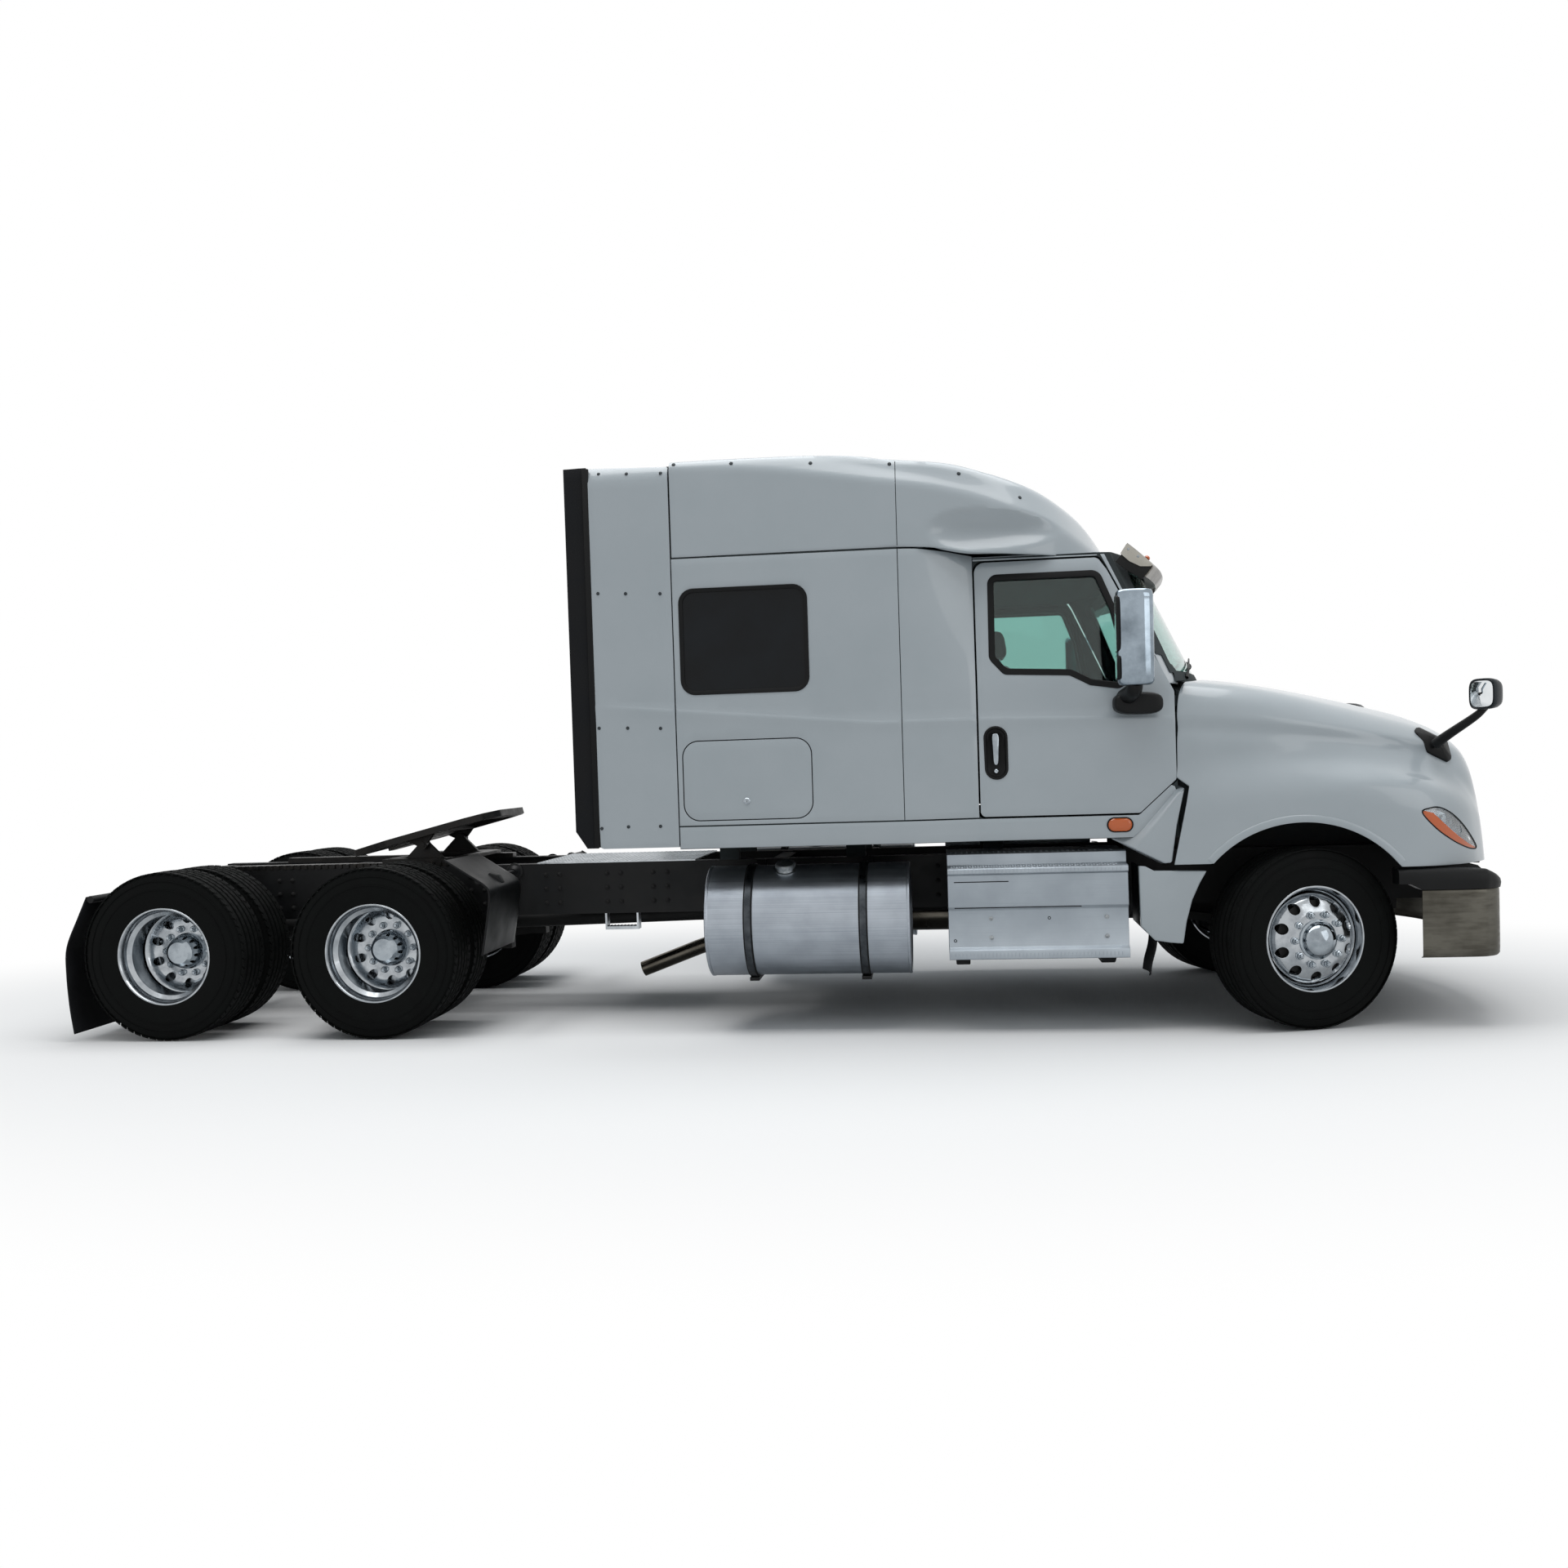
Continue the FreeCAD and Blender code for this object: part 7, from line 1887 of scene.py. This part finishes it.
def addDash():
    p, f, w = dashShape, dashShape["face"], dashShape["wheel"]
    rows = [[(x, y, z) for x, z in p["profile"]] for y in np.linspace(-p["half"], p["half"], 49)]
    piece("dashBody", *capped(rows), "chassis", *dashShell, bevel=0.006, replaced=("dashboard",))
    hood = [[(x, p["driver"] + half * math.cos(t), p["top"] + h * math.sin(t)) for t in np.linspace(0, math.pi, 15)]
            for x, half, h in p["arches"]]
    piece("dashBinnacle", *capped(hood), "chassis", *plastic, bevel=0.004)
    lie = lambda y, t, h: (f["x"] - f["run"] * t + h * f["out"][0], y, f["z"] - f["fall"] * t + h * f["out"][2])
    panels = (("dashGauges", 0.33, 0.71, 0.2, 0.98, darkGlass), ("dashScreen", -0.02, 0.22, 0.15, 0.9, darkGlass),
              ("dashVentLeft", 0.84, 0.96, 0.3, 0.8, blackPlastic),
              ("dashVentRight", -0.9, -0.72, 0.3, 0.8, blackPlastic),
              ("dashVentMiddle", -0.3, -0.1, 0.3, 0.8, blackPlastic))
    for name, y0, y1, t0, t1, material in panels:
        panel = roundCorners([(y0, t0), (y1, t0), (y1, t1), (y0, t1)], 0.02, 4)
        rows = [[lie(y, t, h) for y, t in grown(panel, d)]
                for d, h in ((0.004, -0.003), (0.004, 0.003), (-0.002, 0.006), (-0.006, 0.003))]
        piece(name, *capped(rows), "chassis", "black_plastic", material, sharp=30)
    slats = [(lie((y0 + y1) / 2, t, 0.004), f["out"], (0, 1, 0)) for _, y0, y1, *_ in panels[2:]
             for t in (0.4, 0.5, 0.6, 0.7)]
    slat = prism([(-0.0025, 0.0), (0.0025, 0.0), (0.0015, 0.006), (-0.0015, 0.006)], -0.045, 0.045, "yz")
    repeated("dashVentSlats", slats, slat, "chassis", *dashShell)
    # steering wheel: a padded rim, four spokes and a hub on its column
    c = Vector((w["x"], p["driver"], w["z"]))
    tilt = math.radians(w["tilt"])
    out = Vector((-math.sin(tilt), 0, math.cos(tilt)))
    ahead, left = Vector((math.cos(tilt), 0, math.sin(tilt))), Vector((0, 1, 0))
    ring = [tuple(c + (ahead * math.cos(a) + left * math.sin(a)) * w["radius"])
            for a in np.linspace(0, 2 * math.pi, 73)[:-1]]
    piece("steeringRim", *pipe(ring, w["rim"], 16, closed=True), "chassis", *rubber)
    for k, a in enumerate(w["spokes"]):
        d = ahead * math.sin(math.radians(a)) + left * math.cos(math.radians(a))
        line = [tuple(c + d * r + out * h) for r, h in ((0.04, -0.02), (0.12, -0.018), (0.205, 0.0))]
        piece("steeringSpoke%d" % k, *pipe(line, [0.018, 0.011, 0.01], 12), "chassis", *plastic)
    pad = [(-0.045, 0.04), (-0.04, 0.068), (-0.01, 0.078), (0.004, 0.072), (0.012, 0.05), (0.015, 0.0)]
    piece("steeringHub", *lathe(pad, c, out, 40, closed=False), "chassis", *dashShell, sharp=50)
    column = [tuple(c - out * 0.03), tuple(c - out * 0.1), (-0.85, p["driver"], 1.59)]
    piece("steeringColumn", *pipe(column, [0.026, 0.034, 0.036], 20), "chassis", *plastic)
    for side, s in sides.items():
        label = side.capitalize()
        shape = filled(roundCorners(p["trim"]["outline"], 0.06, 6), [], onSide(s, -p["trim"]["inwards"]), 0.06)
        piece("sideTrim" + label, *shape, "chassis", "black_plastic", trimVinyl, outwards=(0, -s, 0), wall=0.01,
              bevel=0.004, segments=3)
    r = p["lining"]
    lining = [[(x, y, r["z"] - r["crown"] * y ** 2) for y in np.linspace(-r["half"], r["half"], 21)]
              for x in np.linspace(*r["x"], 12)]
    piece("headLining", *sheetOf(lining), "chassis", "black_plastic", headVinyl, outwards=(0, 0, -1), wall=0.006)


addSeats()
addDash()
print("interior ready")


# floor, light and camera
def studio():
    # a pale floor that shows as white to the camera and keeps the shadow, and soft light from above
    light = {"floor": 80.0, "sky": 0.4, "key": 800.0, "front": 80.0}
    material = bpy.data.materials.new("paperFloor")
    material.use_nodes = True
    tree = material.node_tree
    shader = tree.nodes["Principled BSDF"]
    shader.inputs["Base Color"].default_value = grey(0.86)
    shader.inputs["Roughness"].default_value = 0.9
    shader.inputs["Specular IOR Level"].default_value = 0.0
    # towards its edges the floor shows as plain white, so that it has no horizon
    place = addNode(tree, "ShaderNodeTexCoord")
    flat = addNode(tree, "ShaderNodeVectorMath", {"operation": "MULTIPLY", 1: (0.62, 1.0, 0.0)}, {0: (place, "Object")})
    far = addNode(tree, "ShaderNodeVectorMath", {"operation": "LENGTH"}, {0: (flat, "Vector")})
    ramp = addNode(tree, "ShaderNodeMapRange", {"interpolation_type": "SMOOTHSTEP", "From Min": 2.2, "From Max": 5.2},
                   {"Value": (far, "Value")})
    path = addNode(tree, "ShaderNodeLightPath")
    near = addNode(tree, "ShaderNodeMath", {"operation": "MAXIMUM"},
                   {0: (path, "Is Camera Ray"), 1: (path, "Is Glossy Ray")})
    either = addNode(tree, "ShaderNodeMath", {"operation": "MAXIMUM"},
                     {0: (near, "Value"), 1: (path, "Is Transmission Ray")})
    share = addNode(tree, "ShaderNodeMath", {"operation": "MULTIPLY"}, {0: (ramp, "Result"), 1: (either, "Value")})
    glow = addNode(tree, "ShaderNodeEmission", {"Color": (1.0, 1.0, 1.0, 1.0), "Strength": 1.0})
    blend = addNode(tree, "ShaderNodeMixShader", {}, {0: (share, "Value"), 1: (shader, "BSDF"), 2: (glow, "Emission")})
    tree.links.new(blend.outputs["Shader"], tree.nodes["Material Output"].inputs["Surface"])
    half = light["floor"] / 2
    mesh = bpy.data.meshes.new("floor")
    mesh.from_pydata([(-half, -half, 0), (half, -half, 0), (half, half, 0), (-half, half, 0)], [], [(0, 1, 2, 3)])
    floor = bpy.data.objects.new("floor", mesh)
    scene.collection.objects.link(floor)
    floor.data.materials.append(material)
    world = bpy.data.worlds.new("studio")
    scene.world = world
    world.use_nodes = True
    sky = world.node_tree
    rays = addNode(sky, "ShaderNodeLightPath")
    seen = addNode(sky, "ShaderNodeMath", {"operation": "MAXIMUM"},
                   {0: (rays, "Is Camera Ray"), 1: (rays, "Is Transmission Ray")})
    both = addNode(sky, "ShaderNodeMath", {"operation": "MAXIMUM"}, {0: (seen, "Value"), 1: (rays, "Is Glossy Ray")})
    plain = addNode(sky, "ShaderNodeBackground", {"Color": (0.9, 0.96, 1.0, 1.0), "Strength": light["sky"]})
    white = addNode(sky, "ShaderNodeBackground", {"Color": (1.0, 1.0, 1.0, 1.0), "Strength": 1.0})
    mix = addNode(sky, "ShaderNodeMixShader", {},
                  {0: (both, "Value"), 1: (plain, "Background"), 2: (white, "Background")})
    sky.links.new(mix.outputs["Shader"], sky.nodes["World Output"].inputs["Surface"])
    for name, place, aim, size, power in (("key", (0.0, -1.0, 9.0), (0.0, 0.0, 1.2), (12.0, 7.0), light["key"]),
                                          ("front", (9.0, -6.0, 4.0), (2.5, 0.0, 1.3), (5.0, 4.0), light["front"])):
        area = bpy.data.lights.new(name, "AREA")
        area.shape = "RECTANGLE"
        area.size, area.size_y = size
        area.energy = power
        lamp = bpy.data.objects.new(name, area)
        scene.collection.objects.link(lamp)
        lamp.location = place
        lamp.rotation_euler = (Vector(aim) - Vector(place)).to_track_quat("-Z", "Y").to_euler()


def cameraAt():
    view = {"place": (1.025, -8.89, 1.561), "yaw": 6.66, "pitch": -1.71, "roll": -1.81, "lens": 31.14,
            "shift": (0.002, 0.0133)}
    yaw, pitch, roll = (math.radians(view[k]) for k in ("yaw", "pitch", "roll"))
    ahead = Vector((-math.sin(yaw) * math.cos(pitch), math.cos(yaw) * math.cos(pitch), math.sin(pitch)))
    right = Vector((math.cos(yaw), math.sin(yaw), 0))
    up = right.cross(ahead)
    across = right * math.cos(roll) + up * math.sin(roll)
    above = up * math.cos(roll) - right * math.sin(roll)
    camera = bpy.data.objects.new("camera", bpy.data.cameras.new("camera"))
    camera.data.lens = view["lens"]
    camera.data.sensor_width = 36.0
    camera.data.shift_x, camera.data.shift_y = view["shift"]
    camera.matrix_world = Matrix.Translation(view["place"]) @ Matrix((across, above, -ahead)).transposed().to_4x4()
    scene.collection.objects.link(camera)
    scene.camera = camera


studio()
cameraAt()
scene.view_settings.view_transform = "Standard"
